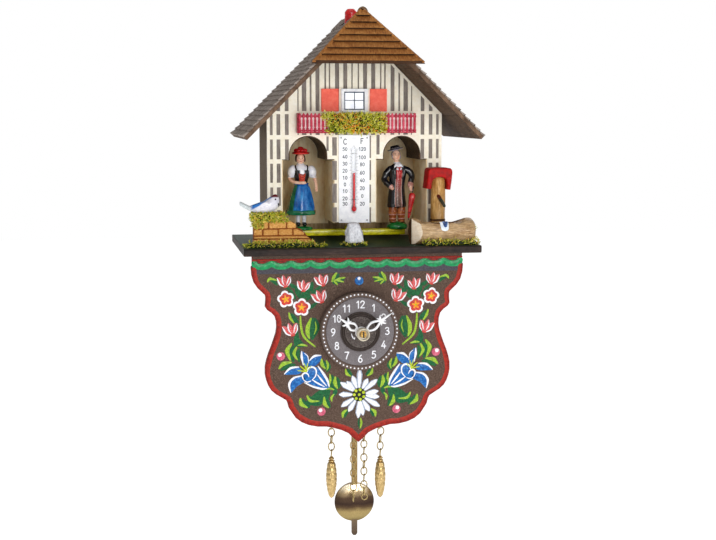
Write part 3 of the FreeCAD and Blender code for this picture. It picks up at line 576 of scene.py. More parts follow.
# --- paints
P_CREAM = paint("cream_paint", c(250, 243, 224), rough=0.5, var=0.015, dark=c(243, 234, 212), light=c(254, 250, 238), bump=0.15)
P_TAUPE = wood("taupe_stain", c(92, 84, 78), c(132, 123, 116), c(158, 148, 140), grain=(1.0, 1.0, 0.14), scale=1.3, rough=0.65,
               bump=0.35, speck=0.35)
P_RED = paint("signal_red", c(205, 14, 16), rough=0.3, var=0.10, dark=c(150, 4, 8), light=c(232, 40, 34), coat=0.5, scale=0.35)
P_CORAL = paint("coral_paint", c(250, 110, 90), rough=0.55, var=0.05, dark=c(240, 98, 82), light=c(254, 126, 106), bump=0.25, scale=0.6)
P_CRIM = paint("crimson_paint", c(190, 34, 62), rough=0.45, var=0.12, dark=c(128, 12, 38), light=c(224, 92, 112), bump=0.3, scale=0.9, tone=True)
P_PINKBACK = paint("balcony_pink", c(254, 232, 232), rough=0.6, var=0.06, dark=c(230, 186, 190), light=c(254, 238, 234))
P_WHITE = paint("window_white", c(246, 246, 248), rough=0.45, var=0.02, dark=c(226, 228, 234), light=c(255, 255, 255))
P_BAR = paint("glazing_bar", c(72, 84, 102), rough=0.4, var=0.12)
P_PANE = paint("window_pane", c(242, 244, 252), rough=0.08, var=0.02, dark=c(226, 231, 246), light=c(252, 253, 255), coat=0.6, scale=0.25)
P_YEL = paint("arm_yellow", c(226, 218, 0), rough=0.3, var=0.06, dark=c(176, 168, 0), light=c(246, 240, 40), coat=0.4)
P_CARD = paint("card_white", c(244, 245, 248), rough=0.35, var=0.012, dark=c(232, 234, 240), light=c(252, 252, 254), coat=0.3, bump=0.05)
P_INK = paint("scale_ink", c(64, 70, 82), rough=0.5, var=0.1)
P_GREENTOP = paint("platform_green", c(20, 52, 36), rough=0.5, var=0.15, dark=c(12, 38, 26), light=c(32, 68, 48), bump=0.3, scale=0.3)
P_EDGE = wood("platform_edge", c(13, 8, 7), c(31, 21, 17), c(66, 48, 40), grain=(0.10, 1.0, 0.6), scale=1.0, rough=0.5,
              bump=0.4, speck=0.4)
P_GLASSY = None


def glass(name, tint, rough=0.03, ior=1.48):
    M = Mat(name, rough=rough)
    M.b.inputs["Transmission Weight"].default_value = 1.0
    M.b.inputs["IOR"].default_value = ior
    n = M.noise(M.vec(0.4, 0.4, 0.1), scale=0.8, detail=2)
    M.color(M.ramp(n, [(0.3, tint), (0.7, tuple(min(1.0, v * 1.04) for v in tint[:3]) + (1.0,))]))
    M.bump(n, 0.03, 0.02)
    return M.m


G_TUBE = glass("tube_glass", c(250, 252, 254), rough=0.02, ior=1.14)
P_LIQ = paint("spirit_red", c(228, 34, 38), rough=0.08, var=0.05, coat=0.5)
M_BRASS = metal("movement_brass", c(150, 112, 52), c(214, 176, 104), rough=0.28)
M_STEEL = metal("movement_steel", c(110, 112, 118), c(190, 192, 198), rough=0.25)
M_BRONZE = metal("rod_bronze", c(92, 78, 54), c(158, 132, 88), rough=0.34, brushed=(1, 1, 0.1))
M_GUTM = paint("gut", c(200, 170, 120), rough=0.4, var=0.1)

# ----------------------------------------------------------------------------
# roof
# ----------------------------------------------------------------------------
C45 = math.sqrt(0.5)
GABLE_Z, ROOF_L, ROOF_T, SHN = 56.3, 80.6, 2.3, 0.6
ROOF_Y0, ROOF_Y1, ROWS = -71.6, 10.0, 24
HIP_Y, HIP_Z, HIP_ROWS, HIP_APEX, HIP_LEN = -78.9, 35.0, 9, 62.4, 35.5
HU, HN = (0.5976, 0.8018), (-0.8018, 0.5976)


def slope(s, n, y):
    return ((s + n) * C45, y, GABLE_Z - s * C45 + n * C45)


def hip(s, n, x):
    return (x, HIP_Y + s * HU[0] + n * HN[0], HIP_Z + s * HU[1] + n * HN[1])


def breaks(a, b, w, off, jit=0.22):
    """Uneven joint positions between a and b."""
    xs, x = [a], a + w * (0.35 + 0.6 * off)
    while x < b - w * 0.3:
        xs.append(x)
        x += w * (1.0 + R.uniform(-jit, jit))
    xs.append(b)
    return xs


def wedge(P, s0, s1, a, b, n0, n1, nb, geo, mat, tone):
    """One shingle between a and b across, s0 butt end, s1 upper end."""
    k0, k1 = R.uniform(-0.10, 0.12), R.uniform(-0.10, 0.12)
    e = R.uniform(-0.05, 0.09)
    vs = [P(s0 + k0, nb, a), P(s0 + k1, nb, b), P(s1, nb, a), P(s1, nb, b),
          P(s0 + k0, n0 + e, a), P(s0 + k1, n0 + e + R.uniform(-0.05, 0.05), b), P(s1, n1, a), P(s1, n1, b)]
    fs = [(0, 2, 3, 1), (4, 5, 7, 6), (0, 1, 5, 4), (2, 6, 7, 3), (0, 4, 6, 2), (1, 3, 7, 5)]
    geo.add(vs, fs, mat, tone)


def roof_side(name, sign):
    pitch = (ROOF_L + 2.6) / ROWS
    g = Geo()
    P = lambda s, n, y: slope(s, n, y)
    for k in range(ROWS):
        s0, s1 = ROOF_L - k * pitch, ROOF_L - (k + 1) * pitch - 0.5
        ys = breaks(ROOF_Y0, ROOF_Y1, 3.4, (k * 0.37) % 1.0)
        row_t = R.uniform(-0.06, 0.06)
        for a, b in zip(ys, ys[1:]):
            t = min(1.0, max(0.0, 0.5 + row_t + R.gauss(0, 0.2)))
            wedge(P, s0, s1, a + (0.11 if a > ROOF_Y0 else 0.0), b - (0.11 if b < ROOF_Y1 else 0.0),
                  ROOF_T + SHN + R.uniform(-0.08, 0.1), ROOF_T - 0.08, ROOF_T - 0.5, g, 0, t)
    if sign < 0:
        g.v = [(-x, y, z) for x, y, z in g.v]
    cuts = [((0, 0, 0), (-sign, 0, 0)), ((0, HIP_Y, HIP_Z), (0, HN[0], HN[1]))]
    g.build(name + "_shingles", [W_ROOF], bevel=0.12, cuts=cuts, replaces=(name,), slot="weathered_roof_wood")
    b = Geo()
    th = ROOF_T - 0.12
    # the board under the shingles, in four planks along the slope
    cutsb = cuts
    for q in range(5):
        sa, sb = q * ROOF_L / 5 - (0 if q else 3), (q + 1) * ROOF_L / 5 - 0.12
        if q == 4:
            sb = ROOF_L - 0.05
        vs = [slope(s, n, y) for y in (ROOF_Y0 + 0.05, ROOF_Y1 - 0.05) for s, n in ((sa, 0), (sb, 0), (sb, th), (sa, th))]
        fs = [(0, 1, 2, 3), (7, 6, 5, 4), (0, 4, 5, 1), (1, 5, 6, 2), (2, 6, 7, 3), (3, 7, 4, 0)]
        b.add(vs, fs, 0, 0.5)
    if sign < 0:
        b.v = [(-x, y, z) for x, y, z in b.v]
    b.build(name + "_boards", [W_BOARD], bevel=0.16, segments=2, cuts=cutsb)
    # rake strip along the front edge
    rk = Geo()
    vs = [slope(s, n, y) for y in (ROOF_Y0 - 0.45, ROOF_Y0 + 0.4) for s, n in ((-3, -0.12), (ROOF_L - 0.1, -0.12), (ROOF_L - 0.1, 1.75), (-3, 1.75))]
    rk.add(vs, [(0, 1, 2, 3), (7, 6, 5, 4), (0, 4, 5, 1), (1, 5, 6, 2), (2, 6, 7, 3), (3, 7, 4, 0)], 0, 0.5)
    if sign < 0:
        rk.v = [(-x, y, z) for x, y, z in rk.v]
    rk.build(name + "_rake", [W_RAKE], bevel=0.15, segments=2, cuts=cuts)


roof_side("left_roof", -1)
roof_side("right_roof", 1)

# ridge caps
g = Geo()
y = ROOF_Y1
while y > -54:
    y0 = y - 6.2
    if not (y0 < -23.4 and y > -30.6):
        t = R.uniform(0.25, 0.75)
        h0, h1 = 2.95 + R.uniform(0, 0.1), 2.6
        for sg in (-1, 1):
            vs = []
            for yy, n in ((y0 - 0.5, h0 + 0.35), (y, h1 + 0.35)):
                for s, nn in ((-n, n), (3.4, n), (3.4, n - 0.55), (-(n - 0.55), n - 0.55)):
                    p = slope(s, nn, yy)
                    vs.append((sg * max(p[0], 0.0), p[1], p[2]))
            g.add(vs, [(0, 1, 2, 3), (7, 6, 5, 4), (0, 4, 5, 1), (1, 5, 6, 2), (2, 6, 7, 3), (3, 7, 4, 0)], 0, t)
    y -= 5.6
g.build("ridge_caps", [W_ROOF], bevel=0.12)

# front hip
g = Geo()
hp = HIP_LEN / HIP_ROWS
for k in range(HIP_ROWS):
    s0, s1 = k * hp, (k + 1) * hp + 0.55
    hw = 28.5 - s0 * HU[1] + 1.0
    xs = breaks(-hw, hw, 8.5, (k * 0.43) % 1.0, 0.25)
    for a, b in zip(xs, xs[1:]):
        light = 0.42 + 0.03 * k
        t = min(1.0, max(0.0, light + R.gauss(0, 0.07)))
        q0, q1 = R.uniform(-0.08, 0.08), R.uniform(-0.08, 0.08)
        n0 = 1.5 + 0.95 + R.uniform(-0.04, 0.08)
        ga = 0.02
        vs = [hip(s0 + q0, 1.0, a + ga), hip(s0 + q1, 1.0, b - ga), hip(s1, 1.0, a + ga), hip(s1, 1.0, b - ga),
              hip(s0 + q0, n0, a + ga), hip(s0 + q1, n0 + R.uniform(-0.04, 0.04), b - ga), hip(s1, 1.30, a + ga), hip(s1, 1.30, b - ga)]
        # the butt face takes the dark board wood as painted shade, and the tone runs from a painted highlight along the
        # butt to painted shade at the upper end under the next row
        g.add(vs, [(0, 2, 3, 1), (4, 5, 7, 6), (0, 1, 5, 4), (2, 6, 7, 3), (0, 4, 6, 2), (1, 3, 7, 5)], [0, 0, 1, 0, 0, 0], [0.0, 0.0, 0.0, 0.0, t + 0.12, t + 0.12, 0.0, 0.0])
cl = 0.35
hip_cuts = [((0, 0, HIP_APEX - cl), (1, 0, 1)), ((0, 0, HIP_APEX - cl), (-1, 0, 1))]
g.build("hip_shingles", [W_HIP, W_HIP_BOARD_AND_SHADE], bevel=0.14, segments=2, cuts=hip_cuts, replaces=("hip_roof",), slot="warm_roof_wood")
b = Geo()
vs = [hip(s, n, x) for x in (-30, 30) for s, n in ((0.02, 0), (HIP_LEN, 0), (HIP_LEN, 1.35), (0.02, 1.35))]
b.add(vs, [(0, 1, 2, 3), (7, 6, 5, 4), (0, 4, 5, 1), (1, 5, 6, 2), (2, 6, 7, 3), (3, 7, 4, 0)])
b.build("hip_board", [W_HIP_BOARD_AND_SHADE], bevel=0.15, segments=2, cuts=[((0, 0, HIP_APEX), (1, 0, 1)), ((0, 0, HIP_APEX), (-1, 0, 1))])
g = Geo()
for sg in (-1, 1):
    for k in range(10):
        s0, s1 = k * 3.15 - 0.15, min(32.4, k * 3.15 + 3.5)
        pts = []
        for s, lift in ((s0, 0.55), (min(s1, 34.6), 0.25)):
            x, yy, z = hip(s, 1.5 + lift, 0)
            xe = (HIP_APEX + 0.15 - z)
            pts.append(Vector((sg * xe, yy, z)))
        e = (pts[1] - pts[0]).normalized()
        nrm = Vector((0.62 * sg, HN[0], HN[1] + 0.4)).normalized()
        nrm = (nrm - e * nrm.dot(e)).normalized()
        sd = e.cross(nrm).normalized()
        vs = []
        for p in pts:
            for u, w in ((-0.85, -0.75), (0.85, -0.75), (0.62, 0.05), (-0.62, 0.05)):
                vs.append(tuple(p + sd * u + nrm * w))
        g.add(vs, [(0, 1, 2, 3), (7, 6, 5, 4), (0, 4, 5, 1), (1, 5, 6, 2), (2, 6, 7, 3), (3, 7, 4, 0)], 0,
              min(1, max(0, 0.4 + R.gauss(0, 0.2))))
g.build("hip_edges", [W_HIP], bevel=0.16, segments=2)
g = Geo()
rings = []
for z, r in ((60.1, 1.9), (60.8, 2.15), (61.6, 2.05), (62.3, 1.7), (62.85, 1.15), (63.15, 0.5)):
    rings.append([(0.7 + r * 1.25 * math.cos(a), -58.5 + r * 0.9 * math.sin(a), z - 0.22 * abs(math.cos(a)) * r)
                  for a in [2 * math.pi * i / 24 for i in range(24)]])
loft(rings, geo=g, tone=0.35)
jitter(g, 0.06, 0.6)
g.build("hip_finial", [W_HIPCAP], smooth=True, angle=50)

# chimney (fixed saddle and turning cap)
soften("chimney_base", 0.25, [P_RED], segments=3, smooth=True, angle=50)
soften("adjusting_knob", 0.35, [P_RED], segments=3, smooth=True, angle=50)

# ----------------------------------------------------------------------------
# walls
# ----------------------------------------------------------------------------
soften("front_wall", 0.12, [P_TAUPE], segments=1)
soften("timber_lattice", 0.13, [P_CREAM], segments=2)
soften("side_walls", 0.25, [W_SIDE], segments=2)
soften("rear_panel", 0.2, [W_TAN], segments=2)

# dark brown wood used as painted shade round the doorway arches
W_ARCH_SHADE = wood("jamb_brown", c(28, 17, 7), c(58, 39, 18), c(90, 64, 36), grain=(0.8, 0.14, 0.8), scale=1.0, rough=0.6,
              bump=0.35)
for nm, sg in (("left", -1), ("right", 1)):
    dx, ar, az, th = 23.85, 9.7, -9.05, 0.45
    outer = [(10.45, -43.2), (10.45, -11.0), (dx - ar, -11.0)]
    outer += [(dx - ar * math.cos(math.pi * k / 28), az + ar * math.sin(math.pi * k / 28)) for k in range(29)]
    outer += [(dx + ar, -11.0), (37.05, -11.0), (37.05, -52.8)]
    inner = [(10.9, -43.2), (10.9, -11.45), (dx - ar + th, -11.45)]
    inner += [(dx - (ar - th) * math.cos(math.pi * k / 28), az + (ar - th) * math.sin(math.pi * k / 28)) for k in range(29)]
    inner += [(dx + ar - th, -11.45), (37.05 - th, -11.45), (37.05 - th, -52.8)]
    n = len(outer)
    vs = []
    for yy in (-39.95, -7.0):
        vs += [(sg * x, yy, z) for x, z in outer] + [(sg * x, yy, z) for x, z in inner]
    fs, ms = [], []
    for i in range(n - 1):
        fs += [(i, i + 1, n + i + 1, n + i), (2 * n + i, 3 * n + i, 3 * n + i + 1, 2 * n + i + 1),
               (i, 2 * n + i, 2 * n + i + 1, i + 1), (n + i, n + i + 1, 3 * n + i + 1, 3 * n + i)]
        # faces round the arch take the dark brown as painted shade under the arch; the straight lower faces keep the
        # tan niche wood
        ms += [0 if min(outer[i][1], outer[i + 1][1]) > -11.3 else 1] * 4
    fs += [(0, n, 3 * n, 2 * n), (n - 1, 3 * n - 1, 4 * n - 1, 2 * n - 1)]
    Geo().add(vs, fs, ms + [1, 1]).build(nm + "_doorway", [W_ARCH_SHADE, W_NICHE], smooth=True, angle=35)
    # niche back, a board behind the figure
    bk = [(9.0, -46.0), (9.0, 2.0), (38.0, 2.0), (38.0, -52.8), (30.0, -52.8), (30.0, -46.0)]
    prism([(sg * x, z) for x, z in (bk if sg > 0 else bk[::-1])], -7.0, -5.8).build(nm + "_niche_back", [W_NICHE], bevel=0.1)

# stained slots that show between the cream timbers beside the card
g = Geo()
for x0, x1, z1, z0 in ((-11.66, -9.36, -0.1, -9.2), (-11.69, -9.38, -11.9, -21.45), (-11.71, -9.4, -23.3, -32.9), (-11.73, -9.42, -35.2, -42.5),
                       (-14.58, -13.48, 0.3, -6.9), (6.18, 8.04, 0.7, -10.6), (6.18, 8.05, -11.6, -21.6), (6.2, 8.06, -23.9, -33.1),
                       (6.2, 8.08, -35.4, -43.6), (10.82, 12.4, 1.1, -8.8)):
    prism([(x0, z0 + 0.1), (x0 + 0.1, z0), (x1 - 0.1, z0), (x1, z0 + 0.1), (x1, z1 - 0.1), (x1 - 0.1, z1), (x0 + 0.1, z1), (x0, z1 - 0.1)],
          -40.56, -40.4, geo=g, tone=0.4 + 0.02 * x0)
g.build("timber_slots", [P_TAUPE])

# platform: green top, dark stained edge
g = Geo()
px, y0, y1, z1, z0 = 58.6, -68.6, 10.0, -52.8, -56.5
prof = [(y0 + 0.9, z0), (y0 + 0.25, z0 + 0.25), (y0, z0 + 0.9), (y0, z1 - 0.7), (y0 + 0.2, z1 - 0.2), (y0 + 0.7, z1), (y1, z1), (y1, z0)]
vs = [(x, yy, z) for x in (-px, px) for yy, z in prof]
n = len(prof)
fs = [tuple(range(n)), tuple(reversed(range(n, 2 * n)))] + [(i, n + i, n + (i + 1) % n, (i + 1) % n) for i in range(n)]
ms = [1, 1] + [0 if i == 5 else 1 for i in range(n)]
g.add(vs, fs, ms)
g.build("platform_board", [P_GREENTOP, P_EDGE], bevel=0.25, segments=2, replaces=("platform",), slot="green_platform_wood")

# ----------------------------------------------------------------------------
# window, shutters, balconies
# ----------------------------------------------------------------------------
LY = -40.5
g = Geo()
wx0, wx1, wz0, wz1 = -7.2, 6.3, 12.4, 24.0
ox0, ox1, oz0, oz1 = -5.7, 4.6, 13.5, 22.5
for a, b_, c_, d in ((wx0, ox0, wz0, wz1), (ox1, wx1, wz0, wz1), (ox0, ox1, oz1, wz1), (ox0, ox1, wz0, oz0)):
    block(a, b_, LY - 1.2, LY, c_, d, geo=g)
g.build("window_surround", [P_WHITE], bevel=0.16, segments=2, replaces=("window_frame",), slot="window_white")
g = Geo()
for a, b_, c_, d in ((ox0, ox0 + 0.55, oz0, oz1), (ox1 - 0.55, ox1, oz0, oz1), (ox0, ox1, oz1 - 0.6, oz1), (ox0, ox1, oz0, oz0 + 0.55),
                     (-0.62, -0.22, oz0, oz1 - 0.5), (ox0 + 0.5, ox1 - 0.5, 18.0, 18.4)):
    block(a, b_, LY - 0.75, LY - 0.1, c_, d, geo=g)
g.build("glazing_bars", [P_BAR], bevel=0.09, segments=2)
g = Geo()
block(ox0 + 0.1, ox1 - 0.1, LY - 0.42, LY - 0.02, oz0, oz1 - 0.1, geo=g)
g.build("panes", [P_PANE], bevel=0.05, replaces=("window_glazing",), slot="window_pane")

for nm, a, b_ in (("left", -17.2, -8.5), ("right", 7.35, 15.95)):
    g = Geo()
    # flush panel with a shallow raised rim
    block(a, b_, LY - 0.85, LY, 12.7, 23.95, geo=g)
    for q in ((a, a + 0.7, 12.7, 23.95), (b_ - 0.7, b_, 12.7, 23.95), (a + 0.7, b_ - 0.7, 23.25, 23.95), (a + 0.7, b_ - 0.7, 12.7, 13.4)):
        block(q[0], q[1], LY - 0.98, LY - 0.8, q[2], q[3], geo=g)
    g.build(nm + "_shutter", [P_CORAL], bevel=0.12, segments=2, replaces=("shutters",), slot="coral_paint")

for nm, sg in (("left", -1), ("right", 1)):
    g = Geo()
    x0, x1 = (15.0, 30.1) if sg > 0 else (14.2, 29.6)
    n = 8
    w = (x1 - x0) / n
    for k in range(n):
        xa = x0 + k * w + 0.38
        xb = xa + w - 0.76
        m = (xa + xb) / 2
        zt, zb = 12.15, 1.95
        # fretted picket: pointed top and bottom, two waists
        prof = [(xa, zb + 0.9), (m, zb), (xb, zb + 0.9), (xb, 4.4), (xb - 0.28, 4.9), (xb, 5.4), (xb, 8.6), (xb - 0.28, 9.1),
                (xb, 9.6), (xb, zt - 0.9), (m, zt), (xa, zt - 0.9), (xa, 9.6), (xa + 0.28, 9.1), (xa, 8.6), (xa, 5.4),
                (xa + 0.28, 4.9), (xa, 4.4)]
        t = 0.5 + R.uniform(-0.35, 0.35)
        prism([(sg * q[0], q[1]) for q in (prof if sg > 0 else prof[::-1])], -46.5, -45.75, geo=g, tone=t)
    for za, zb in ((9.9, 10.9), (2.9, 3.8)):
        a, b_ = sorted((sg * (x0 - 0.4), sg * x1))
        block(a, b_, -45.8, -45.2, za, zb, geo=g, tone=0.45)
    a, b_ = sorted((sg * (x0 - 3.0), sg * x1))
    block(a, b_, -46.0, LY, 2.05, 2.75, geo=g, tone=0.4)
    # return at the outer end
    for k in range(3):
        yy = -44.9 + k * 1.5
        a, b_ = sorted((sg * (x1 - 0.7), sg * x1))
        block(a, b_, yy, yy + 1.0, 2.5, 11.9 - 0.2 * (k % 2), geo=g, tone=0.45)
    for za, zb in ((9.9, 10.9), (2.9, 3.8)):
        a, b_ = sorted((sg * (x1 - 1.1), sg * (x1 - 0.6)))
        block(a, b_, -45.4, LY, za, zb, geo=g, tone=0.4)
    g.build(nm + "_balcony", [P_CRIM], bevel=0.1, segments=2, replaces=("balcony_rails",), slot="crimson_paint")
    # pale back board seen between the pickets
    a, b_ = sorted((sg * (x0 - 0.3), sg * (x1 - 1.4)))
    block(a, b_, -45.68, -45.1, 2.5, 11.5).build(nm + "_balcony_back", [P_PINKBACK], bevel=0.08)


# ----------------------------------------------------------------------------
# foliage
# ----------------------------------------------------------------------------
def foliage(name, stops):
    M = Mat(name, rough=0.6)
    t = M.tone()
    n = M.noise(M.vec(), scale=1.1, detail=3)
    f = M.math("ADD", t, M.remap(n, 0.3, 0.7, -0.10, 0.10))
    col = M.ramp(f, stops)
    M.color(col)
    M.bump(M.noise(M.vec(3, 3, 3), scale=1.0, detail=2), 0.3, 0.08)
    M.b.inputs["Subsurface Weight"].default_value = 0.0
    return M.m


L_BALC = foliage("balcony_leaf", [(0.0, c(64, 76, 14)), (0.22, c(124, 138, 24)), (0.45, c(180, 186, 34)), (0.7, c(218, 214, 62)),
                                  (1.0, c(242, 236, 142))])
L_MOSS = foliage("moss_leaf", [(0.0, c(62, 74, 12)), (0.25, c(114, 128, 20)), (0.5, c(164, 172, 38)), (0.75, c(206, 204, 70)),
                               (0.93, c(230, 222, 126)), (1.0, c(230, 168, 60))])
# near-black green for the moss cores: partly the foam's colour, partly painted shade of the clumps' insides
L_CORE_SHADE = foliage("moss_dark", [(0.0, c(14, 22, 6)), (0.5, c(34, 48, 12)), (1.0, c(70, 84, 24))])
L_FLOW = foliage("flower_fleck", [(0.0, c(196, 56, 22)), (0.35, c(230, 104, 26)), (0.65, c(246, 156, 36)), (1.0, c(254, 220, 84))])


def leaf(geo, p, d, L, w, bend, mat, tone):
    d = Vector(d).normalized()
    ref = Vector((R.uniform(-1, 1), R.uniform(-1, 1), R.uniform(-1, 1)))
    sd = d.cross(ref)
    if sd.length < 1e-3:
        sd = d.cross(Vector((0.3, 0.2, 0.9)))
    sd.normalize()
    nn = sd.cross(d)
    p = Vector(p)
    bv = nn * bend
    s1, s2, s3 = p + d * L * 0.3 + bv * L * 0.10, p + d * L * 0.68 + bv * L * 0.32, p + d * L * 0.95 + bv * L * 0.62
    th = w * 0.42
    vs = [tuple(p)]
    for s, k in ((s1, 0.85), (s2, 1.0)):
        vs += [tuple(s + sd * w * k), tuple(s + nn * th * k), tuple(s - sd * w * k), tuple(s - nn * th * k)]
    vs.append(tuple(s3))
    fs = [(0, 2, 1), (0, 3, 2), (0, 4, 3), (0, 1, 4)]
    fs += [(1 + i, 1 + (i + 1) % 4, 5 + (i + 1) % 4, 5 + i) for i in range(4)]
    fs += [(9, 5, 6), (9, 6, 7), (9, 7, 8), (9, 8, 5)]
    # each leaf darkens towards its base: painted shade inside the clump
    geo.add(vs, fs, mat, [tone * 0.55] + [tone * 0.8] * 4 + [tone] * 5)


def tuft(geo, n, place, out, L=(1.3, 2.4), w=(0.2, 0.34), mat=0, mode=None, spread=0.9, tones=(0.55, 0.24)):
    """n leaves: place() gives a point, out(p) the outward direction there."""
    for _ in range(n):
        p = place()
        o = Vector(out(p)).normalized()
        d = o + Vector((R.gauss(0, spread), R.gauss(0, spread * 0.6), R.gauss(0, spread)))
        if d.dot(o) < 0.05:
            d = d + o * (0.1 - d.dot(o)) * 1.4
        t = min(1.0, max(0.0, R.gauss(*tones)))
        k = mat
        if mode:
            k, t = mode(p, t)
        leaf(geo, p, d, R.uniform(*L), R.uniform(*w), R.uniform(-0.9, 0.9), k, t)


def core(name, x0, x1, y0, y1, z0, z1, nx=18, nz=6, amp=0.35, seed=3.0, replaces=(), slot=None):
    """Irregular mass behind the leaves, its near-black green partly the foam's own colour and partly painted shade of
    the clump's depth: closed box of small cells pushed about.
    """
    g = Geo()
    rings = []
    for i in range(nx + 1):
        x = x0 + (x1 - x0) * i / nx
        e = min(1.0, min(i, nx - i) / 1.6 * 0.5 + 0.5)
        ring = []
        m = 20
        for k in range(m):
            a = 2 * math.pi * k / m
            ca, sa = math.cos(a), math.sin(a)
            py = math.copysign(abs(ca) ** 0.55, ca) * (y1 - y0) / 2 * e
            pz = math.copysign(abs(sa) ** 0.55, sa) * (z1 - z0) / 2 * e
            ring.append((x, (y0 + y1) / 2 + py, (z0 + z1) / 2 + pz))
        rings.append(ring)
    loft(rings, geo=g, tone=0.3)
    jitter(g, amp, 0.55, seed)
    g.v = [(x, min(y, y1), max(z, z0)) for x, y, z in g.v]
    return g.build(name, [L_CORE_SHADE], smooth=True, angle=60, replaces=replaces, slot=slot)


core("balcony_moss_core", -15.4, 14.4, -46.3, LY - 0.02, 2.4, 11.6, nx=26, seed=1.7, replaces=("flower_box",), slot="flower_foam")
g = Geo()


def balc_mode(p, t):
    x, z = p[0], p[2]
    hot = (math.exp(-((x + 8.8) ** 2 / 6 + (z - 10.0) ** 2 / 7)) * 0.75 + math.exp(-((x + 0.5) ** 2 / 40 + (z - 5.2) ** 2 / 4)) * 0.5
           + math.exp(-((x - 14.6) ** 2 / 3 + (z - 8.0) ** 2 / 14)) * 0.6 + math.exp(-((x + 1.5) ** 2 / 10 + (z - 9.6) ** 2 / 5)) * 0.25
           + math.exp(-((x - 3) ** 2 / 30 + (z - 2.2) ** 2 / 2)) * 0.3)
    cold = math.exp(-((x + 11.5) ** 2 / 8 + (z - 4.2) ** 2 / 9))
    if R.random() < hot * 0.85 + 0.03:
        return 1, min(1.0, max(0.0, R.gauss(0.5, 0.25)))
    return 0, max(0.0, t - 0.35 * cold)


def pl():
    return (R.uniform(-15.3, 14.3), R.uniform(-46.7, -45.6), R.uniform(2.4, 11.4))


tuft(g, 1100, pl, lambda p: (p[0] * 0.012, -1.0, (p[2] - 6.4) * 0.06), L=(1.5, 2.9), w=(0.17, 0.3), mode=balc_mode, spread=0.95,
     tones=(0.58, 0.25))
tuft(g, 90, lambda: (R.uniform(-17.6, -13.5), R.uniform(-47.0, -46.2), R.uniform(8.6, 12.2)), lambda p: (-0.2, -1, 0.3), L=(1.0, 2.0),
     w=(0.16, 0.28), mode=balc_mode, tones=(0.62, 0.22))
tuft(g, 220, lambda: (R.uniform(-15.2, 15.2), R.uniform(-46.0, -41.6), R.uniform(10.6, 11.5)), lambda p: (0, -0.15, 1), L=(1.0, 2.1),
     w=(0.16, 0.28), mode=balc_mode, tones=(0.55, 0.25))
tuft(g, 140, lambda: (R.choice((-15.3, 14.4)), R.uniform(-46.2, -41.6), R.uniform(2.6, 10.4)), lambda p: (p[0], -2, 0), L=(0.9, 1.7),
     w=(0.16, 0.28), mode=balc_mode, tones=(0.5, 0.25))
# leaves on the underside of the box take darker tones: painted shade under the box
tuft(g, 120, lambda: (R.uniform(-15.0, 15.0), R.uniform(-46.0, -42.0), 2.7), lambda p: (0, -0.3, -1), L=(0.6, 1.3),
     w=(0.16, 0.28), mode=balc_mode, tones=(0.35, 0.2))
g.v = [(x, min(y, LY - 0.02), z) for x, y, z in g.v]
# all tones lifted: painted light that makes up for the clump's self-shadow
g.t = [min(1.0, t * 1.12 + 0.10) for t in g.t]
g.build("balcony_flowers", [L_BALC, L_FLOW])

# ----------------------------------------------------------------------------
# brush strokes: low rounded ridges of paint on a face that looks along -Y
# ----------------------------------------------------------------------------
def stroke(geo, pts, w, yb, h, mat=0, tone=0.5, closed=False, per=0, yfun=None):
    """pts (x, z); w half width, number or list; yb base, h height towards the viewer."""
    if per:
        q = smooth_path([(a, 0, b) for a, b in pts], per, closed)
        if hasattr(w, "__len__"):
            m = len(pts) - (0 if closed else 1)
            ws = []
            for i in range(len(q)):
                t = i / per
                k = int(t)
                f = t - k
                ws.append(w[k % len(w)] * (1 - f) + w[(k + 1) % len(w) if closed else min(k + 1, len(w) - 1)] * f)
            w = ws
        pts = [(v.x, v.z) for v in q]
    P = [Vector((a, b)) for a, b in pts]
    m = len(P)
    W = list(w) if hasattr(w, "__len__") else [w] * m
    T = []
    for i in range(m):
        a, b = (P[i - 1], P[(i + 1) % m]) if closed else (P[max(i - 1, 0)], P[min(i + 1, m - 1)])
        d = b - a
        T.append(d.normalized() if d.length > 1e-9 else (T[-1] if T else Vector((1, 0))))
    if not closed:
        P = [P[0] - T[0] * W[0] * 0.9, P[0] - T[0] * W[0] * 0.5] + P + [P[-1] + T[-1] * W[-1] * 0.5, P[-1] + T[-1] * W[-1] * 0.9]
        W = [W[0] * 0.35, W[0] * 0.8] + W + [W[-1] * 0.8, W[-1] * 0.35]
        T = [T[0]] * 2 + T + [T[-1]] * 2
    rings = []
    wm = max(W)
    for p, t, ww in zip(P, T, W):
        s = Vector((-t.y, t.x))
        hh = h * min(1.0, 0.35 + 0.65 * ww / (wm * 0.6 + 1e-9))
        ring = []
        for u, v in ((-1, 0), (-0.78, 0.7), (0, 1), (0.78, 0.7), (1, 0)):
            q = p + s * ww * u
            y = yb - hh * v
            if yfun:
                y += yfun(q.x, q.y)
            ring.append((q.x, y, q.y))
        rings.append(ring)
    vs = [p for r in rings for p in r]
    return geo.add(vs, ring_faces(5, len(rings), closed_v=closed), mat, tone)


def blob(geo, outline, yb, h, mat=0, tone=0.5, inset=None, per=0):
    """Filled patch of paint with rounded edge."""
    if per:
        outline = [(v.x, v.z) for v in smooth_path([(a, 0, b) for a, b in outline], per, True)]
    n = len(outline)
    d = inset if inset is not None else h * 1.2
    a, b = outline, inset2(outline, d)
    vs = [(x, yb, z) for x, z in a] + [(x, yb - h * 0.62, z) for x, z in a] + [(x, yb - h, z) for x, z in b]
    fs = ring_faces(n, 3)
    return geo.add(vs, fs, mat, tone)


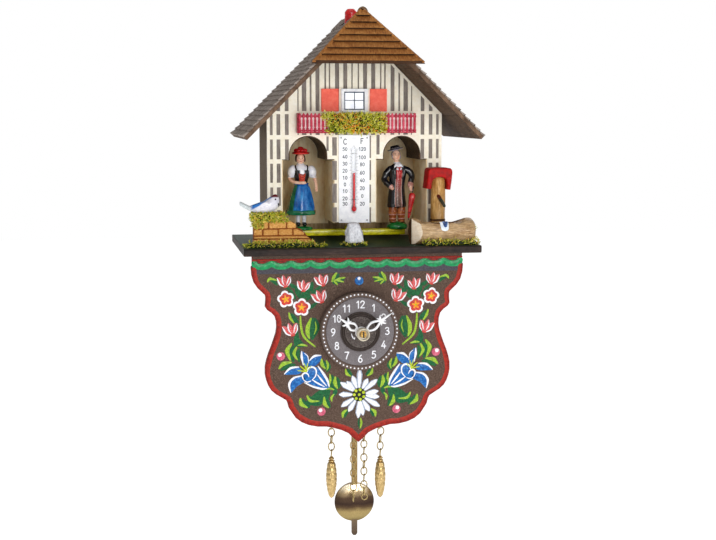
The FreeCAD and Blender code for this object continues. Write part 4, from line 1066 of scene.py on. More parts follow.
def dot(geo, x, z, r, yb, h, mat=0, tone=0.5, n=14, rz=None):
    rz = rz or r
    rings = []
    for k, v in ((1.0, 0.0), (0.95, 0.45), (0.72, 0.82), (0.35, 1.0)):
        rings.append([(x + r * k * math.cos(2 * math.pi * i / n), yb - h * v, z + rz * k * math.sin(2 * math.pi * i / n)) for i in range(n)])
    vs = [p for q in rings for p in q]
    return geo.add(vs, ring_faces(n, 4), mat, tone)


def arc(cx, cz, rx, rz, a0, a1, n=10):
    return [(cx + rx * math.cos(math.radians(a0 + (a1 - a0) * i / n)), cz + rz * math.sin(math.radians(a0 + (a1 - a0) * i / n)))
            for i in range(n + 1)]


GLYPH = {
    "0": [(arc(0.31, 0.5, 0.235, 0.46, 90, 430, 20), True)],
    "1": [([(0.14, 0.76), (0.27, 0.88), (0.36, 0.97), (0.36, 0.5), (0.36, 0.03)], False)],
    "2": [([(0.07, 0.74), (0.11, 0.87), (0.22, 0.96), (0.38, 0.96), (0.51, 0.86), (0.53, 0.70), (0.45, 0.53), (0.30, 0.34), (0.15, 0.17), (0.07, 0.05)], False),
          ([(0.07, 0.04), (0.3, 0.045), (0.57, 0.05)], False)],
    "3": [([(0.08, 0.82), (0.18, 0.94), (0.33, 0.97), (0.47, 0.89), (0.50, 0.74), (0.42, 0.60), (0.26, 0.535)], False),
          ([(0.26, 0.53), (0.44, 0.50), (0.55, 0.38), (0.55, 0.20), (0.44, 0.07), (0.27, 0.03), (0.07, 0.12)], False)],
    "4": [([(0.40, 0.97), (0.24, 0.64), (0.06, 0.29)], False), ([(0.06, 0.28), (0.3, 0.28), (0.61, 0.28)], False),
          ([(0.43, 0.56), (0.43, 0.3), (0.43, 0.02)], False)],
    "5": [([(0.52, 0.95), (0.35, 0.955), (0.18, 0.95)], False), ([(0.18, 0.94), (0.155, 0.75), (0.13, 0.57)], False),
          ([(0.13, 0.56), (0.27, 0.63), (0.43, 0.60), (0.54, 0.46), (0.54, 0.26), (0.44, 0.09), (0.27, 0.03), (0.08, 0.10)], False)],
    "6": [([(0.46, 0.97), (0.30, 0.84), (0.16, 0.62), (0.08, 0.36), (0.12, 0.14), (0.26, 0.03), (0.42, 0.04), (0.54, 0.18), (0.53, 0.38), (0.41, 0.53), (0.24, 0.53), (0.11, 0.40)], False)],
    "7": [([(0.07, 0.93), (0.3, 0.94), (0.57, 0.94)], False), ([(0.57, 0.93), (0.43, 0.62), (0.32, 0.34), (0.25, 0.02)], False)],
    "8": [(arc(0.31, 0.74, 0.19, 0.22, -90, 270, 18), True), (arc(0.31, 0.27, 0.235, 0.25, 90, 450, 20), True)],
    "9": [([(0.16, 0.03), (0.32, 0.16), (0.46, 0.38), (0.54, 0.64), (0.50, 0.86), (0.36, 0.97), (0.20, 0.96), (0.08, 0.82), (0.09, 0.62), (0.21, 0.47), (0.38, 0.47), (0.51, 0.60)], False)],
    "C": [(arc(0.36, 0.5, 0.29, 0.45, 48, 312, 16), False)],
    "F": [([(0.12, 0.02), (0.12, 0.5), (0.12, 0.96)], False), ([(0.12, 0.95), (0.33, 0.955), (0.54, 0.95)], False),
          ([(0.12, 0.52), (0.3, 0.52), (0.46, 0.52)], False)],
}


def write(geo, text, x, z, height, hw, yb, h, mat=0, tone=0.5, gap=0.70):
    """Digits centred on (x, z)."""
    adv = gap * height
    x0 = x - adv * len(text) / 2 + (adv - 0.62 * height) / 2
    for ch in text:
        for pts, closed in GLYPH[ch]:
            if closed:
                pts = pts[:-1]
            stroke(geo, [(x0 + a * height, z + (b - 0.5) * height) for a, b in pts], hw, yb, h, mat, tone, closed=closed, per=3)
        x0 += adv
    return geo


# ----------------------------------------------------------------------------
# thermometer
# ----------------------------------------------------------------------------
soften("thermometer_card", 0.14, [P_CARD], segments=2)
CF = -41.3
g = Geo()
write(g, "C", -5.3, -2.3, 2.9, 0.22, CF, 0.11)
write(g, "F", 3.3, -2.0, 2.7, 0.22, CF, 0.11)
for t_, z in zip(("50", "40", "30", "20", "10", "0", "10", "20", "30"),
                 (-6.0, -9.77, -13.3, -16.85, -20.35, -23.7, -27.05, -30.75, -33.4)):
    write(g, t_, -5.35, z, 1.8, 0.16, CF, 0.10, gap=0.74)
for t_, z in zip(("120", "100", "80", "60", "40", "20", "0", "20"),
                 (-6.0, -10.15, -13.7, -17.85, -21.7, -25.65, -29.6, -33.5)):
    write(g, t_, 3.45, z, 1.8, 0.16, CF, 0.10, gap=0.72)
z = -6.0
k = 0
while z > -33.6:
    L = 1.25 if k % 5 == 0 else 0.75
    stroke(g, [(-2.55 - L + 0.75, z), (-2.2, z), (-1.95, z)], 0.075, CF, 0.08)
    stroke(g, [(0.25, z), (0.5, z), (1.0 + L - 0.75, z)], 0.075, CF, 0.08)
    z -= 0.72
    k += 1
g.build("scale_marks", [P_INK], smooth=True, angle=60)
TX, TY = -0.9, -42.35
lathe([(0, -38.2), (0.5, -37.9), (0.95, -37.2), (1.25, -36.5), (1.35, -35.9), (1.2, -35.2), (1.02, -34.4), (0.93, -33.0), (0.92, -20.0),
       (0.92, -6.0), (0.85, -5.2), (0.5, -4.6), (0.2, -4.35), (0, -4.25)], TX, TY, 0, n=28).build(
    "thermometer_glass", [G_TUBE], smooth=True, angle=70, replaces=("thermometer_tube",), slot="tube_glass")
lathe([(0, -37.4), (0.5, -37.2), (0.92, -36.6), (1.02, -36.0), (0.9, -35.4), (0.55, -34.9), (0.42, -34.2), (0.42, -25.0), (0.42, -18.1),
       (0.3, -17.95), (0, -17.9)], TX, TY, 0, n=24).build(
    "thermometer_spirit", [P_LIQ], smooth=True, angle=70, replaces=("thermometer_liquid",), slot="red_liquid")
g = Geo()
for z in (-8.2, -31.2):
    tube([(TX - 1.5, -41.2, z), (TX - 1.2, -42.3, z), (TX - 0.75, -43.1, z), (TX, -43.42, z), (TX + 0.75, -43.1, z),
          (TX + 1.2, -42.3, z), (TX + 1.5, -41.2, z)], 0.13, n=8, geo=g)
g.build("tube_clips", [M_STEEL], smooth=True)
g = Geo()
for x, z in ((-7.2, -0.4), (5.9, -0.4), (-7.2, -41.7), (5.9, -41.7)):
    lathe([(0, -0.28), (0.25, -0.26), (0.42, -0.14), (0.45, 0.05), (0, 0.08)], x, CF, z, axis="Y", n=16, geo=g)
g.build("card_pins", [M_STEEL], smooth=True)

# ----------------------------------------------------------------------------
# garden wall
# ----------------------------------------------------------------------------
def rbox(x0, x1, y0, y1, z0, z1, r, geo, mat=0, tone=0.5, cuts=5, amp=0.12, freq=0.6, seed=0.0, fn=None):
    bm = bmesh.new()
    bmesh.ops.create_cube(bm, size=2.0)
    bmesh.ops.subdivide_edges(bm, edges=bm.edges[:], cuts=cuts, use_grid_fill=True)
    cx, cy, cz = (x0 + x1) / 2, (y0 + y1) / 2, (z0 + z1) / 2
    hx, hy, hz = (x1 - x0) / 2, (y1 - y0) / 2, (z1 - z0) / 2
    r = min(r, hx * 0.95, hy * 0.95, hz * 0.95)
    vs = []
    for v in bm.verts:
        p = Vector((v.co.x * hx, v.co.y * hy, v.co.z * hz))
        q = Vector((max(-hx + r, min(hx - r, p.x)), max(-hy + r, min(hy - r, p.y)), max(-hz + r, min(hz - r, p.z))))
        d = p - q
        if d.length > 1e-9:
            p = q + d.normalized() * r
        p += Vector((cx, cy, cz))
        if fn:
            p = Vector(fn(*p))
        nz = noise.noise_vector(Vector((p.x * freq + seed, p.y * freq, p.z * freq)))
        p += nz * amp
        vs.append(tuple(p))
    bm.verts.index_update()
    fs = [tuple(v.index for v in f.verts) for f in bm.faces]
    bm.free()
    geo.add(vs, fs, mat, tone)
    return geo


def speckled(name, stops, rough=0.75, scale=1.2, bump=0.5, bd=0.15, spots=None, sscale=2.6, tone=True):
    M = Mat(name, rough=rough)
    n = M.noise(M.vec(warp=0.4), scale=scale, detail=6, rough=0.65)
    col = M.ramp(n, stops)
    if spots:
        v = M.voronoi(M.vec(), scale=sscale, out="Distance")
        col = M.mix(M.remap(v, 0.12, 0.3, 0.75, 0.0), col, spots)
    if tone:
        t = M.tone()
        col = M.mix(M.remap(t, 0.0, 0.5, 0.4, 0.0), col, stops[0][1])
        col = M.mix(M.remap(t, 0.5, 1.0, 0.0, 0.4), col, stops[-1][1])
    M.color(col)
    M.bump(n, bump, bd)
    M.bump(M.noise(M.vec(), scale=4.0, detail=3), bump * 0.6, bd * 0.5)
    M.rough(n, rough - 0.12, min(1.0, rough + 0.12))
    return M.m


S_HOOD = paint("hood_red", c(168, 8, 6), rough=0.5, var=0.1, dark=c(126, 4, 4), light=c(186, 16, 12), bump=0.12, scale=0.5)
S_BRICK = speckled("brick", [(0.3, c(172, 112, 48)), (0.5, c(210, 154, 82)), (0.72, c(234, 190, 122))], spots=c(186, 122, 58))
S_MORTAR = speckled("mortar", [(0.3, c(92, 44, 14)), (0.5, c(130, 70, 22)), (0.72, c(156, 92, 40))], tone=False)
S_STONE = speckled("stone", [(0.3, c(170, 172, 180)), (0.5, c(218, 219, 224)), (0.7, c(242, 242, 244))], rough=0.7, spots=c(198, 200, 214))
S_LOG = speckled("log_bark", [(0.28, c(126, 88, 50)), (0.45, c(186, 150, 108)), (0.6, c(214, 184, 144)), (0.75, c(232, 208, 172))], rough=0.5,
                 scale=0.9, spots=c(158, 104, 62), sscale=1.5, tone=True)
S_LOGB = wood("log_streak", c(98, 66, 34), c(174, 136, 90), c(226, 198, 156), grain=(0.22, 1.1, 1.1), scale=1.5, rough=0.42, bump=0.55, coat=0.2, speck=0.45)
# very dark bark; on the log's left end it also serves as painted shade
S_DARK_BARK_AND_SHADE = speckled("dark_bark", [(0.3, c(40, 22, 10)), (0.5, c(70, 42, 20)), (0.7, c(104, 68, 38))], tone=False)
M_ = Mat("cut_wood", rough=0.6)
_w = M_.wave(M_.vec(0.4, 0.3, 1.0, rot=(8, 0, 0)), scale=0.55, dist=2.6, detail=3, direction="Z")
_n = M_.noise(M_.vec(), scale=0.8, detail=5)
_c = M_.ramp(_w, [(0.25, c(214, 184, 146)), (0.5, c(244, 230, 204)), (0.8, c(253, 246, 232))])
M_.color(M_.mix(M_.remap(_n, 0.4, 0.7, 0.0, 0.4), _c, c(212, 186, 156)))
M_.bump(_w, 0.5, 0.12).bump(_n, 0.3, 0.08)
S_CUT = M_.m

g = Geo()
rows = [  # z0, z1, joints
    (-52.7, -49.05, [-53.6, -45.9, -38.75, -31.75, -22.9]),
    (-48.6, -47.45, [-53.3, -26.0]),
    (-47.05, -44.1, [-53.3, -48.75, -41.2, -34.05, -28.4]),
    (-43.65, -40.25, [-53.4, -45.85, -37.15, -32.2]),
]
for j, (z0, z1, xs) in enumerate(rows):
    for i, (a, b_) in enumerate(zip(xs, xs[1:])):
        lastb = i == len(xs) - 2
        fn = None
        if lastb:
            lim = {0: 0.72, 1: 0.55, 2: 0.40, 3: 0.62}[j]
            x_s = {0: -27.5, 1: -29.0, 2: -32.0, 3: -35.2}[j]
            def fn(x, y_, z, z0=z0, b_=b_, lim=lim, x_s=x_s):
                k = max(0.0, (x - x_s) / (b_ - x_s))
                return (x, y_, z0 + (z - z0) * (1 - (1 - lim) * k))
        rbox(a + 0.3, b_ - 0.3, -61.05 + R.uniform(-0.15, 0.2), -55.0, z0, z1 + R.uniform(-0.1, 0.1), 0.55, g, 0,
             min(1, max(0, 0.5 + R.gauss(0, 0.2))), seed=i * 3.1 + j * 7.7, fn=fn, cuts=7 if j != 1 else 12)
g.build("wall_bricks", [S_BRICK], smooth=True, angle=60, replaces=("garden_wall",), slot="brick_paint")
g = Geo()
prism([(-53.2, -52.75), (-53.2, -40.7), (-33.6, -40.8), (-32.8, -43.3), (-29.6, -44.4), (-26.6, -47.9), (-24.4, -49.6), (-23.6, -52.75)][::-1],
      -60.45, -55.3, geo=g)
g.build("wall_mortar", [S_MORTAR], bevel=0.3, segments=2)

# moss on and round the wall
core("moss_core_top", -53.9, -38.2, -61.2, -54.8, -40.0, -36.7, nx=20, seed=5.1, amp=0.5, replaces=("garden_moss",), slot="moss_foam")
g = Geo()
tuft(g, 520, lambda: (R.uniform(-54.0, -37.4), R.uniform(-61.4, -60.3), R.uniform(-40.2, -36.6)),
     lambda p: ((p[0] + 46) * 0.03, -1, (p[2] + 38.2) * 0.25), L=(1.2, 2.3), w=(0.17, 0.30), tones=(0.6, 0.22))
tuft(g, 150, lambda: (R.uniform(-54.2, -48.5), R.uniform(-61.6, -60.8), R.uniform(-43.2, -39.6)),
     lambda p: (-0.1, -1, -0.2), L=(1.2, 2.2), w=(0.17, 0.30), tones=(0.62, 0.22))
tuft(g, 260, lambda: (R.uniform(-54.0, -38.2), R.uniform(-60.5, -55.0), -37.0 + R.uniform(0.0, 0.6) + max(0, (R.random() - 0.5)) * 0.6),
     lambda p: (0, -0.1, 1), L=(0.9, 1.7), w=(0.16, 0.28), tones=(0.55, 0.22))
tuft(g, 60, lambda: (-54.0, R.uniform(-60.8, -55.2), R.uniform(-39.9, -37.0)), lambda p: (-1, -0.2, 0.1), L=(0.9, 1.6), w=(0.16, 0.26), tones=(0.5, 0.2))
tuft(g, 120, lambda: (R.uniform(-54.0, -38.2), -55.2, R.uniform(-39.9, -37.0)), lambda p: (0, 1, 0.1), L=(0.8, 1.5), w=(0.16, 0.26), tones=(0.5, 0.2))
tuft(g, 40, lambda: (R.uniform(-38.6, -36.4), R.uniform(-61.2, -60.0), R.uniform(-40.3, -38.4)), lambda p: (0.6, -1, 0.3), L=(0.8, 1.5), w=(0.14, 0.24), tones=(0.6, 0.2))
# skirt of moss along the foot of the wall
for n_, x0, x1, lo, hi in ((620, -57.6, -18.6, -52.75, -50.2),):
    tuft(g, n_, lambda: (lambda x: (x, R.uniform(-64.6, -61.4), -52.7 + (2.9 if -56 < x < -24 else 1.3) * R.random() ** 1.4))(R.uniform(x0, x1)),
         lambda p: (0, -0.8, 0.9), L=(1.0, 2.1), w=(0.16, 0.28), tones=(0.5, 0.26))
tuft(g, 90, lambda: (R.uniform(-57.8, -53.4), R.uniform(-63.5, -56.0), R.uniform(-52.7, -51.6)), lambda p: (-0.4, -0.3, 1), L=(0.9, 1.7),
     w=(0.16, 0.26), tones=(0.5, 0.25))
tuft(g, 70, lambda: (R.uniform(-24.6, -17.6), R.uniform(-62.5, -57.0), R.uniform(-52.7, -52.2)), lambda p: (0.3, -0.2, 1), L=(0.8, 1.4),
     w=(0.15, 0.24), tones=(0.35, 0.25))
# round the stone
tuft(g, 190, lambda: (lambda a, r: (-3.6 + r * math.cos(a), -58.9 + 0.9 * r * math.sin(a), R.uniform(-52.7, -51.4)))(R.uniform(0, 6.283), R.uniform(4.0, 6.6)),
     lambda p: ((p[0] + 3.6) * 0.1, (p[1] + 58.9) * 0.1, 1), L=(0.9, 1.8), w=(0.15, 0.25), tones=(0.55, 0.25))
# foot of the log
tuft(g, 420, lambda: (R.uniform(29.5, 58.2), R.uniform(-66.2, -63.3), -52.7 + 2.7 * R.random() ** 1.5), lambda p: (0, -0.7, 1),
     L=(0.9, 1.9), w=(0.15, 0.27), tones=(0.55, 0.27))
tuft(g, 120, lambda: (R.uniform(55.0, 58.4), R.uniform(-64.5, -53.0), -52.7 + 3.6 * R.random() ** 1.5), lambda p: (1, -0.5, 0.6),
     L=(0.8, 1.6), w=(0.15, 0.25), tones=(0.6, 0.22))
tuft(g, 60, lambda: (R.uniform(54.6, 57.9), R.uniform(-61.5, -54.0), -44.5 + R.uniform(-1.5, 1.5)), lambda p: (1, -0.6, 0.3),
     L=(0.6, 1.2), w=(0.12, 0.2), tones=(0.5, 0.22))
g.v = [(x, y_, max(z, -52.78)) for x, y_, z in g.v]
# all tones lifted: painted light that makes up for the clump's self-shadow
g.t = [min(1.0, t * 1.12 + 0.10) for t in g.t]
g.build("garden_sprigs", [L_MOSS])
core("moss_core_wall", -57.0, -19.4, -64.2, -60.6, -52.78, -50.9, nx=30, seed=8.3, amp=0.35)
core("moss_core_log", 30.4, 57.8, -65.8, -62.6, -52.78, -51.0, nx=26, seed=2.9, amp=0.35)
g = Geo()
lathe([(0, -52.78), (6.2, -52.78), (5.9, -52.1), (4.9, -51.3), (3.0, -50.9), (0, -50.8)], -3.6, -58.7, 0, n=36, geo=g, tone=0.3)
jitter(g, 0.3, 0.7, 4.0)
g.v = [(x, y_, max(z, -52.78)) for x, y_, z in g.v]
g.build("moss_core_stone", [L_CORE_SHADE], smooth=True, angle=60)

# stone
g = Geo()
rings = []
for z, r in ((-51.6, 4.9), (-50.4, 5.0), (-48.6, 4.75), (-46.6, 4.35), (-44.8, 3.9), (-43.4, 3.45), (-42.4, 2.9), (-41.8, 2.1), (-41.5, 1.0)):
    ring = []
    for i in range(30):
        a = 2 * math.pi * i / 30
        k = 0.97 + 0.12 * math.cos(3 * a + 0.6) + 0.06 * math.cos(5 * a + z * 0.2)
        ring.append((-3.75 - (z + 47) * 0.05 + r * k * math.cos(a), -58.6 + r * 0.9 * k * math.sin(a), z + 0.12 * r * math.sin(2 * a)))
    rings.append(ring)
loft(rings, geo=g)
jitter(g, 0.9, 0.33, 1.3)
jitter(g, 0.45, 0.75, 2.3)
g.v = [(min(1.05, max(-8.55, x)), min(-53.9, max(-63.3, y_)), max(z, -52.2)) for x, y_, z in g.v]
g.build("stone", [S_STONE], smooth=True, angle=20, replaces=("garden_stone",), slot="stone_grey")

# ----------------------------------------------------------------------------
# bird
# ----------------------------------------------------------------------------
st = [(-59.7, -31.5, 0.9, 0.75), (-59.3, -31.65, 1.55, 1.2), (-57.6, -32.55, 1.35, 1.15), (-55.4, -33.75, 1.4, 1.25),
      (-53.2, -34.45, 1.95, 1.4), (-51.2, -34.55, 2.6, 1.75), (-49.6, -33.95, 3.0, 2.4), (-48.0, -33.35, 3.15, 2.95),
      (-46.4, -32.85, 3.2, 3.35), (-45.0, -32.3, 3.1, 3.75), (-43.7, -31.6, 2.85, 4.05), (-42.5, -31.0, 2.45, 4.0),
      (-41.6, -30.75, 1.95, 3.5), (-40.95, -30.6, 1.35, 2.7), (-40.5, -30.5, 0.7, 1.6), (-40.3, -30.45, 0.2, 0.6)]
n = 28
rings = [[(x, -58.2 + ry * math.cos(2 * math.pi * i / n), cz + rz * math.sin(2 * math.pi * i / n)) for i in range(n)] for x, cz, ry, rz in st]
M = Mat("bird_glaze", rough=0.28, coat=0.5)
v = M.vec(warp=0.5, warp_scale=260)
sx, sz = M.sep(v, "X"), M.sep(v, "Z")
line = M.math("ADD", M.math("ADD", sz, 34.2 - 0.25), M.math("MULTIPLY", M.math("ADD", sx, 52.9), -0.60))
blue = M.math("MULTIPLY", M.remap(line, -0.15, 0.45, 0.0, 1.0), M.remap(sx, -54.6, -53.2, 0.0, 1.0))
blue = M.math("MULTIPLY", blue, M.remap(sx, -43.9, -43.1, 1.0, 0.0))
shade = M.noise(M.vec(), scale=0.35, detail=3)
base = M.ramp(shade, [(0.3, c(206, 204, 216)), (0.6, c(232, 230, 236)), (0.8, c(248, 246, 248))])
tailc = M.mix(M.remap(sx, -55.5, -52.5, 1.0, 0.0), base, c(196, 204, 206))
col = M.mix(blue, tailc, c(10, 102, 180))
cap = M.math("MULTIPLY", M.remap(sz, -28.6, -28.0, 0.0, 1.0), M.remap(sx, -45.4, -44.6, 0.0, 1.0))
col = M.mix(cap, col, c(96, 22, 30))
M.color(col)
M.bump(shade, 0.15, 0.1)
loft(rings).build("bird_body", [M.m], smooth=True, angle=80, subsurf=1, replaces=("bird",), slot="bird_paint")
g = Geo()
for sg in (-1, 1):
    # wings: flat teardrops laid along the flanks
    rings = []
    for x, cz, th, hh in ((-54.6, -33.0, 0.15, 0.25), (-52.6, -32.9, 0.42, 0.8), (-50.2, -32.5, 0.6, 1.2), (-47.8, -31.9, 0.62, 1.35), (-46.2, -31.6, 0.45, 1.0), (-45.6, -31.5, 0.15, 0.4)):
        yc = {-54.6: 1.2, -52.6: 1.85, -50.2: 2.65, -47.8: 2.95, -46.2: 2.95, -45.6: 2.9}[x]
        rings.append([(x, -58.2 + sg * (yc + th * math.cos(2 * math.pi * i / 12)), cz + hh * math.sin(2 * math.pi * i / 12)) for i in range(12)])
    loft(rings, geo=g)
g.build("bird_wings", [M.m], smooth=True, angle=80, subsurf=1)
P_BLACK = paint("lacquer_black", c(14, 14, 20), rough=0.18, var=0.2, dark=c(4, 4, 8), light=c(34, 36, 48), coat=0.8, bump=0.15)
g = Geo()
for sg in (-1, 1):
    egg(-42.45, -58.2 + sg * 2.35, -29.55, 0.42, 0.32, 0.42, n=14, m=10, geo=g)
tube([(-41.1, -59.4, -31.6), (-40.75, -59.75, -32.4), (-40.9, -60.0, -33.4)], [0.42, 0.32, 0.08], n=10, geo=g)
g.build("bird_eyes", [P_BLACK], smooth=True)

# ----------------------------------------------------------------------------
# well: log trough, post, hood, spout, water
# ----------------------------------------------------------------------------
LOG_Y, LOG_Z, LOG_R = -58.0, -46.35, 6.45
g = Geo()
rings = []
n = 64
for i in range(56):
    x = 24.0 + i * 0.6
    x = min(x, 57.75)
    endk = 1.0
    if x > 54.5:
        q = (x - 54.5) / 3.3
        endk = math.sqrt(max(0.0, 1 - q * q * 0.92))
    f1 = min(1.0, max(0.0, (x - 28.4) / 8.0))
    f2 = 1 - min(1.0, max(0.0, (x - 42.4) / 9.6))
    f = min(f1, f2)
    ring = []
    for k in range(n):
        a = 2 * math.pi * k / n
        r = LOG_R * endk
        y_, z = LOG_Y + r * math.cos(a), LOG_Z + r * math.sin(a)
        if z > LOG_Z:
            dy = y_ - LOG_Y
            if abs(dy) < 4.7:
                deep = -41.75 - math.sqrt(4.7 ** 2 - dy ** 2)
                z = z * (1 - f) + min(z, deep) * f
        if z < -52.76:
            z = -52.76
        ring.append((x, y_, z))
    rings.append(ring)
    if x >= 57.75:
        break
loft(rings, geo=g)
out = []
for x, y_, z in g.v:
    d = noise.noise_vector(Vector((x * 0.16, y_ * 0.5, z * 0.5))) * 0.42 + noise.noise_vector(Vector((x * 0.6, y_ * 1.3, z * 1.3))) * 0.16
    zz = max(-52.78, z + d.z)
    out.append((x + d.x * 0.3 * (x < 57), y_ + d.y, zz))
g.v = out
# the straight cut at the left end takes the dark bark as painted shade; the slanted cut takes the pale cut wood
g.build("log_body", [S_LOGB, S_CUT, S_DARK_BARK_AND_SHADE], smooth=True, angle=50, cuts=[((25.1, 0, 0), (-1, 0, 0)), ((25.1, -59.5, 0), (-0.73, -0.68, 0))], cut_mat=(2, 1),
        replaces=("log_trough",), slot="log_wood")
# dark lip along the trough's front edge
rim = smooth_path([(33.0, -62.6, -41.0), (36.5, -62.9, -42.0), (42.4, -62.9, -42.05), (46.0, -62.4, -41.4), (49.0, -61.6, -40.6), (51.5, -60.6, -40.05)], 6)
g = Geo()
tube(rim, [0.16 + 0.14 * math.sin(math.pi * i / (len(rim) - 1)) for i in range(len(rim))], n=10, geo=g)
g.build("log_lip", [S_DARK_BARK_AND_SHADE], smooth=True, angle=60)
# water in the trough and over the front edge
P_WATER = paint("water_blue", c(50, 88, 150), rough=0.12, var=0.25, dark=c(20, 44, 96), light=c(120, 160, 210), coat=0.7)
P_FROTH = paint("water_white", c(240, 246, 252), rough=0.3, var=0.04, dark=c(196, 212, 232), light=c(255, 255, 255), coat=0.5)


def tongue(name, x0, x1, x2, x3, phi0, phi1, rad, th, m):
    """Sheet that follows the log's front; x0..x1 at the top, x2..x3 at the foot."""
    rings = []
    N = 16
    for i in range(N + 1):
        t = i / N
        ph = math.radians(phi0 + (phi1 - phi0) * t)
        k = 1.0 if t < 0.75 else math.sqrt(max(0.02, 1 - ((t - 0.75) / 0.25) ** 2))
        a, b_ = x0 + (x2 - x0) * t, x1 + (x3 - x1) * t
        mid = (a + b_) / 2
        a, b_ = mid + (a - mid) * k, mid + (b_ - mid) * k
        ring = []
        for u in range(9):
            x = a + (b_ - a) * u / 8
            bulge = th * (1 - (2 * u / 8 - 1) ** 2) + 0.05
            ring.append((x, LOG_Y - (rad + bulge) * math.sin(ph), LOG_Z + (rad + bulge) * math.cos(ph)))
        for u in range(8, -1, -1):
            x = a + (b_ - a) * u / 8
            ring.append((x, LOG_Y - (rad - 0.35) * math.sin(ph), LOG_Z + (rad - 0.35) * math.cos(ph)))
        rings.append(ring)
    loft(rings).build(name, [m], smooth=True, angle=60)


tongue("spill_white", 38.5, 43.0, 39.2, 42.6, 44, 86, LOG_R + 0.22, 0.25, P_FROTH)
tongue("spill_blue", 39.8, 42.6, 40.3, 42.0, 43, 70, LOG_R + 0.42, 0.22, P_WATER)
g = Geo()
rings = []
for i in range(20):
    x = 32.6 + i * 0.9
    ring = []
    hw = 3.3 * math.sqrt(max(0.05, 1 - ((i - 9.5) / 10.2) ** 2))
    for u in range(8):
        ring.append((x, LOG_Y - hw + 2 * hw * u / 7, -44.35 + 0.05 * math.sin(i * 1.3 + u)))
    for u in range(7, -1, -1):
        ring.append((x, LOG_Y - hw + 2 * hw * u / 7, -45.4))
    rings.append(ring)
loft(rings).build("trough_water", [P_WATER], smooth=True, angle=50)

g = Geo()
rings = []
for i in range(30):
    z = -52.6 + i * (33.8 / 29)
    q = {27: 0.97, 28: 0.84, 29: 0.55}.get(i, 1.0)
    rings.append(ell(41.1, -47.2, z, 3.62 * q, 3.62 * q, n=44, fold=0.012, nf=5, ph=z * 0.15))
loft(rings, geo=g)
out = []
for x, y_, z in g.v:
    d = noise.noise_vector(Vector((x * 0.7, y_ * 0.7, z * 0.14))) * 0.22
    out.append((x + d.x, y_ + d.y, z))
g.v = out
g.build("post", [W_POST], smooth=True, angle=50, replaces=("well_post",), slot="post_wood")

g = Geo()
lathe([(3.3, -42.1), (3.72, -42.05), (3.86, -41.7), (3.84, -41.3), (3.66, -41.0), (3.3, -41.0)], 41.1, -47.2, 0, n=44, geo=g)
jitter(g, 0.06, 0.8, 3.0)
g.build("post_ring", [S_DARK_BARK_AND_SHADE], smooth=True, angle=60)

outer = [(34.1, -25.6), (34.7, -21.4), (35.0, -17.8), (35.2, -16.5), (35.7, -15.75), (36.8, -15.35), (41.0, -15.2), (45.6, -15.35),
         (46.8, -15.7), (47.35, -16.5), (47.4, -18.0), (47.0, -22.0), (46.4, -26.2)]
o2 = [(v.x, v.z) for v in smooth_path([(a, 0, b_) for a, b_ in outer], 4)]
inner = [(36.6, -25.7), (36.9, -23.0), (37.6, -21.2), (39.0, -20.2), (41.0, -19.9), (43.0, -20.2), (44.2, -21.2), (44.8, -23.0), (44.5, -26.1)]
i2 = [(v.x, v.z) for v in smooth_path([(a, 0, b_) for a, b_ in inner], 5)]


def even(path, m):
    """m points at even steps along a path."""
    L = [0.0]
    for p, q in zip(path, path[1:]):
        L.append(L[-1] + math.hypot(q[0] - p[0], q[1] - p[1]))
    out_, j = [], 0
    for i in range(m):
        d = L[-1] * i / (m - 1)
        while j < len(L) - 2 and L[j + 1] < d:
            j += 1
        f = (d - L[j]) / max(1e-9, L[j + 1] - L[j])
        out_.append((path[j][0] + (path[j + 1][0] - path[j][0]) * f, path[j][1] + (path[j + 1][1] - path[j][1]) * f))
    return out_


NH = 41
eo, ei = even(o2, NH), even(i2, NH)
vs, fs = [], []
ys = [-52.6, -52.4, -51.9, -47.5, -43.1, -42.6, -42.4]
for j, yy in enumerate(ys):
    k = {0: 0.16, 1: 0.05, 5: 0.05, 6: 0.16}.get(j, 0.0)
    wob = 0.08 * math.sin(yy * 0.9)
    vs += [(a + (c_ - a) * k + wob, yy, b_ + (d_ - b_) * k) for (a, b_), (c_, d_) in zip(eo, ei)]
    vs += [(c_ + (a - c_) * k + wob, yy, d_ + (b_ - d_) * k) for (a, b_), (c_, d_) in zip(eo, ei)]
for j in range(len(ys) - 1):
    p, q = j * 2 * NH, (j + 1) * 2 * NH
    for i in range(NH - 1):
        fs += [(p + i, p + i + 1, q + i + 1, q + i), (p + NH + i + 1, p + NH + i, q + NH + i, q + NH + i + 1)]
    fs += [(p + NH, p, q, q + NH), (p + NH - 1, p + 2 * NH - 1, q + 2 * NH - 1, q + NH - 1)]
for p, flip in ((0, False), ((len(ys) - 1) * 2 * NH, True)):
    for i in range(NH - 1):
        f = (p + i, p + NH + i, p + NH + i + 1, p + i + 1)
        fs.append(f[::-1] if flip else f)
g = Geo()
g.add(vs, fs)
jitter(g, 0.08, 0.5, 9.0)
g.build("hood", [S_HOOD], smooth=True, angle=42, replaces=("well_hood",), slot="red_paint")

M = Mat("spout_paint", rough=0.35, coat=0.4)
t = M.tone()
nz = M.noise(M.vec(), scale=1.2, detail=3)
M.color(M.mix(M.remap(nz, 0.4, 0.7, 0, 0.35), M.ramp(t, [(0.0, c(96, 26, 12)), (0.45, c(66, 22, 14)), (0.62, c(22, 52, 34)), (1.0, c(14, 44, 28))]), c(120, 60, 30)))
M.bump(nz, 0.3, 0.08)
pth = smooth_path([(40.6, -50.2, -29.2), (41.3, -51.9, -30.9), (42.1, -53.6, -32.6), (42.7, -54.9, -34.1)], 5)
g = Geo()
tube(pth, [0.95 - 0.012 * i for i in range(len(pth))], n=14, geo=g)
nn = len(g.v)
g.t = [min(1.0, max(0.0, (p[1] + 50.2) / -4.7)) for p in g.v]
g.build("spout", [M.m], smooth=True, angle=60, replaces=("well_spout",), slot="spout_wood")

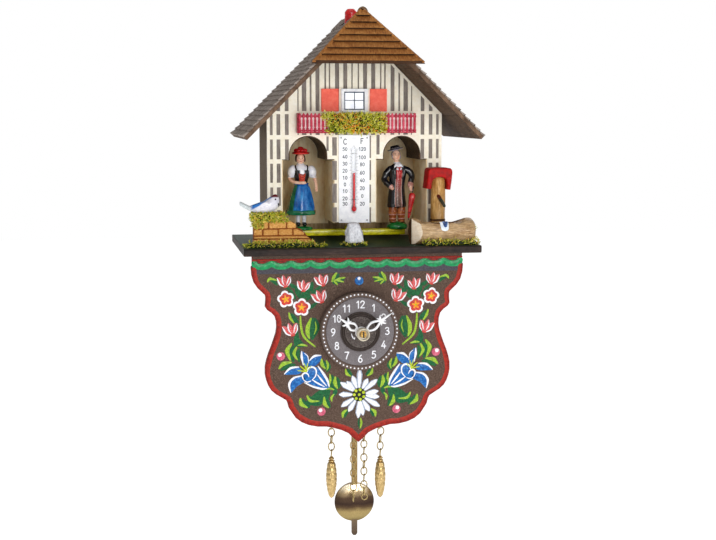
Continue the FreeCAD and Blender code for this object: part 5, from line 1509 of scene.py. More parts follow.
# ----------------------------------------------------------------------------
# finishes of the CAD solids that stay as they are
# ----------------------------------------------------------------------------
M_GILT = metal("weight_brass", c(168, 142, 92), c(206, 178, 126), rough=0.3, scale=0.5, bump=0.02, spots=0.05)
M_BOB = metal("bob_brass", c(176, 146, 98), c(246, 228, 192), rough=0.2, scale=0.35, spots=0.25)
M_CHAIN = metal("chain_brass", c(120, 104, 66), c(190, 168, 116), rough=0.34, scale=2.0)
P_NUT = paint("nut_cream", c(206, 196, 172), rough=0.35, var=0.07, dark=c(176, 164, 140), light=c(232, 224, 204), coat=0.4)
P_HAND = paint("hand_white", c(246, 246, 248), rough=0.3, var=0.03, dark=c(222, 224, 232), light=c(255, 255, 255), coat=0.4)
PLAIN = {
    "gut_string": M_GUTM, "figure_arm": P_YEL,
    "plaque": W_TAN, "dial": W_TAN, "hour_hand": P_HAND, "minute_hand": P_HAND, "hand_nut": P_NUT,
    "winding_arbor": M_STEEL, "cannon_pinion": M_BRASS, "hour_wheel": M_BRASS, "minute_wheel": M_BRASS, "barrel": M_BRASS,
    "mainspring": M_STEEL, "second_wheel": M_BRASS, "third_wheel": M_BRASS, "escape_wheel": M_BRASS, "pallet_anchor": M_STEEL,
    "front_plate": M_BRASS, "back_plate": M_BRASS, "plate_pillars": M_BRASS, "pendulum_rod": M_BRONZE, "pendulum_bob": M_BOB,
    "movement_case": W_CASE, "case_back": W_CASE, "chain_eyes": M_CHAIN, "left_weight_chain": M_CHAIN, "right_weight_chain": M_CHAIN,
    "left_weight": M_GILT, "right_weight": M_GILT, "left_free_chain": M_CHAIN, "right_free_chain": M_CHAIN,
}
for nm_, m_ in PLAIN.items():
    d_ = frame["nodes"][nm_].data
    d_.materials.clear()
    d_.materials.append(m_)

# ----------------------------------------------------------------------------
# figures and their arm
# ----------------------------------------------------------------------------
def gloss(name, col, dark, light, rough=0.2, coat=0.7, scale=0.5, var=0.12, **kw):
    return paint(name, col, rough=rough, var=var, dark=dark, light=light, coat=coat, scale=scale, **kw)


F_SKIN = gloss("doll_skin", c(242, 196, 168), c(224, 160, 128), c(250, 216, 192), rough=0.35, coat=0.3)
F_WHITE = gloss("doll_white", c(242, 243, 248), c(206, 210, 224), c(255, 255, 255), rough=0.3, coat=0.4, var=0.06)
F_APRON = gloss("apron_blue", c(0, 102, 184), c(0, 66, 140), c(44, 150, 220), rough=0.14, scale=0.3)
F_SKIRT = gloss("skirt_green", c(6, 108, 72), c(2, 66, 44), c(60, 156, 110), rough=0.16, scale=0.3)
F_HAT = gloss("hat_red", c(206, 22, 24), c(138, 6, 12), c(240, 70, 60), rough=0.3, coat=0.4)
F_STOM = gloss("stomacher", c(232, 66, 34), c(186, 26, 14), c(248, 120, 70), rough=0.3, coat=0.4, scale=1.4)
F_HAIR = gloss("hair_brown", c(62, 34, 18), c(34, 16, 8), c(104, 66, 36), rough=0.4, coat=0.2, scale=1.2)
F_GREY = gloss("hair_grey", c(146, 140, 146), c(92, 88, 96), c(206, 202, 208), rough=0.4, coat=0.2, scale=1.2)
F_BASE = gloss("base_green", c(14, 120, 50), c(4, 70, 26), c(50, 170, 80), rough=0.2, scale=0.4)
F_LIP = gloss("lip_red", c(200, 60, 56), c(170, 40, 40), c(220, 90, 84), rough=0.4, coat=0.2)
F_BOOT = gloss("boot_brown", c(150, 76, 34), c(92, 36, 12), c(206, 130, 74), rough=0.18, scale=0.5, var=0.3)
F_UMB = gloss("umbrella_red", c(204, 24, 30), c(140, 6, 16), c(240, 80, 74), rough=0.22, scale=0.5)
F_EYE = gloss("eye_dark", c(30, 24, 26), c(12, 10, 12), c(50, 44, 48), rough=0.15)
F_EDGE = gloss("coat_edge", c(206, 150, 138), c(150, 84, 78), c(232, 196, 184), rough=0.35, coat=0.3, scale=1.0)
F_BRIM = gloss("brim_lilac", c(150, 148, 170), c(104, 100, 122), c(196, 194, 210), rough=0.3, coat=0.4)
M = Mat("vest_red", rough=0.35, coat=0.3)
v = M.vec()
sz = M.sep(v, "Z")
nz_ = M.noise(M.vec(warp=0.3), scale=0.9, detail=4)
dots_ = M.voronoi(M.vec(), scale=1.1, out="Distance")
cc = M.ramp(M.remap(sz, -36.0, -14.0, 0.0, 1.0), [(0.0, c(96, 74, 66)), (0.3, c(128, 96, 84)), (0.5, c(150, 70, 64)), (0.72, c(190, 34, 40)), (1.0, c(206, 40, 44))])
cc = M.mix(M.remap(dots_, 0.15, 0.4, 0.45, 0.0), cc, c(226, 178, 164))
M.color(M.mix(M.remap(nz_, 0.4, 0.7, 0.0, 0.3), cc, c(60, 30, 30)))
M.bump(dots_, 0.4, 0.15)
F_VEST = M.m


class Form:
    """A figure's trunk: keys (z, cx, cy, rx, ry), read smoothly along z."""

    def __init__(self, keys, per=5, fold=0.0, nf=0, ph=0.0, zf=None):
        self.k = sorted(keys)
        a = smooth_path([(z, rx, ry) for z, cx, cy, rx, ry in self.k], per)
        b_ = smooth_path([(z, cx, cy) for z, cx, cy, rx, ry in self.k], per)
        self.s = [(p.x, q.y, q.z, p.y, p.z) for p, q in zip(a, b_)]
        self.fold, self.nf, self.ph, self.zf = fold, nf, ph, zf

    def at(self, z):
        s = self.s
        if z <= s[0][0]:
            return s[0][1:]
        for a, b_ in zip(s, s[1:]):
            if a[0] <= z <= b_[0]:
                t = (z - a[0]) / max(1e-9, b_[0] - a[0])
                return tuple(a[i] + (b_[i] - a[i]) * t for i in range(1, 5))
        return s[-1][1:]

    def pt(self, z, th, off=0.0):
        cx, cy, rx, ry = self.at(z)
        k = 1.0
        if self.fold:
            lo, hi = self.s[0][0], self.s[-1][0]
            k += self.fold * (1 - (z - lo) / (hi - lo)) ** 1.2 * math.cos(self.nf * th + self.ph)
        return (cx + (rx * k + off) * math.sin(th), cy - (ry * k + off) * math.cos(th), z)

    def solid(self, geo=None, n=44, mat=0, tone=0.5, z0=None, z1=None, off=0.0):
        zs = [q[0] for q in self.s]
        zs = [z for z in zs if (z0 is None or z >= z0) and (z1 is None or z <= z1)]
        rings = [[self.pt(z, -2 * math.pi * i / n, off) for i in range(n)] for z in zs]
        return loft(rings, mat, tone, geo)

    def patch(self, a0, a1, top, bot, off0, off1, geo=None, nz=16, na=16, mat=0, tone=0.5, soft=0.6):
        """Shell between angles (degrees from the front, towards the viewer's right)."""
        rings = []
        for j in range(nz + 1):
            t = j / nz
            outer, inner = [], []
            for i in range(na + 1):
                u = i / na
                th = math.radians(a0 + (a1 - a0) * u)
                zt = top(u) if callable(top) else top
                zb = bot(u) if callable(bot) else bot
                z = zb + (zt - zb) * t
                e = 1 - soft * max(abs(2 * u - 1) ** 8, abs(2 * t - 1) ** 10)
                outer.append(self.pt(z, th, off0 + (off1 - off0) * e))
                inner.append(self.pt(z, th, off0))
            rings.append(outer + inner[::-1])
        return loft(rings, mat, tone, geo)


B_FIG = "figures"
# --- arm
def stadium(x, yc, r, n=14):
    pts = []
    for i in range(n + 1):
        a = math.radians(-90 + 180 * i / n)
        pts.append((x + r * math.cos(a), yc + r * math.sin(a)))
    for i in range(n + 1):
        a = math.radians(90 + 180 * i / n)
        pts.append((-x + r * math.cos(a), yc + r * math.sin(a)))
    return pts


g = Geo()
rings = []
for z, d in ((-50.5, 0.5), (-50.35, 0.15), (-50.0, 0.0), (-49.35, 0.0), (-49.2, 0.22), (-48.9, 0.22), (-48.75, 0.0), (-47.95, 0.0), (-47.62, 0.12),
             (-47.5, 0.4), (-47.5, 0.75), (-47.75, 0.9), (-47.78, 1.5)):
    rings.append([(x, y_, z) for x, y_ in stadium(26.0, -27.0, 2.5 - d)])
loft(rings, geo=g)
lathe([(0, -50.4), (3.0, -50.3), (3.4, -49.9), (3.4, -46.2), (3.2, -45.7), (2.7, -45.5), (0, -45.5)], 0, -27, 0, n=44, geo=g)
g.build("swing_arm", [P_YEL], body=B_FIG, smooth=True, angle=40, replaces=("figure_arm",), slot="yellow_paint")

# --- woman
wx, wy = -26.0, -27.0
g = Geo()
lathe([(0, -47.5), (4.4, -47.5), (4.7, -47.2), (4.7, -46.6), (4.4, -46.1), (3.6, -45.7), (1.5, -45.45), (0, -45.4)], -24.6, wy, 0, n=44, geo=g)
jitter(g, 0.12, 0.5, 2.0)
g.v = [(x, y_, max(z, -47.5)) for x, y_, z in g.v]
g.build("woman_base", [F_BASE], body=B_FIG, smooth=True, angle=60)
g = Geo()
for x in (-27.45, -24.25):
    egg(x, wy - 1.3, -44.45, 1.25, 2.1, 1.05, n=20, m=12, geo=g)
    egg(x, wy + 0.2, -44.0, 1.15, 1.2, 1.2, n=18, m=10, geo=g)
g.build("woman_shoes", [P_BLACK], body=B_FIG, smooth=True)
g = Geo()
for x in (-27.4, -24.3):
    lathe([(0, -43.9), (0.95, -43.8), (1.02, -43.0), (1.12, -41.5), (1.22, -39.6), (1.2, -38.0), (0, -37.9)], x, wy, 0, n=24, geo=g)
    for zz in (-41.9, -40.7):
        rings = [[(x + (1.1 + 0.22 * math.cos(b_)) * math.cos(a), wy + (1.1 + 0.22 * math.cos(b_)) * math.sin(a), zz + 0.22 * math.sin(b_))
                  for b_ in [2 * math.pi * k / 8 for k in range(8)]] for a in [2 * math.pi * i / 24 for i in range(24)]]
        g.add([p for r_ in rings for p in r_], ring_faces(8, 24, closed_v=True))
g.build("woman_socks", [F_WHITE], body=B_FIG, smooth=True)
skirt = Form([(-39.7, wx, wy, 6.85, 5.6), (-39.0, wx, wy, 7.25, 5.95), (-37.6, wx, wy, 7.1, 5.8), (-36.8, wx, wy, 6.75, 5.5), (-33.5, wx + 0.05, wy, 6.1, 5.0),
              (-29.5, wx + 0.1, wy, 5.1, 4.3), (-26.3, wx + 0.2, wy, 4.0, 3.4), (-24.3, wx + 0.3, wy, 3.25, 2.8), (-23.3, wx + 0.3, wy, 2.9, 2.4)],
             fold=0.03, nf=11, ph=0.5)
skirt.solid(n=88).build("woman_skirt", [F_SKIRT], body=B_FIG, smooth=True, angle=70, replaces=("woman_figure",), slot="woman_paint")
g = Geo()
rings = []
for i in range(72):
    th = 2 * math.pi * i / 72
    base = skirt.pt(-38.6, th)
    ring = []
    for k in range(10):
        b_ = 2 * math.pi * k / 10
        o = 0.42 * math.cos(b_)
        p = skirt.pt(-38.6, th, 0.05 + o)
        ring.append((p[0], p[1], -38.55 + 1.12 * math.sin(b_) + 0.12 * math.sin(9 * th)))
    rings.append(ring)
g.add([p for r_ in rings for p in r_], ring_faces(10, 72, closed_v=True))
g.build("woman_hem", [F_SKIRT], body=B_FIG, smooth=True, angle=70)
skirt.patch(-38, 98, -23.6, lambda u: -37.35 + 0.35 * math.sin(math.pi * 5 * u) * 0.5, 0.02, 0.42, na=40, nz=22).build(
    "woman_apron", [F_APRON], body=B_FIG, smooth=True, angle=60)
g = Geo()
for k, th in enumerate((-24, -8, 10, 28, 46, 64, 82)):
    pts = [skirt.pt(z, math.radians(th + 1.2 * math.sin(z * 0.3 + k)), 0.40) for z in (-36.6, -34, -31, -28, -25.4)]
    tube(smooth_path(pts, 4), 0.24, n=8, geo=g)
g.build("woman_apron_folds", [F_APRON], body=B_FIG, smooth=True)
g = Geo()
pts = [skirt.pt(-23.9, math.radians(a), 0.35) for a in range(0, 360, 12)]
tube(pts, 0.42, n=10, closed=True, geo=g)
g.build("woman_waistband", [F_APRON], body=B_FIG, smooth=True)
torso = Form([(-24.4, wx + 0.3, wy, 2.95, 2.45), (-22.2, wx + 0.35, wy, 3.15, 2.7), (-19.6, wx + 0.4, wy, 3.9, 3.15), (-17.4, wx + 0.4, wy, 4.15, 3.15),
              (-15.6, wx + 0.35, wy, 3.75, 2.75), (-14.4, wx + 0.1, wy, 2.4, 2.1), (-13.6, wx, wy, 1.35, 1.3), (-13.2, wx, wy, 1.1, 1.1)])
torso.solid().build("woman_blouse", [F_WHITE], body=B_FIG, smooth=True, angle=70)
g = Geo()
torso.patch(16, 180, -16.9, -24.1, -0.1, 0.22, geo=g, na=30)
torso.patch(-180, -16, -16.9, -24.1, -0.1, 0.22, geo=g, na=30)
for sg in (-1, 1):
    pts = [torso.pt(-18.4, math.radians(sg * 34), 0.12), torso.pt(-16.6, math.radians(sg * 42), 0.14), torso.pt(-15.2, math.radians(sg * 60), 0.14),
           (wx + 0.3 + sg * 2.9, wy + 0.1, -14.55), torso.pt(-15.6, math.radians(sg * 130), 0.14), torso.pt(-17.4, math.radians(sg * 145), 0.12)]
    tube(smooth_path(pts, 5), 0.42, n=8, geo=g, flat=0.6)
g.build("woman_bodice", [P_BLACK], body=B_FIG, smooth=True, angle=60)
torso.patch(-24, 24, lambda u: -18.5 - 0.8 * (1 - abs(2 * u - 1)), lambda u: -22.6 - 0.9 * (1 - abs(2 * u - 1)), 0.0, 0.42, na=14, nz=12).build(
    "woman_stomacher", [F_STOM], body=B_FIG, smooth=True, angle=60)
g = Geo()
for k, zz in enumerate((-19.4, -20.4, -21.4)):
    for sg in (-1, 1):
        pts = [torso.pt(zz - 0.35, math.radians(-18 * sg), 0.42), torso.pt(zz, 0.0, 0.52), torso.pt(zz + 0.35, math.radians(18 * sg), 0.42)]
        tube(smooth_path(pts, 3), 0.09, n=6, geo=g)
g.build("woman_lacing", [P_BLACK], body=B_FIG, smooth=True)
g = Geo()
for sg, x, z in ((-1, -30.35, -17.6), (1, -20.3, -17.8)):
    egg(x, wy, z, 2.35, 2.2, 3.2, n=28, m=18, rot=rot_xyz(0, sg * -14, 0), geo=g)
    rings = [[(x + sg * 0.75 + (1.5 + 0.32 * math.cos(b_)) * math.cos(a), wy - 0.2 + (1.45 + 0.32 * math.cos(b_)) * math.sin(a), z - 2.75 + 0.32 * math.sin(b_))
              for b_ in [2 * math.pi * k / 8 for k in range(8)]] for a in [2 * math.pi * i / 24 for i in range(24)]]
    g.add([p for r_ in rings for p in r_], ring_faces(8, 24, closed_v=True))
g2 = Geo()
g2.v, g2.f, g2.m, g2.t = g.v, g.f, g.m, g.t
jitter(g2, 0.14, 0.9, 5.0)
g2.build("woman_sleeves", [F_WHITE], body=B_FIG, smooth=True, angle=75)
g = Geo()
p1 = smooth_path([(-31.2, wy, -20.0), (-31.5, wy - 0.8, -21.5), (-30.2, wy - 2.9, -22.7), (-27.6, wy - 4.0, -23.2), (-25.8, wy - 4.3, -23.2)], 5)
tube(p1, [0.98 - 0.014 * i for i in range(len(p1))], n=14, geo=g)
egg(-25.2, wy - 4.3, -23.2, 1.25, 0.75, 0.85, n=18, m=10, geo=g)
for k in range(3):
    egg(-24.3 + 0.1 * k, wy - 4.35, -22.75 - 0.42 * k, 0.62, 0.32, 0.26, n=12, m=8, geo=g)
p2 = smooth_path([(-19.3, wy, -20.2), (-18.7, wy - 0.6, -22.0), (-18.3, wy - 1.3, -24.2), (-18.2, wy - 1.9, -26.0)], 5)
tube(p2, [0.98 - 0.016 * i for i in range(len(p2))], n=14, geo=g)
egg(-18.2, wy - 2.1, -26.9, 0.75, 0.7, 1.15, n=18, m=10, geo=g)
egg(-18.75, wy - 2.5, -26.7, 0.3, 0.32, 0.6, n=12, m=8, geo=g)
lathe([(0, -14.4), (1.15, -14.2), (1.1, -13.4), (1.15, -12.6), (0, -12.4)], wx - 0.1, wy, 0, n=20, geo=g)
egg(-26.2, wy - 0.2, -11.2, 2.25, 2.4, 2.75, n=32, m=20, geo=g)
egg(-26.2, wy - 0.9, -12.4, 1.6, 1.55, 1.5, n=24, m=14, geo=g)
egg(-26.2, wy - 2.62, -11.45, 0.32, 0.4, 0.45, n=12, m=8, geo=g)
g.build("woman_skin", [F_SKIN], body=B_FIG, smooth=True, angle=75)
g = Geo()
egg(-26.2, wy + 0.45, -10.6, 2.55, 2.35, 2.75, n=30, m=18, geo=g)
for sg in (-1, 1):
    egg(-26.2 + sg * 2.05, wy - 0.55, -11.0, 0.6, 1.0, 1.9, n=16, m=10, rot=rot_xyz(0, sg * -6, 0), geo=g)
    # plaits down the back
    p = smooth_path([(-26.2 + sg * 0.8, wy + 2.4, -12.2), (-26.0 + sg * 1.1, wy + 2.9, -15.5), (-25.8 + sg * 1.3, wy + 3.2, -19.5), (-25.8 + sg * 1.3, wy + 2.9, -22.5)], 6)
    tube(p, [0.55 + 0.14 * math.sin(i * 1.9) for i in range(len(p))], n=10, geo=g)
g.build("woman_hair", [F_HAIR], body=B_FIG, smooth=True, angle=75)
g = Geo()
for sg in (-1, 1):
    egg(-26.2 + sg * 0.82, wy - 2.42, -10.95, 0.24, 0.16, 0.24, n=12, m=8, geo=g)
    tube([(-26.2 + sg * 0.5, wy - 2.42, -10.35), (-26.2 + sg * 0.85, wy - 2.34, -10.22), (-26.2 + sg * 1.2, wy - 2.18, -10.38)], 0.07, n=6, geo=g)
g.build("woman_eyes", [F_EYE], body=B_FIG, smooth=True)
g = Geo()
tube(smooth_path([(-26.75, wy - 2.40, -12.35), (-26.2, wy - 2.50, -12.52), (-25.65, wy - 2.40, -12.35)], 3), 0.14, n=8, geo=g, flat=0.8)
for sg in (-1, 1):
    egg(-26.2 + sg * 1.25, wy - 1.98, -11.85, 0.42, 0.16, 0.34, n=12, m=8, geo=g)
g.build("woman_lips", [F_LIP], body=B_FIG, smooth=True)
g = Geo()
lathe([(0, -8.9), (2.6, -8.95), (4.2, -8.75), (4.6, -8.4), (4.5, -8.05), (3.6, -7.75), (2.8, -7.3), (2.4, -6.6), (1.6, -6.1), (0, -6.0)], -25.95, wy - 0.1, 0, n=44,
      geo=g, wave=lambda a, h: 1 + 0.015 * math.cos(5 * a))
for k in range(7):
    a = 2 * math.pi * k / 7 + 0.5
    egg(-25.95 + 2.25 * math.cos(a), wy - 0.1 + 2.15 * math.sin(a), -6.95, 1.25, 1.25, 1.0, n=18, m=12, geo=g)
egg(-25.95, wy - 0.1, -6.15, 1.65, 1.6, 1.2, n=20, m=12, geo=g)
jitter(g, 0.07, 2.4, 3.0)
g.build("woman_hat", [F_HAT], body=B_FIG, smooth=True, angle=75)
g = Geo()
tube([(-26.1 + 1.35 * math.cos(a), wy + 1.3 * math.sin(a), -13.7) for a in [2 * math.pi * i / 20 for i in range(20)]], 0.32, n=8, closed=True, geo=g)
g.build("woman_collar", [F_WHITE], body=B_FIG, smooth=True)

# --- man
mx, my = 23.8, -27.0
g = Geo()
lathe([(0, -47.5), (4.9, -47.5), (5.25, -47.1), (5.3, -46.2), (5.0, -45.2), (4.0, -44.3), (2.4, -43.7), (0, -43.5)], 24.2, my, 0, n=48, geo=g)
jitter(g, 0.15, 0.4, 7.0)
g.v = [(x, y_, max(z, -47.5)) for x, y_, z in g.v]
g.build("man_base", [F_BASE], body=B_FIG, smooth=True, angle=60)
g = Geo()
for x in (21.75, 26.35):
    lg = Form([(-44.0, x, my - 0.2, 1.7, 2.0), (-42.9, x, my - 0.2, 1.95, 2.2), (-42.2, x, my, 1.75, 1.9), (-40.6, x, my, 2.05, 2.1), (-38.8, x, my, 2.25, 2.25),
               (-37.2, x, my, 2.2, 2.3), (-35.0, x, my, 2.15, 2.3)])
    lg.solid(geo=g, n=32)
    egg(x, my - 2.0, -43.5, 1.6, 2.2, 0.95, n=22, m=12, geo=g)
g.build("man_boots", [F_BOOT], body=B_FIG, smooth=True, angle=70)
g = Geo()
for x in (21.75, 26.35):
    for zz, rr in ((-42.25, 1.95), (-40.1, 2.22)):
        rings = [[(x + (rr + 0.16 * math.cos(b_)) * math.cos(a), my + (rr + 0.05 + 0.16 * math.cos(b_)) * math.sin(a), zz + 0.2 * math.sin(b_))
                  for b_ in [2 * math.pi * k / 8 for k in range(8)]] for a in [2 * math.pi * i / 28 for i in range(28)]]
        g.add([p for r_ in rings for p in r_], ring_faces(8, 28, closed_v=True))
    egg(x + 0.9, my - 2.15, -38.4, 0.3, 0.2, 0.3, n=12, m=8, geo=g)
g.build("man_boot_rings", [F_EDGE], body=B_FIG, smooth=True)
coat = Form([(-36.4, mx, my, 4.5, 3.5), (-35.6, mx, my, 4.8, 3.75), (-31.0, mx - 0.1, my, 4.35, 3.45), (-26.0, mx, my, 3.85, 3.15), (-22.0, mx + 0.2, my, 4.1, 3.15),
             (-18.4, mx + 0.3, my, 4.6, 3.2), (-16.2, mx + 0.3, my, 4.3, 2.85), (-14.9, mx + 0.2, my, 3.0, 2.3), (-13.9, mx, my, 1.6, 1.6)],
            fold=0.025, nf=9, ph=0.3)
coat.solid(n=72).build("man_coat", [P_BLACK], body=B_FIG, smooth=True, angle=70, replaces=("man_figure",), slot="man_paint")
g = Geo()
for a0, a1 in ((-70, -15), (27, 82)):
    coat.patch(a0, a1, -16.3, -36.1, 0.0, 0.34, geo=g, na=20, nz=22)
# lapels
for sg, a0 in ((-1, -15), (1, 27)):
    pts = [coat.pt(-15.1, math.radians(a0 * 0.55 + 3), 0.15), coat.pt(-17.0, math.radians(a0 * 1.35), 0.45), coat.pt(-19.6, math.radians(a0 * 1.3), 0.45), coat.pt(-21.6, math.radians(a0), 0.35)]
    tube(smooth_path(pts, 5), [0.3 + 0.5 * math.sin(math.pi * i / 15) for i in range(16)], n=10, geo=g, flat=0.6)
g.build("man_coat_front", [P_BLACK], body=B_FIG, smooth=True, angle=60)
coat.patch(-16, 28, -15.6, -36.0, -0.05, 0.16, na=18, nz=24).build("man_vest", [F_VEST], body=B_FIG, smooth=True, angle=60)
g = Geo()
for a in (-14.5, 26.5):
    pts = [coat.pt(z, math.radians(a), 0.26) for z in (-18.6, -22, -26, -30, -33.5, -35.9)]
    tube(smooth_path(pts, 4), 0.2, n=8, geo=g)
for zz in (-19.5, -21.8, -24.1, -26.4):
    p = coat.pt(zz, math.radians(6), 0.2)
    egg(p[0], p[1], p[2], 0.24, 0.16, 0.24, n=12, m=8, geo=g)
g.build("man_coat_edges", [F_EDGE], body=B_FIG, smooth=True)
g = Geo()
coat.patch(-22, 34, lambda u: -14.2, lambda u: -16.4 - 1.2 * (1 - abs(2 * u - 1)), -0.05, 0.36, geo=g, na=14, nz=8)
for sg, a in ((-1, -26), (1, 38)):
    pts = [coat.pt(-13.9, math.radians(6 + sg * 8), 0.35), coat.pt(-14.8, math.radians(6 + sg * 22), 0.5), coat.pt(-15.9, math.radians(6 + sg * 30), 0.45)]
    tube(smooth_path(pts, 4), [0.25, 0.5, 0.66, 0.74, 0.76, 0.7, 0.58, 0.4, 0.2], n=10, geo=g, flat=0.55)
egg(mx + 0.3, my, -13.6, 2.0, 1.9, 0.7, n=24, m=10, geo=g)
g.build("man_collar", [F_WHITE], body=B_FIG, smooth=True, angle=70)
g = Geo()
p = coat.pt(-15.9, math.radians(6), 0.55)
for dx, dz, rx, rz in ((0, 0, 0.36, 0.36), (-0.62, -0.1, 0.5, 0.32), (0.62, -0.1, 0.5, 0.32)):
    egg(p[0] + dx, p[1], p[2] + dz, rx, 0.26, rz, n=14, m=8, geo=g)
pts = [coat.pt(z, math.radians(6), 0.42) for z in (-16.1, -17.4, -18.8, -19.8)]
tube(smooth_path(pts, 4), [0.28, 0.34, 0.4, 0.46, 0.5, 0.52, 0.54, 0.54, 0.5, 0.44, 0.34, 0.22, 0.1], n=10, geo=g, flat=0.5)
g.build("man_tie", [F_UMB], body=B_FIG, smooth=True)
g = Geo()
pa = smooth_path([(20.6, my, -16.6), (18.4, my - 0.1, -19.0), (17.3, my - 0.3, -21.6), (18.0, my - 1.9, -23.6), (19.9, my - 3.0, -25.2)], 6)
tube(pa, [1.75 - 0.012 * i for i in range(len(pa))], n=18, geo=g)
pb_ = smooth_path([(27.4, my, -16.6), (30.3, my - 0.1, -18.0), (31.7, my - 0.4, -20.2), (31.2, my - 1.5, -22.6), (30.7, my - 2.2, -24.6)], 6)
tube(pb_, [1.75 - 0.012 * i for i in range(len(pb_))], n=18, geo=g)
jitter(g, 0.16, 0.7, 8.0)
egg(20.8, my, -16.7, 1.9, 1.8, 1.7, n=20, m=12, geo=g)
egg(27.4, my, -16.7, 1.9, 1.8, 1.7, n=20, m=12, geo=g)
g.build("man_arms", [P_BLACK], body=B_FIG, smooth=True, angle=70)
g = Geo()
tube([(30.75, my - 2.15, -24.2), (30.68, my - 2.4, -25.2)], 1.62, n=18, geo=g)
tube([(20.0, my - 3.1, -25.3), (20.4, my - 3.3, -25.8)], 1.35, n=18, geo=g)
g.build("man_cuffs", [F_EDGE], body=B_FIG, smooth=True, angle=50)
g = Geo()
egg(30.75, my - 3.0, -26.6, 1.1, 1.15, 1.5, n=20, m=12, geo=g)
for k in range(4):
    egg(30.2 + 0.36 * k, my - 4.0, -27.3 - 0.08 * k, 0.24, 0.5, 0.8, n=10, m=8, geo=g)
egg(20.9, my - 3.5, -26.4, 0.95, 0.8, 1.05, n=16, m=10, geo=g)
lathe([(0, -14.2), (1.25, -14.0), (1.2, -12.8), (1.25, -11.6), (0, -11.4)], mx - 0.1, my, 0, n=20, geo=g)
egg(23.5, my - 0.2, -9.75, 2.3, 2.45, 2.75, n=32, m=20, geo=g)
egg(23.5, my - 1.0, -11.3, 1.7, 1.6, 1.35, n=24, m=14, geo=g)
egg(23.5, my - 2.72, -9.9, 0.36, 0.5, 0.55, n=12, m=8, geo=g)
for sg in (-1, 1):
    egg(23.5 + sg * 2.3, my + 0.1, -10.0, 0.3, 0.5, 0.6, n=12, m=8, geo=g)
g.build("man_skin", [F_SKIN], body=B_FIG, smooth=True, angle=75)
g = Geo()
egg(23.5, my + 0.5, -9.2, 2.5, 2.3, 2.6, n=30, m=18, geo=g)
for sg in (-1, 1):
    egg(23.5 + sg * 2.0, my - 0.7, -10.3, 0.42, 0.8, 1.35, n=14, m=10, geo=g)
g.build("man_hair", [F_GREY], body=B_FIG, smooth=True, angle=75)
g = Geo()
for sg in (-1, 1):
    egg(23.5 + sg * 0.86, my - 2.5, -9.45, 0.25, 0.16, 0.25, n=12, m=8, geo=g)
    tube([(23.5 + sg * 0.5, my - 2.5, -8.85), (23.5 + sg * 0.9, my - 2.42, -8.75), (23.5 + sg * 1.25, my - 2.2, -8.9)], 0.09, n=6, geo=g)
g.build("man_eyes", [F_EYE], body=B_FIG, smooth=True)
g = Geo()
tube(smooth_path([(22.95, my - 2.5, -11.35), (23.5, my - 2.6, -11.45), (24.05, my - 2.5, -11.35)], 3), 0.13, n=8, geo=g, flat=0.8)
g.build("man_lips", [F_LIP], body=B_FIG, smooth=True)


def turned(geo, o, rot, q):
    o = Vector(o)
    geo.v = geo.v[:q] + [tuple(rot @ (Vector(p) - o) + o) for p in geo.v[q:]]


HO = (23.2, my - 0.1, -7.2)
rot = rot_xyz(-5, -12, 0)
g = Geo()
lathe([(0, 0.35), (2.2, 0.3), (3.7, 0.42), (4.15, 0.62), (4.2, 0.85), (3.9, 0.9), (2.9, 0.75), (2.45, 0.95), (2.4, 1.9), (2.15, 2.45), (1.2, 2.62), (0.6, 2.5), (0, 2.45)],
      HO[0], HO[1], HO[2], n=48, geo=g)
turned(g, HO, rot, 0)
g.build("man_hat", [P_BLACK], body=B_FIG, smooth=True, angle=60)
g = Geo()
lathe([(0, 0.12), (2.3, 0.1), (3.6, 0.22), (3.95, 0.45), (3.6, 0.5), (0, 0.45)], HO[0], HO[1], HO[2], n=48, geo=g)
turned(g, HO, rot, 0)
g.build("man_hat_lining", [F_BRIM], body=B_FIG, smooth=True, angle=60)
g = Geo()
tube([(HO[0] + 2.47 * math.cos(a), HO[1] + 2.47 * math.sin(a), HO[2] + 1.15) for a in [2 * math.pi * i / 28 for i in range(28)]], 0.2, n=8, closed=True, geo=g)
turned(g, HO, rot, 0)
g.build("man_hat_band", [F_GREY], body=B_FIG, smooth=True)

# umbrella: gathered cloth with pleats, ferrule and grip
A = Vector((31.25, -31.5, -29.4))
Dv = Vector((-2.0, -0.25, -12.6)).normalized()
U = Dv.cross(Vector((0, 1, 0))).normalized()
V = Dv.cross(U).normalized()
g = Geo()
rings = []
for t, r in ((-0.5, 0.7), (0.0, 1.35), (0.8, 1.62), (2.5, 1.55), (5.0, 1.3), (8.0, 0.98), (10.5, 0.72), (12.0, 0.52), (12.6, 0.3)):
    ring = []
    for i in range(48):
        a = 2 * math.pi * i / 48
        rr = r * (1 + 0.10 * abs(math.sin(4 * a + t * 0.18)) - 0.04)
        p = A + Dv * t + U * rr * math.cos(a) + V * rr * math.sin(a)
        ring.append(tuple(p))
    rings.append(ring)
loft(rings, geo=g)
g.build("umbrella_cloth", [F_UMB], body=B_FIG, smooth=True, angle=60, replaces=("umbrella",), slot="red_paint")
g = Geo()
pts = [A - Dv * 0.2, A - Dv * 2.0, A - Dv * 3.6]
tube([tuple(p) for p in pts], 0.34, n=10, geo=g)
tube([tuple(A + Dv * 12.4), tuple(A + Dv * 13.4)], 0.16, n=8, geo=g)
q = A + Dv * 9.6
ringp = [tuple(q + U * 0.88 * math.cos(a) + V * 0.88 * math.sin(a)) for a in [2 * math.pi * i / 20 for i in range(20)]]
tube(ringp, 0.16, n=8, closed=True, geo=g)
g.build("umbrella_fittings", [P_BLACK], body=B_FIG, smooth=True)

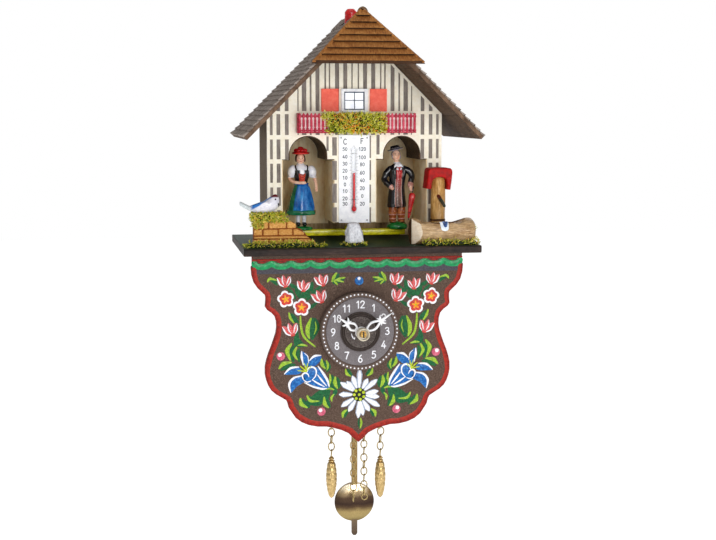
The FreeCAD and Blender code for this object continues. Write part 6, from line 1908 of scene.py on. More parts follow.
# ----------------------------------------------------------------------------
# plaque: board, border and painted flowers
# ----------------------------------------------------------------------------
# The flowers are laid out on a drawing grid; Q puts a grid point on the board's face.
_a, _e = math.radians(-9.5), math.radians(6.8)
_B = Vector((math.sin(_a) * math.cos(_e), -math.cos(_a) * math.cos(_e), math.sin(_e)))
_R = Vector((math.cos(_a), math.sin(_a), 0.0))
_U = _B.cross(_R)
_C = Vector((-109.23, -701.67, 12.74))


def Q(u, v, y=-50.4):
    d = _R * (u / 6.817 - 118.0) - _U * (v / 6.817 - 20.0) - _B * 1330.0
    p = _C + d * ((y - _C.y) / d.y)
    return p.x, p.z


PU = 0.0745
PF = -50.38
MX = 0.62


def pen(g, pts, w, h=0.1, per=4, mir=True, yb=PF):
    P = [Q(*p) for p in pts]
    W = [q * PU for q in w] if hasattr(w, "__len__") else w * PU
    if hasattr(W, "__len__") and len(W) != len(P):
        W = [W[min(len(W) - 1, int(round(i * (len(W) - 1) / (len(P) - 1))))] for i in range(len(P))]
    stroke(g, P, W, yb, h, per=per)
    if mir:
        stroke(g, [(MX - x, z) for x, z in P], W, yb, h, per=per)


def fill(g, pts, h=0.08, per=4, mir=True, yb=PF):
    P = [Q(*p) for p in pts]
    blob(g, P, yb, h, per=per, inset=0.1)
    if mir:
        blob(g, [(MX - x, z) for x, z in P], yb, h, per=per, inset=0.1)


def spot(g, u, v, r, h=0.1, mir=True, rv=None, yb=PF):
    x, z = Q(u, v)
    dot(g, x, z, r * PU, yb, h, n=20, rz=rv and rv * PU)
    if mir:
        dot(g, MX - x, z, r * PU, yb, h, n=20, rz=rv and rv * PU)


K_GROUND = speckled("plaque_ground", [(0.32, c(50, 37, 30)), (0.47, c(80, 62, 52)), (0.57, c(100, 80, 68)), (0.72, c(142, 120, 106))], rough=0.7,
                    scale=3.2, bump=0.6, bd=0.06, tone=False)
K_SIDE = paint("plaque_side", c(128, 46, 34), rough=0.45, var=0.15, dark=c(78, 22, 16), light=c(166, 72, 54), bump=0.3, scale=0.6)
K_RED = paint("border_red", c(152, 24, 11), rough=0.4, var=0.14, dark=c(96, 20, 12), light=c(182, 48, 28), bump=0.35, scale=0.7, tone=True)
K_FEST = paint("festoon_green", c(0, 150, 84), rough=0.4, var=0.08, dark=c(0, 110, 62), light=c(26, 184, 110), coat=0.2)
K_LEAF = paint("leaf_light", c(150, 188, 44), rough=0.4, var=0.12, dark=c(104, 150, 26), light=c(190, 214, 70), coat=0.2, scale=1.6)
K_DARK = paint("leaf_dark", c(16, 92, 50), rough=0.45, var=0.14, dark=c(8, 62, 36), light=c(36, 124, 66), scale=1.4)
K_PINK = paint("petal_pink", c(214, 98, 100), rough=0.4, var=0.16, dark=c(178, 52, 64), light=c(240, 156, 146), scale=1.6)
K_WHITE = paint("petal_white", c(244, 243, 245), rough=0.4, var=0.05, dark=c(214, 218, 232), light=c(255, 255, 255), coat=0.2, scale=1.4)
K_SHADE = paint("petal_shade", c(160, 174, 194), rough=0.45, var=0.1, dark=c(124, 136, 156), light=c(198, 208, 224), scale=1.4)
K_SALM = paint("petal_salmon", c(206, 66, 56), rough=0.4, var=0.12, dark=c(170, 36, 36), light=c(230, 110, 90), scale=1.5)
K_ORAN = paint("star_orange", c(244, 160, 34), rough=0.4, var=0.1, dark=c(226, 120, 20), light=c(252, 204, 80), scale=1.6)
K_BLUE = paint("gentian_blue", c(10, 98, 174), rough=0.35, var=0.14, dark=c(2, 60, 130), light=c(66, 154, 222), coat=0.1, scale=1.0)
K_YEL = paint("stamen_yellow", c(188, 206, 40), rough=0.4, var=0.1, dark=c(140, 170, 20), light=c(226, 230, 90), scale=1.6)
K_EYE = paint("edelweiss_eye", c(30, 34, 18), rough=0.5, var=0.2)
K_OVERHANG_SHADOW = speckled("slate_strip", [(0.3, c(52, 50, 56)), (0.5, c(72, 70, 78)), (0.7, c(96, 94, 100))], rough=0.6, scale=2.4, bump=0.4, bd=0.05, tone=False)
K_BALL = paint("ball_pink", c(206, 92, 118), rough=0.35, var=0.1, dark=c(170, 50, 84), light=c(232, 140, 156), coat=0.3, scale=1.4)
D_GREY = speckled("dial_grey", [(0.3, c(84, 78, 80)), (0.5, c(114, 108, 110)), (0.7, c(142, 136, 138))], rough=0.6, scale=2.6, bump=0.4, bd=0.05, tone=False)
D_RING = speckled("dial_ring", [(0.3, c(66, 52, 46)), (0.5, c(96, 80, 72)), (0.7, c(124, 108, 100))], rough=0.6, scale=2.6, bump=0.4, bd=0.05, tone=False)
D_DARK = speckled("dial_groove", [(0.3, c(34, 26, 24)), (0.5, c(56, 46, 42)), (0.7, c(84, 72, 66))], rough=0.55, scale=2.0, bump=0.3, bd=0.05, tone=False)
D_MID = speckled("dial_centre", [(0.3, c(62, 54, 52)), (0.5, c(96, 86, 82)), (0.7, c(136, 126, 120))], rough=0.32, scale=1.4, bump=0.3, bd=0.05, tone=False)

half = [(53.2, -56.5), (53.2, -63.1), (53.76, -63.75), (53.45, -67.79), (52.4, -71.44), (50.59, -74.17),
        (48.43, -76.27), (46.85, -77.8), (46.61, -78.91), (46.63, -80.36), (46.9, -83.66),
        (45.97, -85.13), (43.79, -86.69), (42.11, -88.54), (41.38, -91.18), (41.25, -94.1),
        (41.68, -97.06), (42.65, -100.01), (43.92, -103.66), (45.4, -107.35), (46.53, -111.01),
        (47.15, -113.97), (47.18, -117.67), (46.61, -120.69), (45.53, -123.67), (44.1, -125.96),
        (41.9, -127.92), (39.3, -129.49), (36.74, -131.11), (36.0, -132.62), (35.31, -135.26),
        (33.81, -137.57), (32.0, -140.3), (29.03, -142.68), (25.33, -144.31), (20.86, -145.26),
        (16.38, -145.44), (12.61, -146.31), (8.87, -147.45), (5.13, -149.3), (2.82, -151.68)]
outline = half + [(0.0, -154.08)] + [(-x, z) for x, z in reversed(half)]
g = Geo()
n = len(outline)
rings = []
for yy, d in ((-46.4, 0.35), (-46.55, 0.1), (-46.9, 0.0), (-49.9, 0.0), (-50.25, 0.1), (-50.4, 0.35)):
    rings.append([(x, yy, z) for x, z in (inset2(outline, d) if d else outline)])
fs = ring_faces(n, len(rings))
vs = [p for r_ in rings for p in r_]
g.add(vs, fs, [1] * (len(fs) - 2) + [1, 0])
g.build("plaque_board", [K_GROUND, K_SIDE], smooth=True, angle=30, replaces=("plaque",), slot="plaque_wood")

# red border
path = []
lower = [(53.76, -63.9)] + half[3:] + [(0.0, -154.08)] + [(-x, z) for x, z in reversed(half[3:])] + [(-53.76, -63.9)]
dense = []
for p, q in zip(lower, lower[1:]):
    L = math.hypot(q[0] - p[0], q[1] - p[1])
    k = max(1, int(L / 1.2))
    dense += [(p[0] + (q[0] - p[0]) * i / k, p[1] + (q[1] - p[1]) * i / k) for i in range(k)]
dense.append(lower[-1])
g = Geo()
rings = []
m = len(dense)
for i, (x, z) in enumerate(dense):
    p, q = dense[max(0, i - 2)], dense[min(m - 1, i + 2)]
    t = Vector((q[0] - p[0], q[1] - p[1])).normalized()
    nn = Vector((t.y, -t.x))
    if abs(x) < 0.01:
        nn = Vector((0, 1))
    wob = 0.10 * math.sin(i * 0.7) + 0.08 * math.sin(i * 0.23)
    W = 2.6 + wob + 0.5 * min(1.0, max(0.0, (-130 - z) / 12.0)) + (1.9 if abs(x) < 0.01 else 0.0)
    ring = []
    for u, v in ((0.02, 0.0), (0.06, 0.08), (0.42, 0.12), (0.85, 0.12), (1.0, 0.0)):
        px_, pz_ = x + nn.x * W * u, z + nn.y * W * u
        if x > 0.01 and px_ < 0.02:
            px_ = 0.02
        if x < -0.01 and px_ > -0.02:
            px_ = -0.02
        ring.append((px_, -50.38 - v, pz_))
    rings.append(ring)
loft(rings, geo=g)
g.t = [(0.05, 0.12, 0.52, 0.85, 0.85)[i % 5] for i in range(len(g.v))]
g.build("plaque_border", [K_RED], smooth=True, angle=60)

# top: painted shadow of the platform's overhang, garland, red line
g = Geo()
p0, p1 = Q(812, 118)[1], Q(812, 152)[1]
# grey band across the top: painted shadow cast by the platform's overhang
blob(g, [(-53.4, p1), (53.4, p1), (53.4, p0 + 1.4), (-53.4, p0 + 1.4)], PF, 0.05, inset=0.1)
g.build("slate_band", [K_OVERHANG_SHADOW], smooth=True)
g = Geo()
NS = 11
pw = 2 * 53.2 / NS
zt, zb = Q(812, 84)[1], Q(812, 108)[1]
for k in range(NS):
    x0 = -53.2 + k * pw
    pts = [(x0, zt), (x0 + 0.22 * pw, zb + 0.45), (x0 + 0.5 * pw, zb), (x0 + 0.78 * pw, zb + 0.45), (x0 + pw, zt)]
    pts = [(max(-52.2, min(52.2, a)), b_) for a, b_ in pts]
    stroke(g, [(a, b_ + 0.3) for a, b_ in pts], [1.5, 1.58, 1.6, 1.58, 1.5], PF, 0.16, per=5)
g.build("garland", [K_FEST], smooth=True, angle=70)
g = Geo()
zt = Q(812, 58)[1]
stroke(g, [(-52.9, zt), (-20, zt), (20, zt), (52.9, zt)], 0.5, PF, 0.14, per=4)
for k in range(NS):
    x0 = -53.2 + (k + 0.5) * pw
    stroke(g, [(x0 - 1.9, zt - 0.75), (x0, zt - 1.15), (x0 + 1.9, zt - 0.75)], [0.25, 0.4, 0.25], PF, 0.10, per=4)
g.build("top_red_line", [K_RED], smooth=True)

gL, gD, gP, gW, gB, gS, gO, gY = Geo(), Geo(), Geo(), Geo(), Geo(), Geo(), Geo(), Geo()


def tulip(u, v, ang, s=1.0):
    ca, sa = math.cos(math.radians(ang)), math.sin(math.radians(ang))

    def T(pts):
        return [(u + s * (a * ca + b_ * sa), v + s * (a * sa - b_ * ca)) for a, b_ in pts]
    fill(gP, T([(0, -38), (-22, -31), (-35, -8), (-40, 12), (-47, 32), (-26, 27), (-12, 8), (-3, -12)]), h=0.09)
    fill(gP, T([(4, -38), (26, -30), (37, -8), (40, 12), (49, 28), (28, 26), (15, 8), (6, -12)]), h=0.10)
    fill(gP, T([(0, -36), (-13, -14), (-16, 10), (-5, 44), (10, 26), (15, 2), (10, -20)]), h=0.12)
    pen(gW, T([(-10, -35), (-31, -20), (-40, 4), (-46, 28)]), [3, 6, 6, 2], h=0.15)
    pen(gW, T([(-4, -26), (-12, -4), (-12, 18), (-6, 38)]), [2, 5, 5, 2], h=0.17)
    pen(gW, T([(12, -24), (22, -4), (30, 10), (44, 25)]), [2, 4.5, 5, 2], h=0.15)
    pen(gW, T([(20, -33), (38, -14), (43, 4), (47, 18)]), [2, 4, 4, 1.5], h=0.14)
    pen(gS, T([(8, -24), (11, -4), (8, 20)]), [2, 4, 2], h=0.16)
    pen(gS, T([(-16, -26), (-26, -6), (-30, 14)]), [2, 3.5, 2], h=0.13)
    pen(gS, T([(-8, -39), (2, -37), (12, -39)]), [5, 8, 5], h=0.13)


tulip(302, 213, -8)
tulip(432, 243, 4, 0.95)
tulip(556, 205, -14)
tulip(542, 318, -20, 1.1)
tulip(346, 542, -16, 1.1)
# stems and dark leaves between them
for pts, w in (([(318, 255), (350, 285), (375, 330)], [5, 7, 5]), ([(432, 285), (425, 310), (420, 335)], [5, 7, 5]),
               ([(548, 248), (505, 290), (460, 335)], [5, 9, 6]), ([(520, 362), (490, 385), (462, 400)], [5, 8, 5]),
               ([(385, 262), (395, 285), (405, 320)], [8, 13, 6]), ([(470, 275), (455, 300), (440, 325)], [7, 12, 5]),
               ([(345, 232), (362, 248), (384, 250)], [5, 9, 4]), ([(492, 225), (485, 262), (492, 280)], [6, 11, 5]),
               ([(352, 440), (372, 470), (396, 496)], [6, 11, 4]), ([(384, 600), (395, 632), (430, 650)], [10, 18, 8]),
               ([(392, 560), (388, 590), (398, 620)], [4, 9, 6]), ([(512, 472), (522, 530), (492, 606)], [6, 15, 5]),
               ([(495, 470), (486, 530), (470, 606)], [6, 14, 5]), ([(210, 208), (232, 216), (252, 236)], [4, 8, 4]),
               ([(672, 166), (656, 196), (640, 222)], [5, 11, 6]), ([(704, 200), (676, 212), (640, 216)], [5, 9, 5]),
               ([(660, 232), (650, 222), (636, 212)], [4, 8, 5])):
    pen(gD, pts, [q * 1.8 for q in w], h=0.06)
for pts, w in (([(412, 452), (416, 520), (438, 594), (512, 658)], [4, 6, 6.5, 4]), ([(396, 650), (424, 646), (456, 654)], [3, 7, 3]),
               ([(484, 466), (464, 520), (462, 566), (474, 604)], [4, 12, 12, 3]), ([(512, 490), (520, 530), (506, 574)], [2, 5, 2]),
               ([(334, 430), (344, 464), (368, 498)], [4, 8, 3]), ([(188, 216), (204, 196), (250, 206)], [4, 8, 3]),
               ([(658, 156), (640, 184), (628, 214)], [4, 9, 4]), ([(716, 188), (682, 194), (648, 206)], [3, 7, 4]),
               ([(706, 218), (676, 210), (646, 206)], [3, 6, 4]), ([(664, 236), (654, 224), (640, 212)], [3, 6, 3])):
    pen(gL, pts, [q * 1.3 for q in w], h=0.11)

# five-petalled flowers
for u, v, r, a0 in ((312, 335, 59, -12), (420, 391, 62, 4)):
    def lobed(rr, depth, n_=60, ph=0.0):
        return [(u + rr * (1 - depth + depth * abs(math.cos(2.5 * t + ph)) ** 0.75) * math.sin(t + math.radians(a0)),
                 v - rr * (1 - depth + depth * abs(math.cos(2.5 * t + ph)) ** 0.75) * math.cos(t + math.radians(a0)))
                for t in [2 * math.pi * i / n_ for i in range(n_)]]
    fill(gW, lobed(r, 0.26), h=0.10, per=0)
    fill(gS, lobed(r * 0.76, 0.28), h=0.14, per=0)
    for k in range(5):
        t = math.radians(a0 + 72 * k)
        pen(gO, [(u, v), (u + r * 0.25 * math.sin(t), v - r * 0.25 * math.cos(t)), (u + r * 0.50 * math.sin(t), v - r * 0.50 * math.cos(t))],
            [8, 10, 3], h=0.19)
        t += math.radians(36)
        pen(gS, [(u + r * 0.40 * math.sin(t), v - r * 0.40 * math.cos(t)), (u + r * 0.66 * math.sin(t), v - r * 0.66 * math.cos(t))], [3, 2], h=0.16)
    spot(gY, u, v, 8, h=0.23)

# gentian
for pts in ([(446, 800), (420, 760), (414, 692), (440, 700), (462, 722), (470, 780)],
            [(470, 790), (470, 756), (500, 728), (552, 718), (548, 752), (524, 782), (496, 796)],
            [(302, 846), (342, 806), (400, 800), (420, 826), (400, 846), (356, 850)],
            [(346, 972), (334, 916), (362, 872), (424, 858), (446, 880), (428, 906), (388, 930)],
            [(432, 866), (470, 812), (520, 798), (556, 834), (590, 884), (608, 930), (586, 946), (520, 930), (456, 902)]):
    fill(gB, pts, h=0.08)
for pts, w in (([(420, 692), (421, 730), (432, 784)], [4, 9, 3]), ([(440, 704), (462, 726), (468, 770)], [2, 3.5, 2]),
               ([(552, 718), (506, 724), (472, 756)], [3, 9, 3]), ([(302, 846), (344, 806), (400, 798)], [3, 9, 4]),
               ([(346, 972), (336, 914), (368, 872), (420, 858)], [3, 9, 8, 3]),
               ([(532, 792), (566, 840), (596, 890), (608, 930)], [3, 9, 9, 4]), ([(440, 904), (500, 932), (560, 946), (590, 944)], [3, 7, 8, 4]),
               ([(492, 884), (530, 908), (576, 932)], [3, 7, 3]), ([(528, 850), (556, 886), (590, 926)], [3, 8, 3]),
               ([(432, 882), (424, 856), (440, 838), (462, 846), (470, 864)], [4, 6, 6, 5, 3]),
               ([(456, 836), (468, 806), (496, 798), (518, 818), (516, 856), (492, 886)], [3, 6, 7, 6, 5, 3]),
               ([(432, 884), (456, 900), (484, 892)], [3, 5, 3])):
    pen(gW, pts, w, h=0.15)
for pts in ([(448, 830), (420, 824), (394, 822)], [(448, 826), (428, 806), (410, 792)], [(450, 822), (446, 796), (434, 770)],
            [(454, 820), (458, 792), (462, 772)], [(458, 822), (474, 806), (484, 790)]):
    pen(gY, pts, [3, 5, 3], h=0.17)
spot(gY, 450, 826, 9, h=0.18)

# leaves round the gentians and the edelweiss
for pts, w in (([(368, 656), (348, 700), (364, 756)], [5, 13, 5]), ([(404, 676), (392, 716), (404, 760)], [4, 11, 4]),
               ([(282, 818), (326, 794), (372, 782)], [4, 13, 5]), ([(572, 758), (578, 790), (594, 818)], [4, 11, 4]),
               ([(606, 770), (608, 800), (592, 830)], [3, 8, 3]), ([(628, 856), (634, 900), (622, 944)], [4, 12, 6]),
               ([(664, 872), (676, 908), (672, 940)], [4, 9, 4]), ([(600, 948), (544, 980), (476, 1038), (436, 1044)], [7, 14, 15, 5]),
               ([(604, 956), (588, 1000), (566, 1034)], [8, 13, 5]), ([(640, 940), (650, 966), (632, 1000)], [6, 10, 4]),
               ([(430, 1020), (438, 1048), (470, 1070)], [5, 12, 5]), ([(474, 1000), (500, 1026), (542, 1020)], [4, 9, 4]),
               ([(594, 1010), (600, 1044), (612, 1070)], [4, 10, 4]), ([(738, 812), (748, 838), (762, 850)], [4, 8, 4]),
               ([(740, 1092), (720, 1112), (716, 1136)], [4, 9, 4]), ([(560, 1000), (540, 1040), (500, 1052)], [6, 14, 6])):
    pen(gD, pts, [q * 1.8 for q in w], h=0.06)
for pts, w in (([(350, 640), (322, 688), (344, 752)], [5, 13, 4]), ([(386, 664), (368, 706), (392, 748)], [4, 10, 3]),
               ([(266, 808), (296, 776), (350, 766)], [4, 12, 4]), ([(556, 744), (560, 780), (580, 806)], [4, 10, 4]),
               ([(588, 754), (600, 786), (592, 818)], [3, 8, 3]), ([(612, 846), (616, 886), (602, 930)], [3, 7, 3]),
               ([(650, 866), (646, 904), (664, 942)], [4, 12, 4]), ([(412, 1012), (418, 1048), (458, 1074)], [4, 13, 4]),
               ([(458, 994), (480, 1028), (538, 1030)], [4, 9, 3]), ([(574, 1004), (578, 1046), (602, 1074)], [4, 12, 4]),
               ([(640, 984), (624, 1006), (626, 1030)], [3, 7, 3]), ([(586, 948), (616, 944), (640, 952)], [3, 6, 3]),
               ([(720, 812), (728, 842), (754, 860)], [3, 9, 3]), ([(728, 1090), (704, 1110), (700, 1142)], [4, 10, 3])):
    pen(gL, pts, [q * 1.3 for q in w], h=0.12)
pen(gD, [(812, 1150), (808, 1180), (816, 1214)], [4, 8, 4], h=0.06, mir=False)
pen(gL, [(822, 1146), (828, 1180), (818, 1216)], [4, 8, 3], h=0.12, mir=False)

# edelweiss, pale petals over a blue-grey underpainting
gU = Geo()
E0 = (812, 985)
tips = [(816, 814), (768, 864), (732, 900), (690, 906), (682, 985), (696, 1064), (742, 1096), (806, 1138), (838, 1120), (880, 1092), (946, 1062),
        (942, 1000), (936, 962), (930, 886), (868, 882)]
for k, (u, v) in enumerate(tips):
    L = math.hypot(u - E0[0], v - E0[1])
    du, dv = (u - E0[0]) / L, (v - E0[1]) / L
    s0 = 50
    pts = [(E0[0] + du * s0, E0[1] + dv * s0), (E0[0] + du * (s0 + (L - s0) * 0.35), E0[1] + dv * (s0 + (L - s0) * 0.35)),
           (E0[0] + du * (s0 + (L - s0) * 0.72), E0[1] + dv * (s0 + (L - s0) * 0.72)), (u, v)]
    pen(gU, pts, [10, 18, 22, 9], h=0.09, mir=False)
    pen(gW, pts, [6, 13, 17, 6] if k else [6, 12, 14, 3], h=0.17 + 0.03 * (k % 2), mir=False)
g = Geo()
spot(g, E0[0], E0[1], 48, h=0.20, mir=False)
g.build("edelweiss_eye", [K_EYE], smooth=True, angle=70)
for k in range(7):
    t = 2 * math.pi * k / 7 + 0.2
    spot(gY, E0[0] + 33 * math.sin(t), E0[1] - 33 * math.cos(t), 11.5, h=0.30, mir=False)
spot(gY, E0[0], E0[1], 11, h=0.32, mir=False)

# balls
gK = Geo()
for u, v in ((278, 725), (555, 1102)):
    spot(gK, u, v, 29, h=0.16)
    spot(gW, u - 6, v - 9, 15, h=0.24)
gK.build("pink_balls", [K_BALL], smooth=True, angle=70)
spot(gB, 812, 210, 30, h=0.14, mir=False)
spot(gW, 812, 194, 12, h=0.22, mir=False)

gU.build("edelweiss_shadow", [K_SHADE], smooth=True, angle=70)
gD.build("painted_dark_leaves", [K_DARK], smooth=True, angle=70)
gL.build("painted_leaves", [K_LEAF], smooth=True, angle=70)
gP.build("painted_pink", [K_PINK], smooth=True, angle=70)
gB.build("painted_blue", [K_BLUE], smooth=True, angle=70)
gS.build("painted_red", [K_SALM], smooth=True, angle=70)
gO.build("painted_orange", [K_ORAN], smooth=True, angle=70)
gY.build("painted_yellow", [K_YEL], smooth=True, angle=70)
gW.build("painted_white", [K_WHITE], smooth=True, angle=70)

# ----------------------------------------------------------------------------
# dial
# ----------------------------------------------------------------------------
DC = -96.3
lathe([(16.4, -50.4), (19.8, -50.4), (19.8, -55.0), (19.7, -55.35), (19.3, -55.75), (18.9, -55.9), (17.75, -55.9), (17.55, -55.75),
       (17.5, -55.4), (16.4, -55.3)], 0, 0, DC, axis="Y", n=120).build("dial_rim", [D_RING], smooth=True, angle=35, replaces=("dial",), slot="dial_wood")
lathe([(9.6, -50.6), (17.2, -50.6), (17.2, -55.45), (17.1, -55.75), (16.85, -55.9), (10.25, -55.9), (10.05, -55.8), (9.6, -55.6)], 0, 0, DC, axis="Y", n=120).build(
    "dial_disc", [D_GREY], smooth=True, angle=35)
g = Geo()
for r0, r1, yf in ((9.25, 10.0, -56.5), (8.2, 9.0, -57.1)):
    lathe([(r0, -50.8), (r1, -50.8), (r1, yf + 0.25), (r1 - 0.12, yf + 0.04), (r1 - 0.3, yf), (r0 + 0.25, yf), (r0 + 0.08, yf + 0.06), (r0, yf + 0.3)],
          0, 0, DC, axis="Y", n=100, geo=g)
lathe([(7.7, -50.8), (10.0, -50.8), (10.0, -55.95), (7.7, -56.2)], 0, 0, DC, axis="Y", n=100, geo=g)
g.build("dial_rings", [D_DARK], smooth=True, angle=35)
prof = [(2.9, -50.8), (7.85, -50.8), (7.85, -57.35)]
for k in range(7):
    r = 7.7 - k * 0.68
    prof += [(r, -57.62), (r - 0.22, -57.7), (r - 0.40, -57.6), (r - 0.50, -57.05)]
prof += [(2.9, -57.45)]
lathe(prof, 0, 0, DC, axis="Y", n=100).build("dial_centre", [D_MID], smooth=True, angle=50)
g = Geo()
for k in range(60):
    a = math.radians(6 * k + 3)
    dot(g, 18.68 * math.sin(a), DC + 18.68 * math.cos(a), 0.43, -55.88, 0.14, n=12)
g.build("minute_dots", [K_WHITE], smooth=True, angle=70)
g = Geo()
for k in range(1, 13):
    a = math.radians(30 * k)
    write(g, str(k), 13.65 * math.sin(a), DC + 13.65 * math.cos(a), 3.75, 0.30, -55.88, 0.15, gap=0.60)
g.build("numerals", [K_WHITE], smooth=True, angle=70)
g = Geo()
AR = 4.75
pts = [(AR * math.sin(math.radians(a)), DC + AR * math.cos(math.radians(a))) for a in (262, 254, 246, 238, 230)]
stroke(g, pts, [0.2, 0.26, 0.28, 0.26, 0.22], -57.62, 0.16, per=4)
a = math.radians(227)
tx, tz = AR * math.sin(a), DC + AR * math.cos(a)
stroke(g, [(tx - 0.75, tz + 0.6), (tx + 0.3, tz - 0.15)], [0.2, 0.26], -57.62, 0.17, per=2)
stroke(g, [(tx + 0.45, tz + 0.85), (tx + 0.3, tz - 0.15)], [0.2, 0.26], -57.62, 0.17, per=2)
g.build("winding_arrow", [K_WHITE], smooth=True, angle=70)

# ----------------------------------------------------------------------------
# hands, nut, arbor
# ----------------------------------------------------------------------------
def hand(name, body, L, cw, y_front, th, k, node):
    g = Geo()
    ca, sa = math.cos(math.radians(cw)), math.sin(math.radians(cw))
    yb = y_front + th

    def S(pts, w, closed=False, per=4, h=None):
        P = [(a * ca + b_ * sa, DC - a * sa + b_ * ca) for a, b_ in pts]
        stroke(g, P, w, yb, th if h is None else h, closed=closed, per=per)
    n_ = 22
    S([(2.35 * math.cos(2 * math.pi * i / n_), 2.35 * math.sin(2 * math.pi * i / n_)) for i in range(n_)], 0.72, closed=True, per=0)
    a0, a1 = 2.6, 0.60 * L
    # open loop: two bowed sides
    for sg in (-1, 1):
        S([(sg * 0.35, a0), (sg * 1.55 * k, a0 + (a1 - a0) * 0.30), (sg * 1.75 * k, a0 + (a1 - a0) * 0.55), (sg * 0.7 * k, a0 + (a1 - a0) * 0.86), (0, a1)],
          [0.55, 0.52, 0.62, 0.55, 0.6])
        # curled prong
        S([(sg * 0.2, a1 + 0.1), (sg * 1.25 * k, a1 + 0.35), (sg * 2.15 * k, a1 + 0.95), (sg * 2.5 * k, a1 + 1.5)], [0.6, 0.55, 0.42, 0.2])
        S([(sg * 0.2, a1 - 0.15), (sg * 1.2 * k, a1 - 0.35), (sg * 2.0 * k, a1 - 1.0)], [0.5, 0.42, 0.18])
    S([(0, a1 - 0.4), (0, a1 + (L - a1) * 0.35), (0, a1 + (L - a1) * 0.7), (0, L)], [0.75, 0.62, 0.34, 0.12])
    S([(0, 2.0), (0, 3.4)], [0.6, 0.5], per=2)
    g.build(name, [P_HAND], body=body, smooth=True, angle=60, replaces=(node,), slot="hand_white")


hand("hour_hand_cut", "hour", 14.1, 304.7, -59.8, 0.66, 0.95, "hour_hand")
hand("minute_hand_cut", "minute", 18.6, 56.7, -62.2, 0.66, 1.0, "minute_hand")
g = Geo()
lathe([(1.72, -62.2), (2.9, -62.2), (3.15, -62.5), (3.2, -63.0), (3.2, -65.6), (3.05, -66.0), (2.8, -66.2), (2.62, -66.2), (2.5, -66.05), (2.5, -64.1), (1.72, -64.0)],
      0, 0, DC, axis="Y", n=96, geo=g, wave=lambda a, h: 1 + (0.012 * math.cos(24 * a) if h < -62.6 else 0.0))
g.build("nut", [P_NUT], body="minute", smooth=True, angle=50, replaces=("hand_nut",), slot="nut_cream")
soften("winding_arbor", 0.08, [M_BRASS], segments=2, smooth=True, angle=40)

# ----------------------------------------------------------------------------
# pendulum
# ----------------------------------------------------------------------------
M = Mat("rod_gilt", rough=0.34, metal=1.0)
v = M.vec()
sz = M.sep(v, "Z")
n1 = M.noise(M.vec(warp=0.6), scale=0.35, detail=5)
band = M.math("ADD", sz, M.math("MULTIPLY", n1, 3.0))
M.color(M.ramp(M.remap(band, -207.0, -135.0, 0.0, 1.0), [(0.0, c(74, 60, 50)), (0.10, c(96, 82, 68)), (0.2, c(120, 102, 74)), (0.45, c(146, 120, 76)),
                                                        (0.8, c(136, 110, 70)), (1.0, c(120, 98, 62))]))
M.rough(n1, 0.3, 0.42)
M.bump(n1, 0.02, 0.02)
K_ROD = M.m
soften("pendulum_rod", 0.22, [K_ROD], segments=2, smooth=False, angle=40)
BZ = -188.9
M = Mat("bob_gilt", rough=0.24, metal=1.0)
v = M.vec()
sz = M.sep(v, "Z")
n1 = M.noise(M.vec(warp=0.6), scale=0.22, detail=5)
band = M.math("ADD", sz, M.math("MULTIPLY", n1, 2.4))
# colour by height is a painted reflection: bright top, dark middle band, olive lower part
cc = M.ramp(M.remap(band, -198.1, -177.3, 0.0, 1.0), [(0.0, c(112, 96, 62)), (0.12, c(150, 132, 88)), (0.26, c(150, 130, 86)), (0.38, c(84, 66, 48)),
                                                     (0.46, c(58, 44, 38)), (0.62, c(84, 66, 52)), (0.74, c(160, 138, 104)), (0.86, c(226, 210, 178)), (1.0, c(250, 240, 218))])
M.color(cc)
M.rough(n1, 0.22, 0.32)
M.bump(n1, 0.02, 0.02)
K_BOB_REFLECTION = M.m
lathe([(0, -35.75), (8.9, -35.75), (9.9, -35.9), (10.35, -36.4), (10.4, -37.2), (10.2, -37.75), (9.85, -38.0), (9.5, -38.05), (9.2, -38.2), (7.5, -38.65),
       (5.2, -38.98), (2.6, -39.15), (0, -39.2)], 0, 0, BZ, axis="Y", n=96).build(
    "bob_disc", [K_BOB_REFLECTION], body="pendulum", smooth=True, angle=50, replaces=("pendulum_bob",), slot="bob_brass")
g = Geo()
lathe([(0, -35.0), (0.95, -35.05), (1.25, -35.3), (1.25, -35.9), (0, -35.95)], 0, 0, BZ, axis="Y", n=6, geo=g)
tube([(0, -35.2, BZ - 6.5), (0, -35.05, BZ), (0, -35.2, BZ + 6.5)], 0.7, n=8, geo=g, flat=0.6)
g.build("bob_clip", [M_STEEL], body="pendulum", smooth=True, angle=40)

# ----------------------------------------------------------------------------
# chains and weights
# ----------------------------------------------------------------------------
def oval(geo, x, y, z, rx, rz, wire, turn=0.0, n=26, gap=None, twist=0.0):
    """Wire ring standing upright; turn 0 faces the viewer, 90 edge on."""
    ct, st = math.cos(math.radians(turn)), math.sin(math.radians(turn))
    pts = []
    lo, hi = (0, 2 * math.pi) if gap is None else (math.radians(gap[0]), math.radians(gap[1]))
    for i in range(n if gap is None else n + 1):
        a = lo + (hi - lo) * i / n
        u, w = rx * math.cos(a), rz * math.sin(a)
        e = twist * math.sin(a)
        pts.append((x + u * ct - e * st, y + u * st + e * ct, z + w))
    tube(pts, wire, n=8, closed=gap is None, geo=geo)


